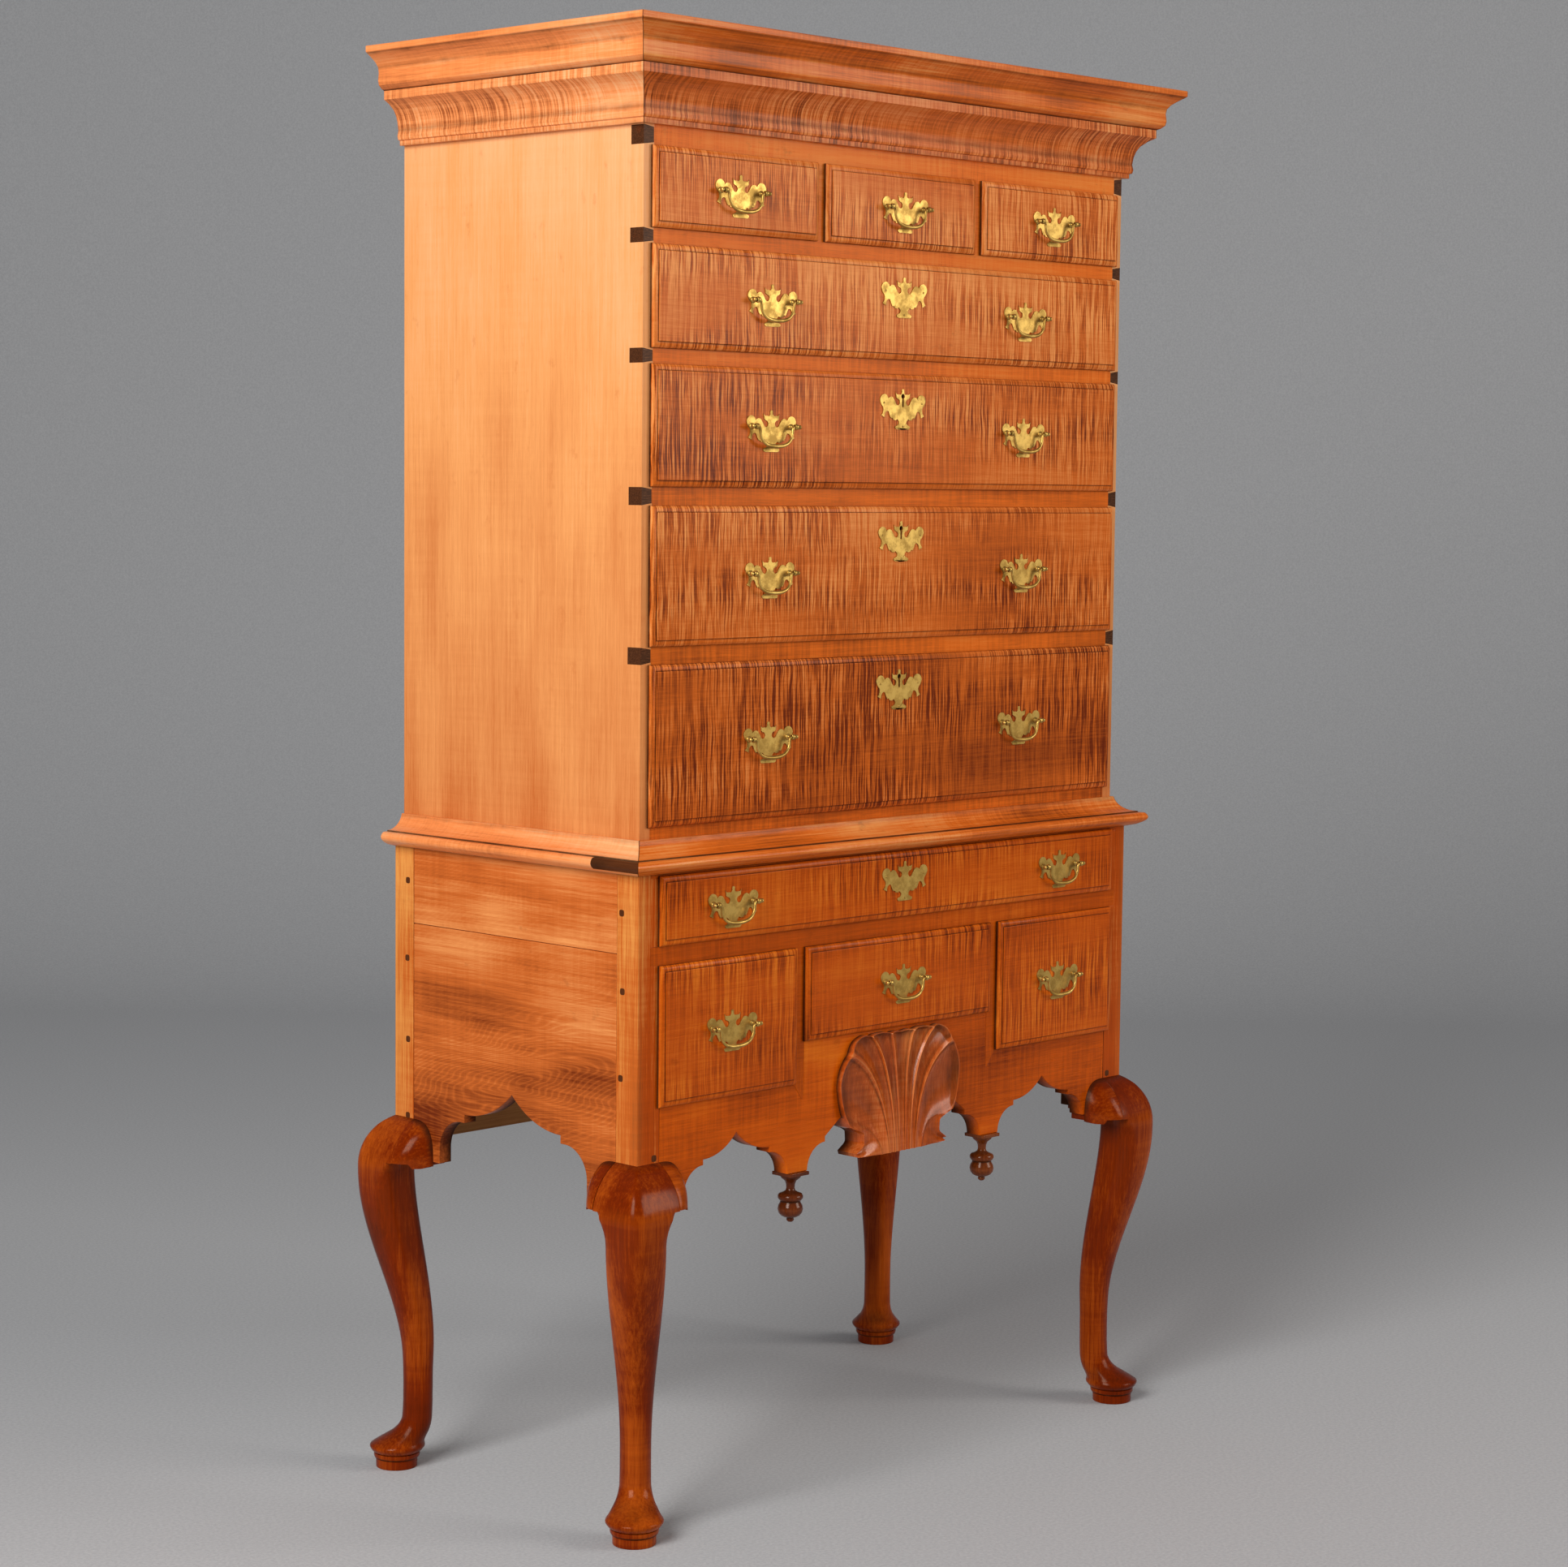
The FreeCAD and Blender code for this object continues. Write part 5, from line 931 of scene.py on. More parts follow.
@dataclass
class CabrioleLeg:
    """A leg and its corner post, one stick of wood; worked out for the front left corner.

    There the post's outer corner is the origin, and the leg leans out along the diagonal.
    """

    corner: str
    ankle_high: float = 150.0
    knee_low: float = KNEE_LOW
    knee_high: float = 472.0
    ankle_out: float = -30.3
    knee_out: float = 42.3
    post: float = 38.0
    top: float = 845.0
    points: int = 64
    flare_low: float = 375.0
    flare_rise: float = 42.0
    foot: tuple[Corner, ...] = (
        (0, -2, 26.4), (0.8, -2, 27.2), (11.5, -2, 27.4), (12.6, -2, 27), (13.2, -2.2, 29.2),
        (15.2, -2.3, 30.2), (17.5, -2.4, 30.6), (19.5, -2.5, 30.4), (20.2, -2.5, 29.4),
        (21, -2.6, 31), (22.8, -2.7, 33.2), (25, -2.8, 34.8), (27.3, -3, 36.3), (29, -3.1, 36.5),
        (30.8, -3.4, 35.9), (34, -5.5, 33.2), (40, -11.5, 29.2), (48.6, -20.6, 24.2),
        (58, -26.5, 21.2), (67.5, -29.1, 19.9), (90, -30.1, 19.6))
    squareness: tuple[Corner, ...] = (
        (0, 2), (50, 2.05), (110, 2.15), (200, 2.5), (300, 3), (403, 3.55), (455, 5), (472, 18))

    def flare(self, level: np.ndarray, cosine: np.ndarray, sine: np.ndarray) -> np.ndarray:
        """How much wider the leg grows towards its brackets, by the square of the height."""
        rise = np.clip(level - self.flare_low, 0, self.flare_rise) / self.flare_rise
        swell = 0.34 * rise ** 2
        return 1 + swell[:, None] * np.maximum(-2 * cosine * sine, 0)

    def shaft(self) -> tuple[np.ndarray, np.ndarray]:
        """The leg below the knee: rings that are superellipses about a leaning centre line.

        Above the foot the centre leans by 42.3 mm and the half diagonal grows from 19.6 to 37 mm,
        both along smooth steps.

        Returns:
            The rings, and how much each ring is darkened, or paled below 0.
        """
        foot = np.array(self.foot)
        low = np.concatenate([foot[:-1, 0], np.arange(60, 90, 6.0)])
        low = np.unique(np.concatenate([low, np.linspace(30.8, 67.5, 14)]))
        centre, half = curved(self.foot, low).T
        high = np.arange(90.0, self.knee_low + 1, 9.2)
        high[-1] = self.knee_low
        lean = self.ankle_out + self.knee_out * eased((high - self.ankle_high) / 253)
        lean[high < 100] = -30.1
        swell = eased(((high - 108) / 295 - 0.02) / 0.9)
        level = np.concatenate([low, high])
        outward = np.concatenate([centre, lean])
        thick = np.concatenate([half, (39.2 + 35.3 * swell) / 2])
        square = curved(self.squareness, level)[:, 0]
        cosine, sine = directions(self.points)
        power = square[:, None]
        reach = superellipse(cosine, sine, power)
        width = (thick / 2 ** (0.5 - 1 / square))[:, None]
        middle = (-outward / math.sqrt(2))[:, None]
        reach = reach * self.flare(level, cosine, sine)
        x, y = (np.maximum(middle + width * np.maximum(reach * share, -1), OUTERMOST)
                for share in (cosine, sine))
        rings = np.stack([x, y, np.broadcast_to(level[:, None], reach.shape)], axis=-1)
        dirt = np.where(np.abs(level - 12.9) < 0.5, 0.9, 0.0) + np.where(np.abs(level - 20.2) < 0.4,
                                                                         0.8, 0)
        dirt = dirt + 0.12 * np.exp(-level / 12) + 0.34 * hump(level, 44, 16)
        dirt = dirt - 0.2 * eased((level - 200) / 150)
        return rings, dirt

    def knee(self) -> tuple[np.ndarray, np.ndarray]:
        """The knee: outer faces swell on an arc from the post, inner ones stand square.

        Returns:
            The rings, and the dirt on each.
        """
        under = np.array([405.0, 408, 411, 414, 417.0])
        above = 417.0 + (self.knee_high - 417.0) * np.linspace(0, 1, 20) ** 0.85
        level = np.concatenate([under, above])
        cosine, sine = directions(self.points)
        outer = (cosine <= 1e-9) & (sine <= 1e-9)
        high = np.repeat(level[:, None], self.points, axis=1)
        high[len(under), outer] += 2.2
        out = knee_arc(high - self.knee_low)
        middle = np.maximum((self.ankle_out + self.knee_out) / -math.sqrt(2), 9 - out)
        square = (np.arange(len(level)) >= len(under))[:, None]
        round_off = curved(self.squareness, level)
        power = np.where(outer[None] | ~square, round_off, 40.0)
        reach = superellipse(cosine, sine, power)
        reach = reach * np.where(square, 1.0, self.flare(level, cosine, sine))
        away = out + middle
        inner = np.where(square, self.post - middle, away)
        x, y = (middle + np.where(share < 0, away, inner) * np.maximum(reach * share, -1)
                for share in (cosine, sine))
        rings = np.stack([x, y, high], axis=-1)
        return rings, 0.45 * eased((level - 462) / 10) - 0.35 * hump(level, 412, 16)

    def post_block(self) -> Form:
        """The square post, notched in front for the ends of two rails."""
        near = self.post - 1.2
        x, y = [0, self.post - 17, near, self.post], [0, 22, near, self.post]
        z = [self.knee_high - 20, 716.3, 739.2, 823.8, self.top]
        solid = np.ones((3, 3, 4), bool)
        if self.corner.startswith("front"):
            solid[1:, 0, 1] = solid[1:, 0, 3] = False
        block = cells(x, y, z, solid)
        # Dark joints on the faces against the panels; the outer side face is paler: painted light.
        joint = (block.points[:, :2] > near + 0.1).any(axis=1)
        return block.soiled_and_shaded(np.where(joint, 0.8, np.where(block.points[:, 0] < 0.1, -0.3, 0.0)))

    def leg(self) -> Form:
        """Foot, shaft and knee in one skin; the knee's first ring is a ledge on the inner sides."""
        (low, low_dirt), (high, high_dirt) = self.shaft(), self.knee()
        return lofted(np.concatenate([low, high]), np.concatenate([low_dirt, high_dirt])[:, None])

    def placed(self, form: Form) -> Form:
        """A form of the front left corner, brought to this leg's corner."""
        across, deep = CORNERS[self.corner]
        form = form.mirrored(0) if across > 0 else form
        form = form.mirrored(1) if deep > 0 else form
        return form.moved(LOWER_HALF * across, LOWER_FRONT if deep < 0 else BACK).outward()

    def build(self, palette: Palette) -> None:
        """Make and dress the leg and its post."""
        number = 1.0 + list(CORNERS).index(self.corner) * 3.3
        wood, node = palette.wood("leg", Axis.Z), [f"leg_{self.corner}"]
        make_piece(f"cabriole_{self.corner}", self.placed(self.leg()).numbered(number),
                   "lower_case",
                   wood, node, smooth=42)
        make_piece(f"post_{self.corner}", self.placed(self.post_block()).numbered(number),
                   "lower_case",
                   palette.wood("post", Axis.Z), node, bevel=0.7)


@dataclass
class KneeBrackets:
    """Six brackets that carry the knees' swell out beside them and back to the panels."""

    width: float = 40.0
    low: float = 412.0
    rise: float = 60.0
    full: float = 3.0
    notch: float = 6.0

    def bracket(self, board: float, under: float) -> Form:
        """One bracket to the right of a post at the origin, its face towards -Y.

        Its face is a full dome: where the knee's arc stands at a height, the bracket's stands at
        the root (of order full) of the powers of the shares across and up. The lower edge is
        notched up beside the leg, so that the outer part hangs like a hook.
        """
        share = np.linspace(0, 1, 33) ** 0.8
        hook = self.notch * (1 - eased((share - 0.55) / 0.10))
        foot = self.low + hook + 2.5 * eased((share - 0.8) / 0.2)
        head = self.low + self.rise * np.maximum(1 - share ** self.full, 0) ** (1 / self.full)
        head = np.maximum(head, foot)
        along = np.linspace(0, 1, 22)[:, None]
        z = foot + (head - foot) * along
        rho = np.minimum(share ** self.full + ((z - self.low) / self.rise) ** self.full,
                         1) ** (1 / self.full)
        out = np.maximum(knee_arc(self.low - KNEE_LOW + self.rise * rho), 0.0)
        x = np.broadcast_to(share * self.width, z.shape)
        front = np.stack([x, -out, z], axis=-1)
        back = np.stack([x, np.zeros_like(z), z], axis=-1)
        dirt = 0.75 * eased((rho - 0.86) / 0.14) - 0.3 * hump(z - self.low, 8, 10)
        behind = block((0, self.width - 1.5), (0.02, board), (self.low + 4, under))
        return joined([between(front, back, dirt), behind])

    def build(self, palette: Palette) -> None:
        """Two beside each front leg and one beside each rear leg."""
        front = self.bracket(24.0, 424.5).moved(-LOWER_IN, LOWER_FRONT)
        side = self.bracket(20.0, 420.0).swapped()
        near = side.moved(-LOWER_HALF, LOWER_FRONT + 38)
        far = side.mirrored(1).moved(-LOWER_HALF, BACK - 38)
        left = [front, near, far]
        forms = [f.outward().numbered(20.0 + i * 1.7) for i, f in
                 enumerate(left + [f.mirrored(0) for f in left])]
        make_piece("brackets", joined(forms), "lower_case",
                   palette.wood("leg", Axis.X), ["knee_brackets"], smooth=50, bevel=0.5)


@dataclass
class Apron:
    """The scalloped front apron; the dividers' feet are let into its face."""

    thickness: float = 24.0
    let_in: float = 11.0
    notch: tuple[Corner, ...] = ((178.8, 596.7), (178.8, 518.7), (181.8, 518.7), (199.2, 542.7))
    edge: tuple[Corner, ...] = (
        (434.5, 542.7), (434.5, 424.5), (391, 424.5, 33), (358, 457.5), (358, 464.5, -74.9),
        (300, 492, -79.2), (240, 464.5), (240, 457.5, 33), (207, 424.5), (170, 424.5, 33),
        (137, 457.5), (137, 464.5), (110, 484.5))

    def build(self, palette: Palette) -> None:
        """Make and dress the apron: a notched board, with the wood behind each notch filled in."""
        outline = run(mirror_outline(list(self.notch) + list(self.edge)))
        # Painted shade: the back face is dark, and the cut edges darken from front to back.
        board = sawn(outline, Axis.Y, LOWER_FRONT, LOWER_FRONT + self.thickness, (0.0, 0.9))
        behind = sawn(np.array(self.notch + ((199.1, 596.7),)), Axis.Y, LOWER_FRONT + self.let_in,
                      LOWER_FRONT + self.thickness - 0.05)
        form = joined([board, behind, behind.mirrored(0)])
        make_piece("apron_board", form.numbered(7.3), "lower_case",
                   palette.wood("apron_front", Axis.X), ["apron"], smooth=20, bevel=0.8)


@dataclass
class CarvedShell:
    """A carved fan of seven hollows with two ears at its foot.

    It goes from foot to rim (t) and from ear to ear (s, where the fan takes up the middle part);
    rim and foot give x and z for shares of s. Below the step its back lies flush with the apron's.
    """

    lobes: int = 7
    face: float = -227.0
    proud: float = 12.5
    back: float = -203.0
    step: float = 484.4
    fan: float = 0.8
    dished: float = 10.9
    columns: int = 217
    rows: int = 64
    rim: tuple[Corner, ...] = (
        (0, 0, 588), (.12, 24, 591), (.25, 47, 590), (.38, 68, 590.5), (.5, 88, 584),
        (.6, 106, 562),
        (.68, 117, 528), (.74, 113, 500), (.8, 102, 474), (.86, 75, 461), (.93, 74, 448),
        (1, 88, 436))
    foot: tuple[Corner, ...] = (
        (0, 0, 429), (.8, 40, 429), (.86, 60, 430), (.93, 72, 430), (1, 86, 431))

    def build(self, palette: Palette) -> None:
        """Make and dress the shell.

        Each line from foot to rim is a bent curve: a quadratic whose middle point stands above
        the foot at 80 % of the rise. Across a lobe the surface sinks by a parabola, so that sharp
        ridges stay between the lobes; from foot to rim the whole is dished.
        """
        s = np.linspace(-1, 1, self.columns)
        t = np.linspace(0, 1, self.rows)[:, None]
        x1, z1 = curved(self.rim, np.abs(s)).T
        x0, z0 = curved(self.foot, np.abs(s)).T
        x1, x0 = x1 * np.sign(s), x0 * np.sign(s)
        inside = np.abs(s) < self.fan
        scallop = np.abs(((s / self.fan) * self.lobes / 2 + self.lobes / 2) % 1 - 0.5) * 2
        z1 = z1 - np.where(inside, 3.5 * scallop ** 3, 0)
        x1 = x1 * (1 - np.where(inside, 0.03 * scallop ** 3, 0))
        bend_x, bend_z = x0 + (x1 - x0) * 0.12, z0 + (z1 - z0) * 0.8
        keep = np.where(inside, 1.0, 1 - eased((np.abs(s) - self.fan) / 0.08))
        bend_x = bend_x * keep + (x0 + x1) / 2 * (1 - keep)
        bend_z = bend_z * keep + (z0 + z1) / 2 * (1 - keep)
        x = (1 - t) ** 2 * x0 + 2 * t * (1 - t) * bend_x + t * t * x1
        z = (1 - t) ** 2 * z0 + 2 * t * (1 - t) * bend_z + t * t * z1
        dish = self.dished + (self.proud - self.dished) * np.abs(2 * t - 1) ** 1.7
        flank = np.where(inside, 1.0, 0.0) * eased((self.fan - np.abs(s)) / 0.03)
        out = dish * flank + (1 - flank) * (self.proud - 1.5 - 5.0 * np.sin(math.pi * t) ** 2)
        depth = (2.2 + 7.6 * eased(t * 1.6)) * (1 - scallop ** 2) ** 0.7 * flank
        depth = depth * (1 - 0.55 * eased((t - 0.93) / 0.06))
        out = np.maximum(out - depth, 0.6)
        out = np.where(t > 0.985, np.minimum(out, self.proud - 1.6), out)
        front = np.stack([x, self.face - out, z], axis=-1)
        rear = np.where(z < self.step, self.back, self.face + 0.4)
        back = np.stack([x, rear, z], axis=-1)
        # Painted shade in the hollows, in a line beside each ridge and on the ears; painted
        # highlight on the ridge crests and the rim.
        dirt = 0.42 * (1 - scallop ** 2) * flank * eased(t * 2)
        dirt = dirt + 0.25 * eased((t - 0.8) / 0.2) * flank
        dirt = dirt + 0.75 * hump(scallop, 0.84, 0.1) * flank * (1 - 0.5 * t)
        dirt = dirt - 0.9 * scallop ** 14 * flank - np.where(t > 0.985, 0.5, 0.0)
        dirt = dirt + np.where(flank < 0.5, 0.25, 0.0)
        form = between(front, back, np.broadcast_to(dirt, x.shape))
        # Painted shade: the side walls and the back are nearly black.
        form = form.soiled_and_shaded(np.where(np.arange(len(form.points)) < x.size, form.dirt, 0.95))
        make_piece("shell_carved", form.numbered(9.1), "lower_case",
                   palette.wood("shell", Axis.Z), ["apron_shell"], smooth=34)


@dataclass
class LowerSides:
    """Each side is two boards: a plain upper one, and one with a cusp between two coves."""

    middle: float = 4.0
    half: float = 193.0
    thickness: float = 20.0
    joint: float = 730.0
    edge: tuple[Corner, ...] = (
        (193, 729.4), (193, 420), (141, 420), (141, 440, 41), (100, 480), (92, 480),
        (92, 490.5, -129.2))

    def build(self, palette: Palette) -> None:
        """Make and dress both sides."""
        outline = run(mirror_outline(list(self.edge), [(0, 529)]))
        # Painted shade: the inner face is dark, and the cut edges darken from outside to inside.
        low = sawn(outline, Axis.X, -LOWER_HALF, -LOWER_HALF + self.thickness, (0.0, 0.9))
        low = low.moved(y=self.middle)
        high = block((-LOWER_HALF, -LOWER_HALF + self.thickness),
                     (self.middle - self.half, self.middle + self.half),
                     (self.joint + 0.1, 845))
        for side, flip in (("left", False), ("right", True)):
            boards = []
            for number, board in ((2.2, low), (5.9, high)):
                board = board.numbered(number + 3.1 * flip)
                boards.append(board.mirrored(0) if flip else board)
            make_piece(f"side_boards_{side}", joined(boards), "lower_case",
                       palette.wood("lower_side", Axis.Y), [f"lower_side_{side}"], smooth=20,
                       bevel=0.7)


@dataclass
class Pendants:
    """Two turned drops on square caps."""

    place: float = 188.5
    depth: float = -215.0
    cap: float = 34.0
    profile: tuple[Corner, ...] = (
        (0.4, 358.2), (2.6, 358.6), (4.4, 360.0), (5, 361.8), (4.4, 363.4), (5.2, 364.6),
        (8.5, 365.2),
        (12.6, 367.4), (15.4, 371), (16.5, 375.6), (15.6, 380.4), (13.4, 384.2), (12.9, 386),
        (14.6, 387.6), (16.4, 390), (16.5, 393), (14.8, 395.4), (9.5, 397.4), (6.4, 399.6),
        (5.5, 403),
        (5.9, 408), (7.8, 412.6), (12.6, 416.4), (13.6, 418.2), (13.6, 420.2))

    def build(self, palette: Palette) -> None:
        """Make and dress both drops."""
        turning = turned(np.array(self.profile), 40)
        z = turning.points[:, 2]
        dirt = 0.8 * hump(z, 386, 1.6) + 0.6 * hump(z, 398.5, 2.5)
        dirt = dirt + 0.5 * hump(z, 364, 1.4) - 0.3 * hump(z, 376, 4)
        half = self.cap / 2
        top = block((-half, half), (-half, half), (420, 424.5))
        forms = [f.moved(sign * self.place, self.depth).numbered(30 + sign)
                 for sign in (-1, 1) for f in (turning.soiled_and_shaded(dirt), top)]
        make_piece("drops", joined(forms), "lower_case", palette.wood("drop", Axis.Z),
                   ["pendants"], smooth=40, bevel=0.5)


@dataclass
class Moulding:
    """A moulding round the front and sides of a case, in three mitred lengths.

    Attributes:
        name: The moulding's name.
        section: (distance out, height) round its section, arcs as run takes them.
        half: Half the width of the case it goes round.
        front: The case's front plane.
        body: The body it rides on.
        finish: Name of the front's wood.
        lit_side_finish: Name of the sides' wood, a paler copy of the front's: painted light on the
            side lengths.
        dark: Places (distance out, height), each with its reach and strength, where painted shade
            darkens the hollows; a strength below 0 paints a highlight on a nose.
        number: Board number of the front length.
    """

    name: str
    section: tuple[Corner, ...]
    half: float
    front: float
    body: str
    finish: str = "moulding"
    lit_side_finish: str = "moulding_side"
    dark: tuple[Corner, ...] = ()
    number: float = 11.0

    def length(self, outline: np.ndarray, stops: Sequence[Corner]) -> Form:
        """One closed length: the section set at each stop, whose direction points out of the case.

        Args:
            outline: The section's (out, height) points.
            stops: For each stop x, y, the step in x and y that 1 mm out makes there, and its dirt.

        Returns:
            The length, with painted shade in its hollows, painted highlights on its noses, and dark
            joints along its mitres.
        """
        stop = np.array(stops)[:, None]
        out = outline[None, :, :1]
        plan = stop[..., :2] + out * stop[..., 2:4]
        rings = np.concatenate([plan, np.broadcast_to(outline[None, :, 1:],
                                                      (len(stops), len(outline), 1))],
                               axis=-1)
        dirt = np.zeros(len(outline))
        # Painted shade in the section's hollows, painted highlight on its noses.
        for place_out, place_high, reach, depth in self.dark:
            away = np.hypot(outline[:, 0] - place_out, outline[:, 1] - place_high)
            dirt = dirt + depth * hump(away, 0, reach)
        return lofted(rings, np.maximum(dirt, stop[..., 4]))

    def build(self, palette: Palette, replaces: Sequence[str] = ()) -> None:
        """Make and dress the three lengths."""
        outline = run(self.section, 0.8)
        half, y = self.half, self.front
        front = self.length(outline, [
            (-half + 0.12, y, -1, -1, 0.85), (-half + 1.3, y, -1, -1, 0.0),
            (-half / 3, y, -1 / 3, -1, 0.0),
            (half / 3, y, 1 / 3, -1, 0.0), (half - 1.3, y, 1, -1, 0.0),
            (half - 0.12, y, 1, -1, 0.85)])
        left = self.length(outline, [
            (-half, y + 0.12, -1, -1, 0.85), (-half, y + 1.3, -1, -1, 0.0),
            (-half, (y + BACK) / 2, -1, -0.4, 0.0), (-half, BACK, -1, 0, 0.0)])
        right = left.mirrored(0)
        make_piece(f"{self.name}_front", front.numbered(self.number), self.body,
                   palette.wood(self.finish, Axis.X), replaces, smooth=28)
        make_piece(f"{self.name}_sides", joined([left.numbered(self.number + 2.6),
                                                 right.numbered(self.number + 5.7)]),
                   self.body, palette.wood(self.lit_side_finish, Axis.Y), replaces, smooth=28)


# In these three mouldings the dark places paint shade in the hollows, and a highlight where the
# strength is below 0.
WAIST = Moulding("waist", (
    (0.5, 845), (15, 845), (15, 828), (27, 831), (33, 834), (36.4, 836.4, 7.5), (39, 841, 8),
    (35.2, 847.3, 20), (28.5, 847.9), (28.5, 849.5, -24.5), (4.2, 869.4), (3.4, 870), (0.5, 870)),
    UPPER_HALF, UPPER_FRONT, "lower_case", dark=((28.5, 848.6, 2.2, 0.9), (15, 829, 3, 0.7),
                                               (4, 868, 5, 0.35), (39, 842, 4, -0.4)), number=12.4)


@dataclass
class WaistInsert:
    """A dark repair let into the waist moulding's nose, beside the front left corner."""

    section: tuple[Corner, ...] = (
        (27.4, 832), (33, 834), (36.6, 836.3, 7.5), (39.15, 841, 8), (35.4, 847.5, 20),
        (28.8, 848.1))
    long: float = 92.0

    def build(self, palette: Palette) -> None:
        """Make and dress it: the nose's own section, a little proud, mitred at the corner."""
        form = WAIST.length(run(self.section, 0.8), [
            (-UPPER_HALF, UPPER_FRONT + 0.25, -1, -1, 0.0),
            (-UPPER_HALF, UPPER_FRONT - 39 + self.long, -1, -0.2, 0.5)])
        make_piece("waist_insert", form.numbered(3.7), "lower_case",
                   palette.wood("peg", Axis.Y), smooth=28)


CROWN = Moulding("crown", (
    (0, 1853), (0, 1799), (33.5, 1799), (37.4, 1800.8), (42.1, 1805.3), (43.3, 1811), (42.3, 1821),
    (43.4, 1827.6), (47.3, 1833.2), (52.8, 1837.7), (56, 1840), (62, 1844.2), (63.5, 1845.6),
    (63.5, 1852.2), (62.7, 1853)),
    UPPER_HALF, UPPER_FRONT, "upper_case", dark=((43.2, 1827, 4, 0.45), (60.5, 1843.4, 2.6, 0.95),
                                               (33.5, 1799, 4, 0.9), (63.5, 1850, 4, -0.5),
                                               (43.3, 1811, 6, -0.3)), number=14.8)
COVE = Moulding("cornice_cove", (
    (0, 1798.9), (0, 1732), (7.5, 1732), (7.6, 1738), (10.3, 1739), (11.5, 1743.6), (10.2, 1751),
    (11.6, 1761.4), (13.9, 1769), (17.8, 1776), (25.7, 1783.3), (32, 1787), (33.5, 1788),
    (33.5, 1798.9)),
    UPPER_HALF, UPPER_FRONT, "upper_case", dark=((10.2, 1751.4, 1.8, 0.5), (15, 1771, 9, 0.15),
                                               (7.6, 1733, 4, 0.4), (33.5, 1795, 4, -0.2)),
                                               number=18.2,
    finish="cove", lit_side_finish="cove_side")


@dataclass
class BackBoards:
    """Bare boards nailed across the back of the upper case."""

    count: int = 4
    low: float = 845.0
    step: float = 250.25
    half: float = 449.5

    def build(self, palette: Palette) -> None:
        """Make and dress the boards, with their nails."""
        boards, nails = [], []
        for index in range(self.count):
            low = self.low + self.step * index
            boards.append(block((-self.half, self.half), (BACK - 12, BACK - 0.6),
                                (low + 0.5, low + self.step - 0.5)).numbered(40 + index * 1.3))
            for x in (-443, 443):
                for z in (low + 28, low + 125, low + 222):
                    head = turned(np.array([(0.3, 0.5), (2.6, 0.45), (3.2, 0), (3.0, -2.0)]), 12)
                    nails.append(head.laid(1).moved(x, BACK - 0.6, z).numbered(x + z))
        make_piece("planks", joined(boards), "upper_case",
                   palette.wood("back_pine", Axis.X),
                   ["upper_back"], smooth=30, bevel=0.8)
        make_piece("plank_nails", joined(nails), "upper_case", palette.metal("iron_nail"))


@dataclass
class Pegs:
    """Squarish wooden pegs that hold the panels' tongues in the posts."""

    side_front: tuple[Corner, ...] = ((-197.5, 781), (-199.5, 684.5), (-197, 577))
    side_rear: tuple[Corner, ...] = ((209, 785), (210, 683), (208.5, 576), (209, 475))
    front: tuple[Corner, ...] = ((443.7, 478),)
    size: float = 4.2

    def peg(self) -> Form:
        """One peg's head, a slightly domed square, its face towards -X at the origin."""
        cosine, sine = directions(16)
        reach = superellipse(cosine, sine, 4) * self.size
        scale = np.array([1.0, 0.98, 0.7, 0.3])[:, None]
        out = np.array([1.5, -0.25, -0.45, -0.5])[:, None]
        rings = np.stack([np.broadcast_to(out, (4, 16)), scale * reach * cosine,
                          scale * reach * sine], axis=-1)
        return lofted(rings)

    def build(self, palette: Palette) -> None:
        """Make and dress the pegs of both sides and the front."""
        head = self.peg()
        left = [head.moved(-LOWER_HALF + 0.1, y, z).numbered(y + z) for y, z in self.side_front
                + self.side_rear]
        face = head.swapped()
        left += [face.moved(-x, LOWER_FRONT + 0.1, z).numbered(z) for x, z in self.front]
        forms = [f.outward() for f in left + [f.mirrored(0) for f in left]]
        make_piece("pegs", joined(forms), "lower_case", palette.wood("peg", Axis.Z),
                   smooth=40)


# --- drawers --------------------------------------------------------------------------------


def bounds_mm(node: str) -> tuple[np.ndarray, np.ndarray]:
    """A node's lowest and highest corners in millimetres."""
    low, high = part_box(node)
    return np.array(low) / MM, np.array(high) / MM


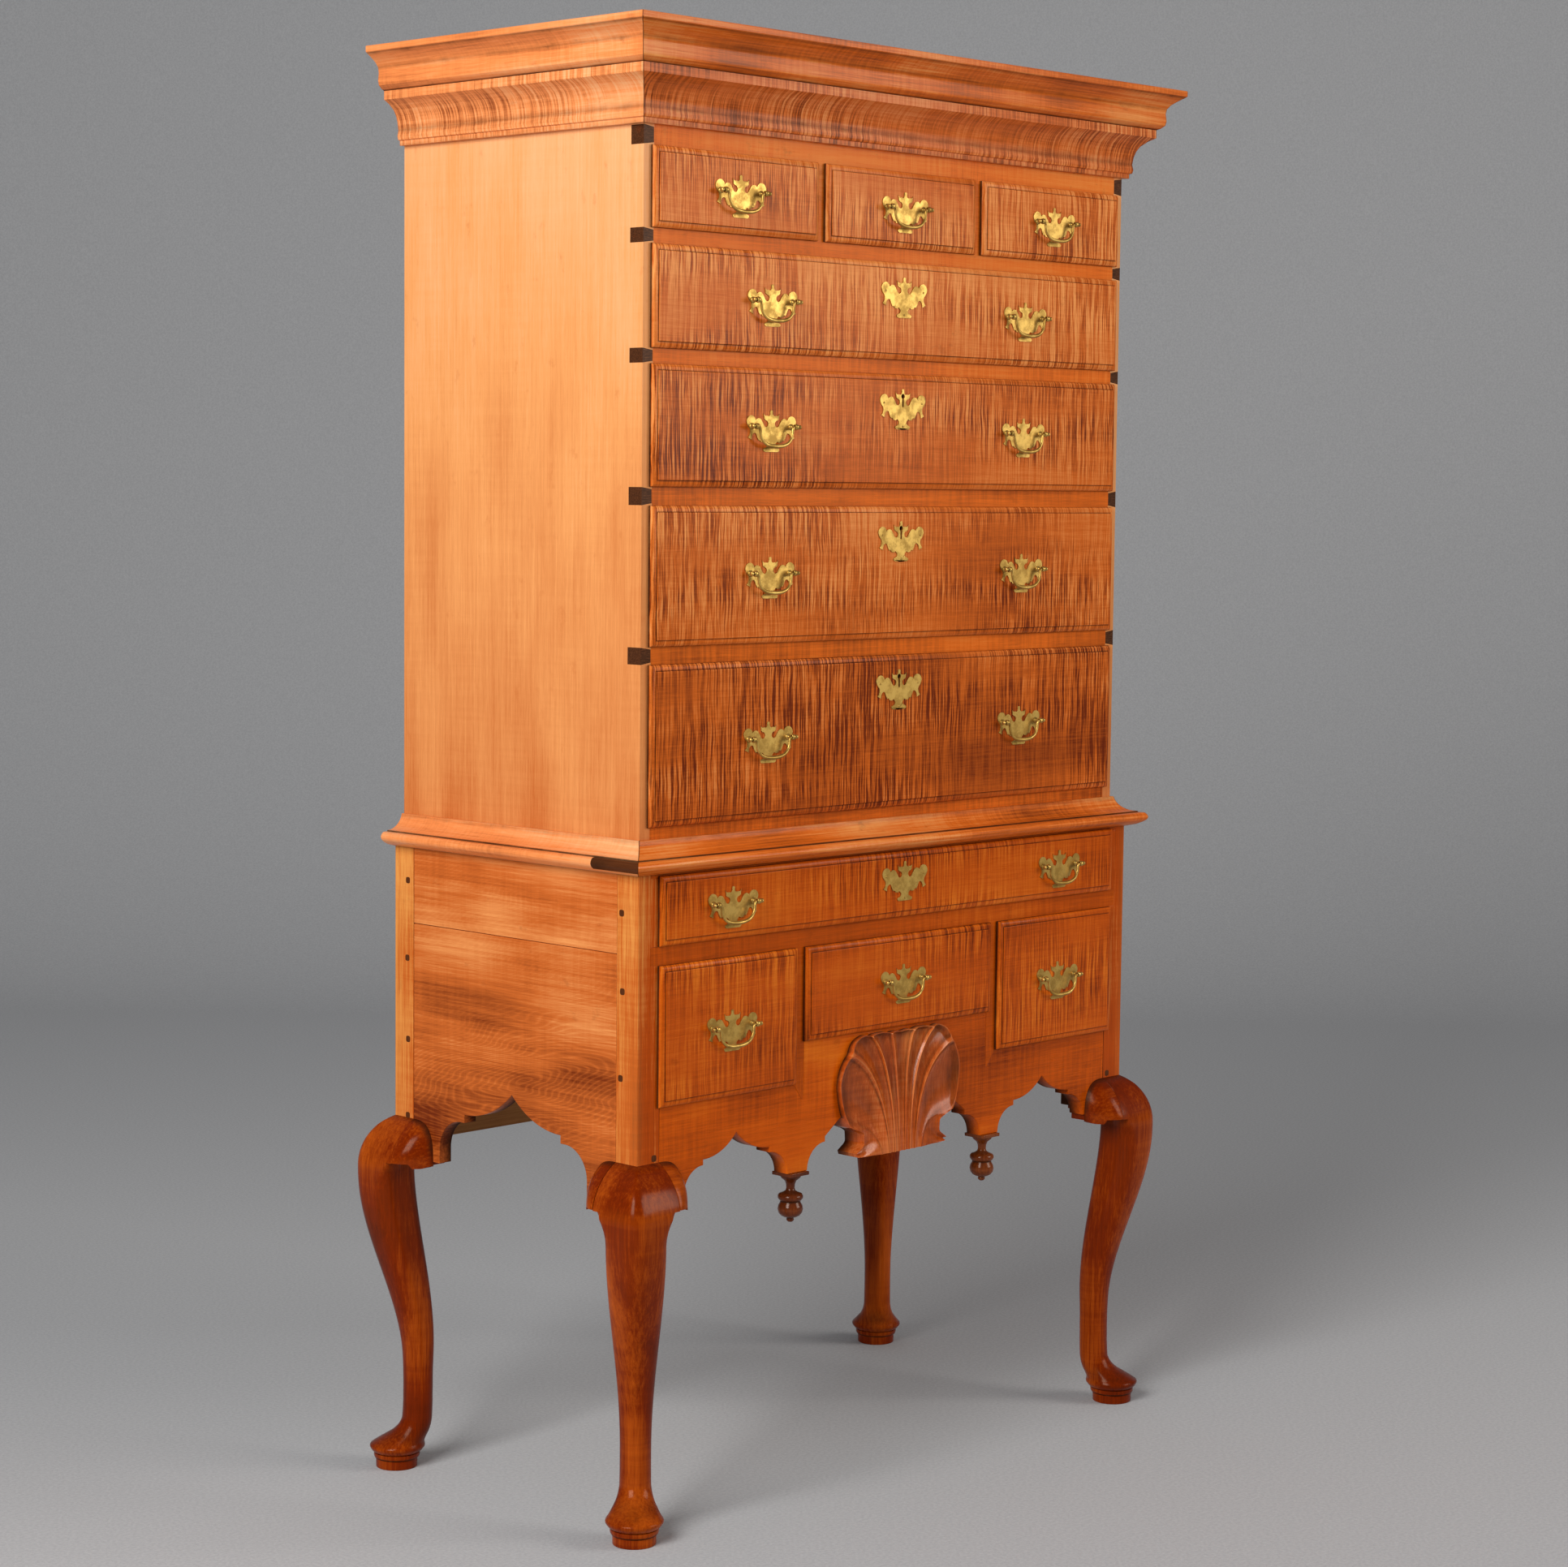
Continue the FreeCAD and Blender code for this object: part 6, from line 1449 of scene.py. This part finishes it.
@dataclass
class Drawer:
    """One drawer: a lipped front, dovetailed sides, a back and a bottom.

    Attributes:
        name: Its name, as its node has it.
        face: The plane of the case's front.
        covers: How far the lip reaches past the opening on the left and on the right.
        finish: The front's wood.
        key_z: Height of the keyhole's middle, or nothing where there is no lock.
        number: Board number of its front.
        play: Room between the box and the opening at each side.
        seat: How far the box stands over the lip's lower edge.
        headroom: How far it ends below the lip's upper edge.
        body: Thickness of the front behind the case's front plane.
        let_in: How far the tails reach into the front.
        side: Thickness of the sides.
        back: Thickness of the back.
        bottom: Thickness of the bottom board.
        groove: Depth of the groove it sits in.
        deep: From the case's front plane to the box's end.
        lip: The lip from its rim inwards: inset, height over the lip's back, and a dark value:
            painted shade with the joint's dirt on the lip's outer edge, painted shade in the quirk,
            and below 0 a painted highlight on the round-over.
    """

    name: str
    face: float
    covers: Corner
    finish: str = "curly_front"
    key_z: float = None
    number: float = 1.0
    play: float = 1.2
    seat: float = 3.0
    headroom: float = 4.2
    body: float = 14.0
    let_in: float = 9.8
    side: float = 12.0
    back: float = 11.0
    bottom: float = 8.0
    groove: float = 4.0
    deep: float = 412.0
    lip: tuple[tuple[float, float, float], ...] = (
        (0, 0, 1.0), (0, 2.4, 0.85), (0.3, 3.5, 0.3), (1.0, 4.5, -0.35), (2.2, 5.5, -0.3),
        (3.9, 6.2, 0.0),
        (5.7, 6.5, 0.1), (7.4, 6.6, 0.45), (8.2, 6.6, 0.95), (8.2, 7.5, 0.35), (8.5, 8, -0.15),
        (11.5, 8, 0))

    def __post_init__(self) -> None:
        """Read the lip's place off the node, and work out the box behind it."""
        low, high = bounds_mm(f"drawer_{self.name}")
        self.x, self.z = (low[0], high[0]), (low[2], high[2])
        left, right = self.covers
        self.box_x = (self.x[0] + left + self.play, self.x[1] - right - self.play)
        self.box_z = (self.z[0] + self.seat, self.z[1] - self.headroom)
        self.shoulder = self.face + self.body
        self.tip = self.shoulder - self.let_in
        self.end = self.face + self.deep
        self.groove_z = (self.box_z[0] + 9.0, self.box_z[0] + 9.0 + self.bottom)

    def keyhole(self) -> np.ndarray:
        """The keyhole's outline about its middle, as x and z: a round head over a slot."""
        angle = np.radians(np.linspace(-64, 244, 19))
        head = np.stack([3.2 * np.cos(angle), 17 + 3.2 * np.sin(angle)], axis=-1)
        top, bottom = (0.0, 20.2), (0.0, 3.0)
        right = head[head[:, 0] > 0.05]
        right = np.concatenate([[bottom, (1.4, 3.0)], right, [top]])
        left = np.concatenate([right[1:-1] * [-1, 1]])[::-1]
        return np.concatenate([right, left])

    def lipped(self) -> Form:
        """The front's show face: rings that step in from the rim while they rise.

        Ring k is the lip's rectangle less an inset all round, at a height over the lip's back.
        Its last ring closes with two faces that leave the keyhole's pocket between them.
        """
        x0, x1, z0, z1 = *self.x, *self.z
        middle = (x0 + x1) / 2
        profile = np.array(self.lip)[:, :, None]
        inset, height, dirt = profile[:, 0], profile[:, 1], profile[:, 2]
        corner = np.array([(x0, z0, 1, 1), (middle, z0, 0, 1), (x1, z0, -1, 1),
                           (x1, z1, -1, -1), (middle, z1, 0, -1), (x0, z1, 1, -1)])
        plan_x = corner[:, 0] + inset * corner[:, 2]
        plan_z = corner[:, 1] + inset * corner[:, 3]
        rings = np.stack([plan_x, np.broadcast_to(self.face - LIP_GAP - height, plan_x.shape),
                          plan_z], axis=-1)
        count = len(rings)
        # The lip's third numbers: painted shade on its outer edge and in the quirk, painted
        # highlight on the round-over.
        soil_and_shading = np.broadcast_to(dirt, (count, 6)).reshape(-1)
        if self.key_z is None:
            return lofted(rings, soil_and_shading.reshape(count, 6)).soiled_and_shaded(soil_and_shading)
        hole = self.keyhole()
        size = len(hole)
        depth = np.array([0, 0.7, 7.6])[:, None]
        wall = np.stack([np.broadcast_to(middle + hole[:, 0], (3, size)),
                         np.broadcast_to(self.face - LIP_OUT + depth, (3, size)),
                         np.broadcast_to(self.key_z + hole[:, 1], (3, size))], axis=-1)
        base, last = count * 6, (count - 1) * 6
        half = int(np.argmax(hole[:, 1])) + 1
        ring = base + np.arange(size)
        right = np.concatenate([last + np.array([1, 2, 3, 4]), ring[:half][::-1]])
        left = np.concatenate([last + np.array([4, 5, 0, 1]), ring[:1], ring[half - 1:][::-1]])
        faces = [grid_faces(count, 6, True), np.arange(6)[None, ::-1], right[None], left[None],
                 grid_faces(3, size, True)[:, ::-1] + base,
                 (base + 2 * size + np.arange(size))[None]]
        points = np.concatenate([rings.reshape(-1, 3), wall.reshape(-1, 3)])
        # Painted shade: the keyhole's walls and floor are dark.
        return Form(points, faces,
                    np.concatenate([soil_and_shading, np.repeat([0.0, 1.0, 1.0], size)])).outward()

    def tails(self) -> np.ndarray:
        """Heights of each dovetail, from low to high: tip, root, root, tip."""
        low, high = self.box_z
        count = max(2, round((high - low) / 58))
        pitch = (high - low) / count
        middle = low + pitch * (np.arange(count) + 0.5)
        return middle[:, None] + pitch * np.array([-0.38, -0.26, 0.26, 0.38])

    def pins(self) -> list[Form]:
        """What the front board keeps between the tails, at its left end."""
        low, high = self.box_z
        tails = self.tails()
        starts = np.concatenate([[[low, low]], tails[:, [3, 2]]])
        ends = np.concatenate([tails[:, [0, 1]], [[high, high]]])
        span = (self.box_x[0], self.box_x[0] + self.side)
        return [sawn(np.array([(self.tip, a[0]), (self.tip, b[0]), (self.shoulder, b[1]),
                               (self.shoulder, a[1])]), Axis.X, *span)
                for a, b in zip(starts, ends)]

    def front(self) -> Form:
        """The front: lipped face, the layer that laps the tails, pins, and its middle.

        The middle is grooved for the bottom board and, where there is a lock, hollowed for it.
        """
        x0, x1, z0, z1 = *self.box_x, *self.box_z
        lap = block((x0, x1), (self.face - 0.31, self.tip), (z0, z1))
        lock = self.key_z is not None
        xs = [x0 + self.side, -30.0, 30.0, x1 - self.side] if lock else [x0 + self.side, x1
                                                                         - self.side]
        zs = [z0, *self.groove_z] + ([z1 - 40] if lock else []) + [z1]
        ys = [self.tip, self.face + 5, self.shoulder - self.groove, self.shoulder]
        solid = np.ones((len(xs) - 1, 3, len(zs) - 1), bool)
        solid[:, 2, 1] = False
        if lock:
            solid[1, 1:, -1] = False
        middle = cells(xs, ys, zs, solid)
        left = self.pins()
        centre = (x0 + x1) / 2
        right = [p.opposite(centre).outward() for p in left]
        inside = joined([lap, middle] + left + right).soiled_and_shaded(0.1)
        return joined([self.lipped(), inside])

    def sides(self) -> Form:
        """Both sides, their front ends cut to tails, grooved for the bottom."""
        z0, z1 = self.box_z
        tails = self.tails()[::-1]
        steps = np.stack([np.full(len(tails), self.shoulder), np.full(len(tails), self.tip),
                          np.full(len(tails), self.tip), np.full(len(tails), self.shoulder)],
                          axis=-1)
        way = np.stack([steps, tails[:, [2, 3, 0, 1]]], axis=-1).reshape(-1, 2)
        outline = np.concatenate([[(self.shoulder, z0), (self.end, z0), (self.end, z1),
                                   (self.shoulder, z1)],
                                  way])
        x0 = self.box_x[0]
        g0, g1 = self.groove_z
        outer = sawn(outline, Axis.X, x0, x0 + self.side - self.groove)
        plank = [block((x0 + self.side - self.groove - 0.01, x0 + self.side),
                       (self.shoulder, self.end), z)
                 for z in ((z0, g0), (g1, z1))]
        tail_ends = [sawn(np.array([(self.shoulder + 0.01, t[1]), (self.shoulder + 0.01, t[2]),
                                    (self.tip, t[3]), (self.tip, t[0])]), Axis.X,
                          x0 + self.side - self.groove - 0.01, x0 + self.side) for t in tails]
        left = joined([outer] + plank + tail_ends)
        centre = (self.box_x[0] + self.box_x[1]) / 2
        right = left.opposite(centre)
        return joined([left.numbered(self.number + 31), right.numbered(self.number + 37)])

    def behind(self) -> Form:
        """The back board, and the bottom in its grooves."""
        x0, x1 = self.box_x
        g0, g1 = self.groove_z
        back = block((x0 + self.side, x1 - self.side), (self.end - self.back, self.end),
                     (g1, self.box_z[1] - 6))
        bottom = block((x0 + self.side - self.groove + 0.1, x1 - self.side + self.groove - 0.1),
                       (self.shoulder, self.end - 0.2), (g0 + 0.05, g1 - 0.05))
        tongue = block((x0 + self.side, x1 - self.side),
                       (self.shoulder - self.groove, self.shoulder + 0.1),
                       (g0 + 0.05, g1 - 0.05))
        return joined([back.numbered(self.number + 41), bottom.numbered(self.number + 47),
                       tongue.numbered(self.number + 47)])

    def build(self, palette: Palette) -> None:
        """Make and dress the drawer."""
        body, node = f"drawer_{self.name}", [f"drawer_{self.name}"]
        make_piece(f"front_{self.name}", self.front().numbered(self.number), body,
                   palette.wood(self.finish, Axis.X), node, smooth=30, bevel=0.35)
        make_piece(f"sides_{self.name}", self.sides(), body,
                   palette.wood("box_pine", Axis.Y),
                   node, bevel=0.5)
        make_piece(f"box_{self.name}", self.behind(), body,
                   palette.wood("box_pine", Axis.X),
                   node, bevel=0.5)


# --- brasses --------------------------------------------------------------------------------


@dataclass
class BrassPlate:
    """The cast back plate: a finial with two ears over a wide two-lobed body and a foot.

    Its edge goes round the right half from the top, each arc's radius below 0 where it bulges.
    """

    thickness: float = 1.2
    half: tuple[Corner, ...] = (
        (0.9, 26, -2.1), (2.1, 23.1, 3.6), (7.6, 19.2, 5.2), (14.3, 21.7, 11), (12.9, 14.8, 4),
        (10.5, 13.2, 4.5), (5.8, 9.3, 4.5), (9.8, 4.8, 5.4), (14.2, 8.4), (17.6, 13.1, -6.4),
        (28.2, 12.7, -7.6), (37.2, 18.8, -8.2), (43.9, 11.2, -15), (38.4, 2.6, 7), (37.6, -3.2, 9),
        (41.5, -8.3), (34.9, -11.2, 8), (31.2, -2.9, 4.4), (27.2, -3.5, -40), (22.4, -12.2, 2.3),
        (18.3, -13.7), (13.0, -14.4, 2.3), (8.7, -14.6, 3), (7.1, -18.2, 3), (9.2, -20.3),
        (13.7, -22.2, -1.9), (13.2, -25), (11.4, -26))

    def form(self, keyed: bool = False) -> Form:
        """The plate, its back at Y 0, its middle at the origin.

        Args:
            keyed: Whether a keyhole goes through.

        Returns:
            The plate. With a keyhole each skin is two faces that meet above and below the hole.
        """
        edge = run(mirror_outline(list(self.half)), 0.9)
        if not keyed:
            return sawn(edge, Axis.Y, -self.thickness, 0)
        angle = np.radians(np.linspace(-60, 240, 17))
        head = np.stack([3.3 * np.cos(angle), 17 + 3.3 * np.sin(angle)], axis=-1)
        head[:, 1] -= 0.3
        hole = np.concatenate([[(-1.5, 2.6), (0, 2.6), (1.5, 2.6)], head])
        top = int(np.argmax(hole[:, 1]))
        hole[top, 0] = 0.0
        low = int(np.argmin(np.abs(edge[:, 0]) + (edge[:, 1] > 0) * 99))
        edge = np.insert(edge, low + 1, (0.0, -26.0), axis=0) if abs(edge[low, 0]) > 0.2 else edge
        low = int(np.argmin(np.abs(edge[:, 0]) + (edge[:, 1] > 0) * 99))
        edge = np.concatenate([[(0.0, 26.0)], edge])
        low += 1
        count, size = len(edge), len(hole)
        outer, ring = np.arange(count), count + np.arange(size)
        right = np.concatenate([outer[:low + 1], ring[1:top + 1]])
        left = np.concatenate([outer[low:], outer[:1], ring[top:], ring[:2]])
        both = np.concatenate([edge, hole])
        total = len(both)
        points = np.concatenate([np.insert(both, 1, -self.thickness, axis=1),
                                 np.insert(both, 1, 0, axis=1)])
        after, turn = np.roll(outer, -1), np.roll(ring, -1)
        walls = np.stack([outer, after, after + total, outer + total], axis=-1)
        inner = np.stack([ring, turn, turn + total, ring + total], axis=-1)
        return Form(points, [right[None], left[None], right[None, ::-1] + total, left[None, ::-1]
                             + total,
                             walls[:, ::-1], inner[:, ::-1]]).outward()


@dataclass
class Bail:
    """The swinging bail and the posts that hold it."""

    boring: float = 35.0
    eye_out: float = 9.0
    way: tuple[Corner, ...] = (
        (0, 43.3, 0, 0.5), (0.02, 43.0, 0, 1.9), (0.06, 41.9, 0, 2.8), (0.10, 40.5, 0, 2.8),
        (0.14, 39.3, 0, 1.9), (0.17, 38.6, 0, 1.4), (0.33, 32.6, 0, 1.45), (0.38, 30.6, -0.7, 1.7),
        (0.44, 29.3, -3.2, 1.8), (0.56, 28.4, -10, 1.8), (0.68, 25.2, -16.6, 1.9),
        (0.80, 18.2, -21.8, 2.2), (0.91, 8.6, -24.1, 2.5), (1, 0, -24.6, 2.6))

    def bow(self) -> Form:
        """The bail: a round bar whose way and thickness go through stations on a smooth curve."""
        share = np.concatenate([np.linspace(0, 0.16, 10), np.linspace(0.2, 1, 40)])
        x, z, radius = curved(self.way, share).T
        half = np.stack([x, np.zeros_like(x), z], axis=-1)
        path = np.concatenate([half, half[-2::-1] * [-1, 1, 1]])
        return swept(path, np.concatenate([radius, radius[-2::-1]]), 14)

    def eye(self) -> Form:
        """One eye: a round-backed ring about the X axis, its section an oval."""
        angle = np.arange(15) * 2 * math.pi / 14
        along, reach = 2.9 * np.cos(angle), 2.85 + 1.1 * np.sin(angle)
        cosine, sine = directions(24)
        rings = np.stack([np.broadcast_to(along[:, None], (15, 24)), reach[:, None] * cosine,
                          reach[:, None] * sine], axis=-1)
        return lofted(rings, capped=False)

    def stem(self) -> Form:
        """The post's stem with its collar, turned about Y, from the plate to the eye."""
        profile = np.array([(3.9, 0.0), (4.1, 0.5), (3.8, 1.2), (2.6, 1.9), (2.0, 2.8), (1.9, 4.2),
                            (2.4, 5.9),
                            (2.2, 6.4)])
        return turned(profile, 20).laid(-1)

    def posts(self) -> Form:
        """Both posts of a handle, standing on a plate whose face is at Y 0."""
        one = joined([self.stem(), self.eye().moved(y=-self.eye_out)])
        return joined([one.moved(self.boring * sign) for sign in (-1, 1)])


@dataclass
class Brasses:
    """All the brass on one drawer.

    Attributes:
        drawer: The drawer.
        handles: Names of its handles' bodies.
        plate_z: Height of the escutcheon's middle, or nothing.
        lock: Whether it has a lock.
        above: How far a bail's pivot stands over its plate's middle.
        nut: Side of the square nuts.
    """

    drawer: Drawer
    handles: tuple[str, ...]
    plate_z: float = None
    lock: bool = False
    above: float = 5.5
    nut: float = 11.0

    def pivot(self, handle: str) -> np.ndarray:
        """Where a handle's bail swings, in millimetres."""
        low, high = bounds_mm(handle)
        lift = 1.7 * math.sqrt(3) / 2
        return np.array([(low[0] + high[0]) / 2, (low[1] + high[1]) / 2, high[2] - lift])

    def lock_case(self) -> Form:
        """The lock's case, with a slot in its top for the bolt."""
        low, high = bounds_mm(f"lock_bolt_{self.drawer.name}")
        top, face = self.drawer.box_z[1], self.drawer.face
        xs = [-30, low[0] - 0.3, high[0] + 0.3, 30]
        ys = [face + 5, low[1] - 0.3, high[1] + 0.3, face + 14]
        solid = np.ones((3, 3, 2), bool)
        solid[1, 1, 1] = False
        return cells(xs, ys, [top - 40, low[2] - 0.3, top], solid)

    def build(self, palette: Palette) -> None:
        """Make and dress plates, posts, nuts, lock and bails."""
        drawer, plate, bail = self.drawer, BrassPlate(), Bail()
        y = drawer.face - LIP_OUT
        name, body = drawer.name, f"drawer_{drawer.name}"
        forms, posts, inner = [], [], []
        for handle in self.handles:
            x, _, z = self.pivot(handle)
            seed = x + z
            forms.append(plate.form().moved(x, y, z - self.above).numbered(seed))
            posts.append(bail.posts().moved(x, y - plate.thickness, z).numbered(seed + 3))
            for sign in (-1, 1):
                at, half = x + sign * bail.boring, self.nut / 2
                inner.append(block((at - half, at + half), (drawer.shoulder, drawer.shoulder + 4),
                                   (z - half, z + half)).numbered(seed))
                inner.append(block((at - 1.6, at + 1.6),
                                   (drawer.shoulder + 3.9, drawer.shoulder + 5.9),
                                   (z - 1.6, z + 1.6)).numbered(seed))
            bow = bail.bow().moved(x, y - plate.thickness - bail.eye_out, z)
            lowest = bow.points[:, 2] - z
            dirt = 0.25 - 0.5 * eased(-(lowest + 10) / 12)
            make_piece(handle.replace("bail_", "handle_"), bow.soiled_and_shaded(dirt).numbered(seed + 9),
                       handle,
                       palette.metal("brass_cast"), [handle], smooth=40)
        if self.plate_z is not None:
            keyed = drawer.key_z is not None
            forms.append(plate.form(keyed).moved(0, y, self.plate_z).numbered(drawer.number))
            pin = turned(np.array([(0.2, 1.0), (1.1, 0.8), (1.5, 0.3), (1.5, -0.4)]), 10).laid(-1)
            posts += [pin.moved(px, y - plate.thickness, self.plate_z + pz).numbered(px)
                      for px, pz in ((-36.5, 7.9), (36.5, 7.9), (0, -22.4))]
        if self.lock:
            inner.append(self.lock_case().numbered(3.0))
        node = [f"brasses_{name}"]
        brass = palette.metal("brass_cast")
        make_piece(f"plates_{name}", joined(forms), body, brass, node, smooth=20,
                   bevel=0.4)
        make_piece(f"posts_{name}", joined(posts), body, brass, node, smooth=45)
        make_piece(f"fittings_{name}", joined(inner), body, brass, node, bevel=0.4)


# --- the whole ------------------------------------------------------------------------------


@dataclass
class LowerCase:
    """Everything of the lower case but its drawers."""

    def build(self, palette: Palette) -> None:
        """Build the legs, boards, carving and mouldings."""
        for corner in CORNERS:
            CabrioleLeg(corner).build(palette)
        for part in (KneeBrackets(), Apron(), CarvedShell(), LowerSides(), Pendants(), Pegs()):
            part.build(palette)
        WAIST.build(palette, ["waist_moulding"])
        WaistInsert().build(palette)
        keep_node("lower_back", palette.wood("back_pine", Axis.X))
        keep_node("lower_drawer_frame", palette.wood("lower_rail", Axis.X))


@dataclass
class UpperCase:
    """Everything of the upper case but its drawers."""

    def build(self, palette: Palette) -> None:
        """Build the cornice and the back, and dress what the construction gives."""
        CROWN.build(palette, ["cornice"])
        COVE.build(palette, ["cornice"])
        BackBoards().build(palette)
        for side in ("left", "right"):
            keep_node(f"upper_side_{side}", palette.wood("case_side", Axis.Z))
        keep_node("upper_top_and_bottom", palette.wood("case_side", Axis.X))
        keep_node("upper_drawer_frame", palette.wood("rail", Axis.X))


@dataclass
class Drawers:
    """All eleven drawers with their brasses."""

    at_case: float = 5.5
    at_rail: float = 2.7
    key_below: float = 45.0
    lower_key_below: float = 39.0

    def row(self, palette: Palette, level: str, face: float, finish: str, first: float,
            step: float) -> None:
        """Three drawers side by side, one handle each; board numbers go up from first by step."""
        case, rail = self.at_case, self.at_rail
        places = (("left", (case, rail)), ("middle", (rail, rail)), ("right", (rail, case)))
        for index, (side, covers) in enumerate(places):
            drawer = Drawer(f"{level}_{side}", face, covers, finish, number=first + index * step)
            drawer.build(palette)
            Brasses(drawer, (f"bail_{level}_{side}",)).build(palette)

    def long(self, palette: Palette, drawer: Drawer, key_below: float) -> None:
        """A drawer of the case's full width, with two handles and an escutcheon."""
        drawer.build(palette)
        handles = tuple(f"bail_{drawer.name}_{side}" for side in ("left", "right"))
        Brasses(drawer, handles, drawer.z[1] - key_below, drawer.key_z is not None).build(palette)

    def build(self, palette: Palette) -> None:
        """Build them from the top down."""
        covers = (self.at_case, self.at_case)
        self.row(palette, "small", UPPER_FRONT, "curly_front", 2.3, 1.9)
        for index in range(1, 5):
            key_z = bounds_mm(f"drawer_long_{index}")[1][2] - self.key_below
            self.long(palette, Drawer(f"long_{index}", UPPER_FRONT, covers, number=8.1
                                      + index * 2.7,
                                      key_z=key_z if index > 1 else None), self.key_below)
        self.long(palette, Drawer("lower_long", LOWER_FRONT, covers, "curly_lower_front",
                                  number=23.7),
                  self.lower_key_below)
        self.row(palette, "lower", LOWER_FRONT, "curly_lower_front", 27.9, 2.1)
        for index in (2, 3, 4):
            keep_node(f"lock_bolt_long_{index}", palette.metal("iron_nail"))


@dataclass
class Studio:
    """Floor, backdrop, lamps and camera; lengths in metres."""

    eye: Colour = (-3.2492, -3.1519, 1.3023)
    yaw: float = -0.8028
    pitch: float = -0.0888
    roll: float = 0.0105
    lens: float = 76.845
    key_power: float = 235.0
    fill_power: float = 122.0
    world_power: float = 0.16

    def surface(self, name: str, base: Colour, other: Colour, scale: float) -> bpy.types.Material:
        """A pale speckled cloth for the floor and the backdrop it bends up into."""
        shader = Shader(name)
        speck = shader.even_noise(shader.place(), scale, 2.0, 0.6)
        colour = shader.mixed(speck.rise(0.2, 0.8), base, other)
        return shader.finish(colour, 0.95, speck, 0.4, strength=0.3, specular=0.1)

    def floor(self) -> None:
        """A floor that bends up into a backdrop behind the object, square to the view."""
        bend = np.linspace(0, math.pi / 2, 16)
        way = np.concatenate([[[-9.0, 0.0]],
                              np.stack([3.6 + 1.6 * np.sin(bend), 1.6 - 1.6 * np.cos(bend)],
                                                      axis=-1), [[5.2, 9.0]]])
        across = np.array([-11.0, 11.0])
        ahead = np.array([-math.sin(self.yaw), math.cos(self.yaw), 0])
        aside = np.array([math.cos(self.yaw), math.sin(self.yaw), 0])
        grid = (way[:, :1, None] * ahead + across[None, :, None] * aside
                + way[:, 1:, None] * np.array([0, 0, 1.0]))
        mesh = bpy.data.meshes.new("floor")
        mesh.from_pydata(grid.reshape(-1, 3).tolist(), [], grid_faces(len(way), 2, False).tolist())
        mesh.shade_smooth()
        mesh.materials.append(self.surface("floor_cloth", paint(200, 201, 203),
                                           paint(184, 185, 188), 210.0))
        piece = bpy.data.objects.new("floor", mesh)
        bpy.context.scene.collection.objects.link(piece)

    def lamp(self, name: str, place: Colour, target: Colour, size: Corner, power: float,
             colour: Colour = (1, 1, 1)) -> None:
        """A soft rectangular lamp aimed at a point."""
        light = bpy.data.lights.new(name, "AREA")
        light.shape, light.size, light.size_y = "RECTANGLE", *size
        light.energy, light.color = power, colour
        lamp = bpy.data.objects.new(name, light)
        lamp.location = place
        lamp.rotation_euler = (Vector(target) - Vector(place)).to_track_quat("-Z", "Y").to_euler()
        bpy.context.scene.collection.objects.link(lamp)

    def camera(self) -> None:
        """The camera, from its yaw, pitch and roll."""
        sine, cosine = math.sin(self.yaw), math.cos(self.yaw)
        ahead = Vector((-sine * math.cos(self.pitch), cosine * math.cos(self.pitch),
                        math.sin(self.pitch)))
        right = Vector((cosine, sine, 0.0))
        above = right.cross(ahead)
        level, tilt = math.cos(self.roll), math.sin(self.roll)
        x, y = right * level + above * tilt, above * level - right * tilt
        data = bpy.data.cameras.new("camera")
        data.lens, data.sensor_width, data.clip_end = self.lens, 36.0, 60.0
        eye = bpy.data.objects.new("camera", data)
        turn = Matrix((x, y, -ahead)).transposed().to_4x4()
        eye.matrix_world = Matrix.Translation(self.eye) @ turn
        bpy.context.scene.collection.objects.link(eye)
        bpy.context.scene.camera = eye

    def world(self) -> None:
        """Even light from all round."""
        world = bpy.data.worlds.new("studio")
        world.use_nodes = True
        back = world.node_tree.nodes["Background"]
        back.inputs["Color"].default_value = (0.93, 0.96, 1.0, 1)
        back.inputs["Strength"].default_value = self.world_power
        bpy.context.scene.world = world

    def build(self) -> None:
        """Set up the studio."""
        self.floor()
        self.world()
        self.lamp("key", (-4.6, -1.2, 3.1), (-0.3, 0.0, 1.0), (2.4, 2.8), self.key_power,
                  (1.0, 0.985, 0.96))
        self.lamp("fill", (3.0, -4.4, 2.5), (0.2, 0.0, 0.85), (2.6, 2.6), self.fill_power,
                  (1.0, 0.95, 0.89))
        self.camera()
        bpy.context.scene.view_settings.view_transform = "Standard"


def main() -> None:
    """Build everything in order."""
    logging.basicConfig(level=logging.INFO, format="%(message)s")
    palette = Palette()
    LowerCase().build(palette)
    UpperCase().build(palette)
    Drawers().build(palette)
    Studio().build()


if __name__ == "__main__":
    main()
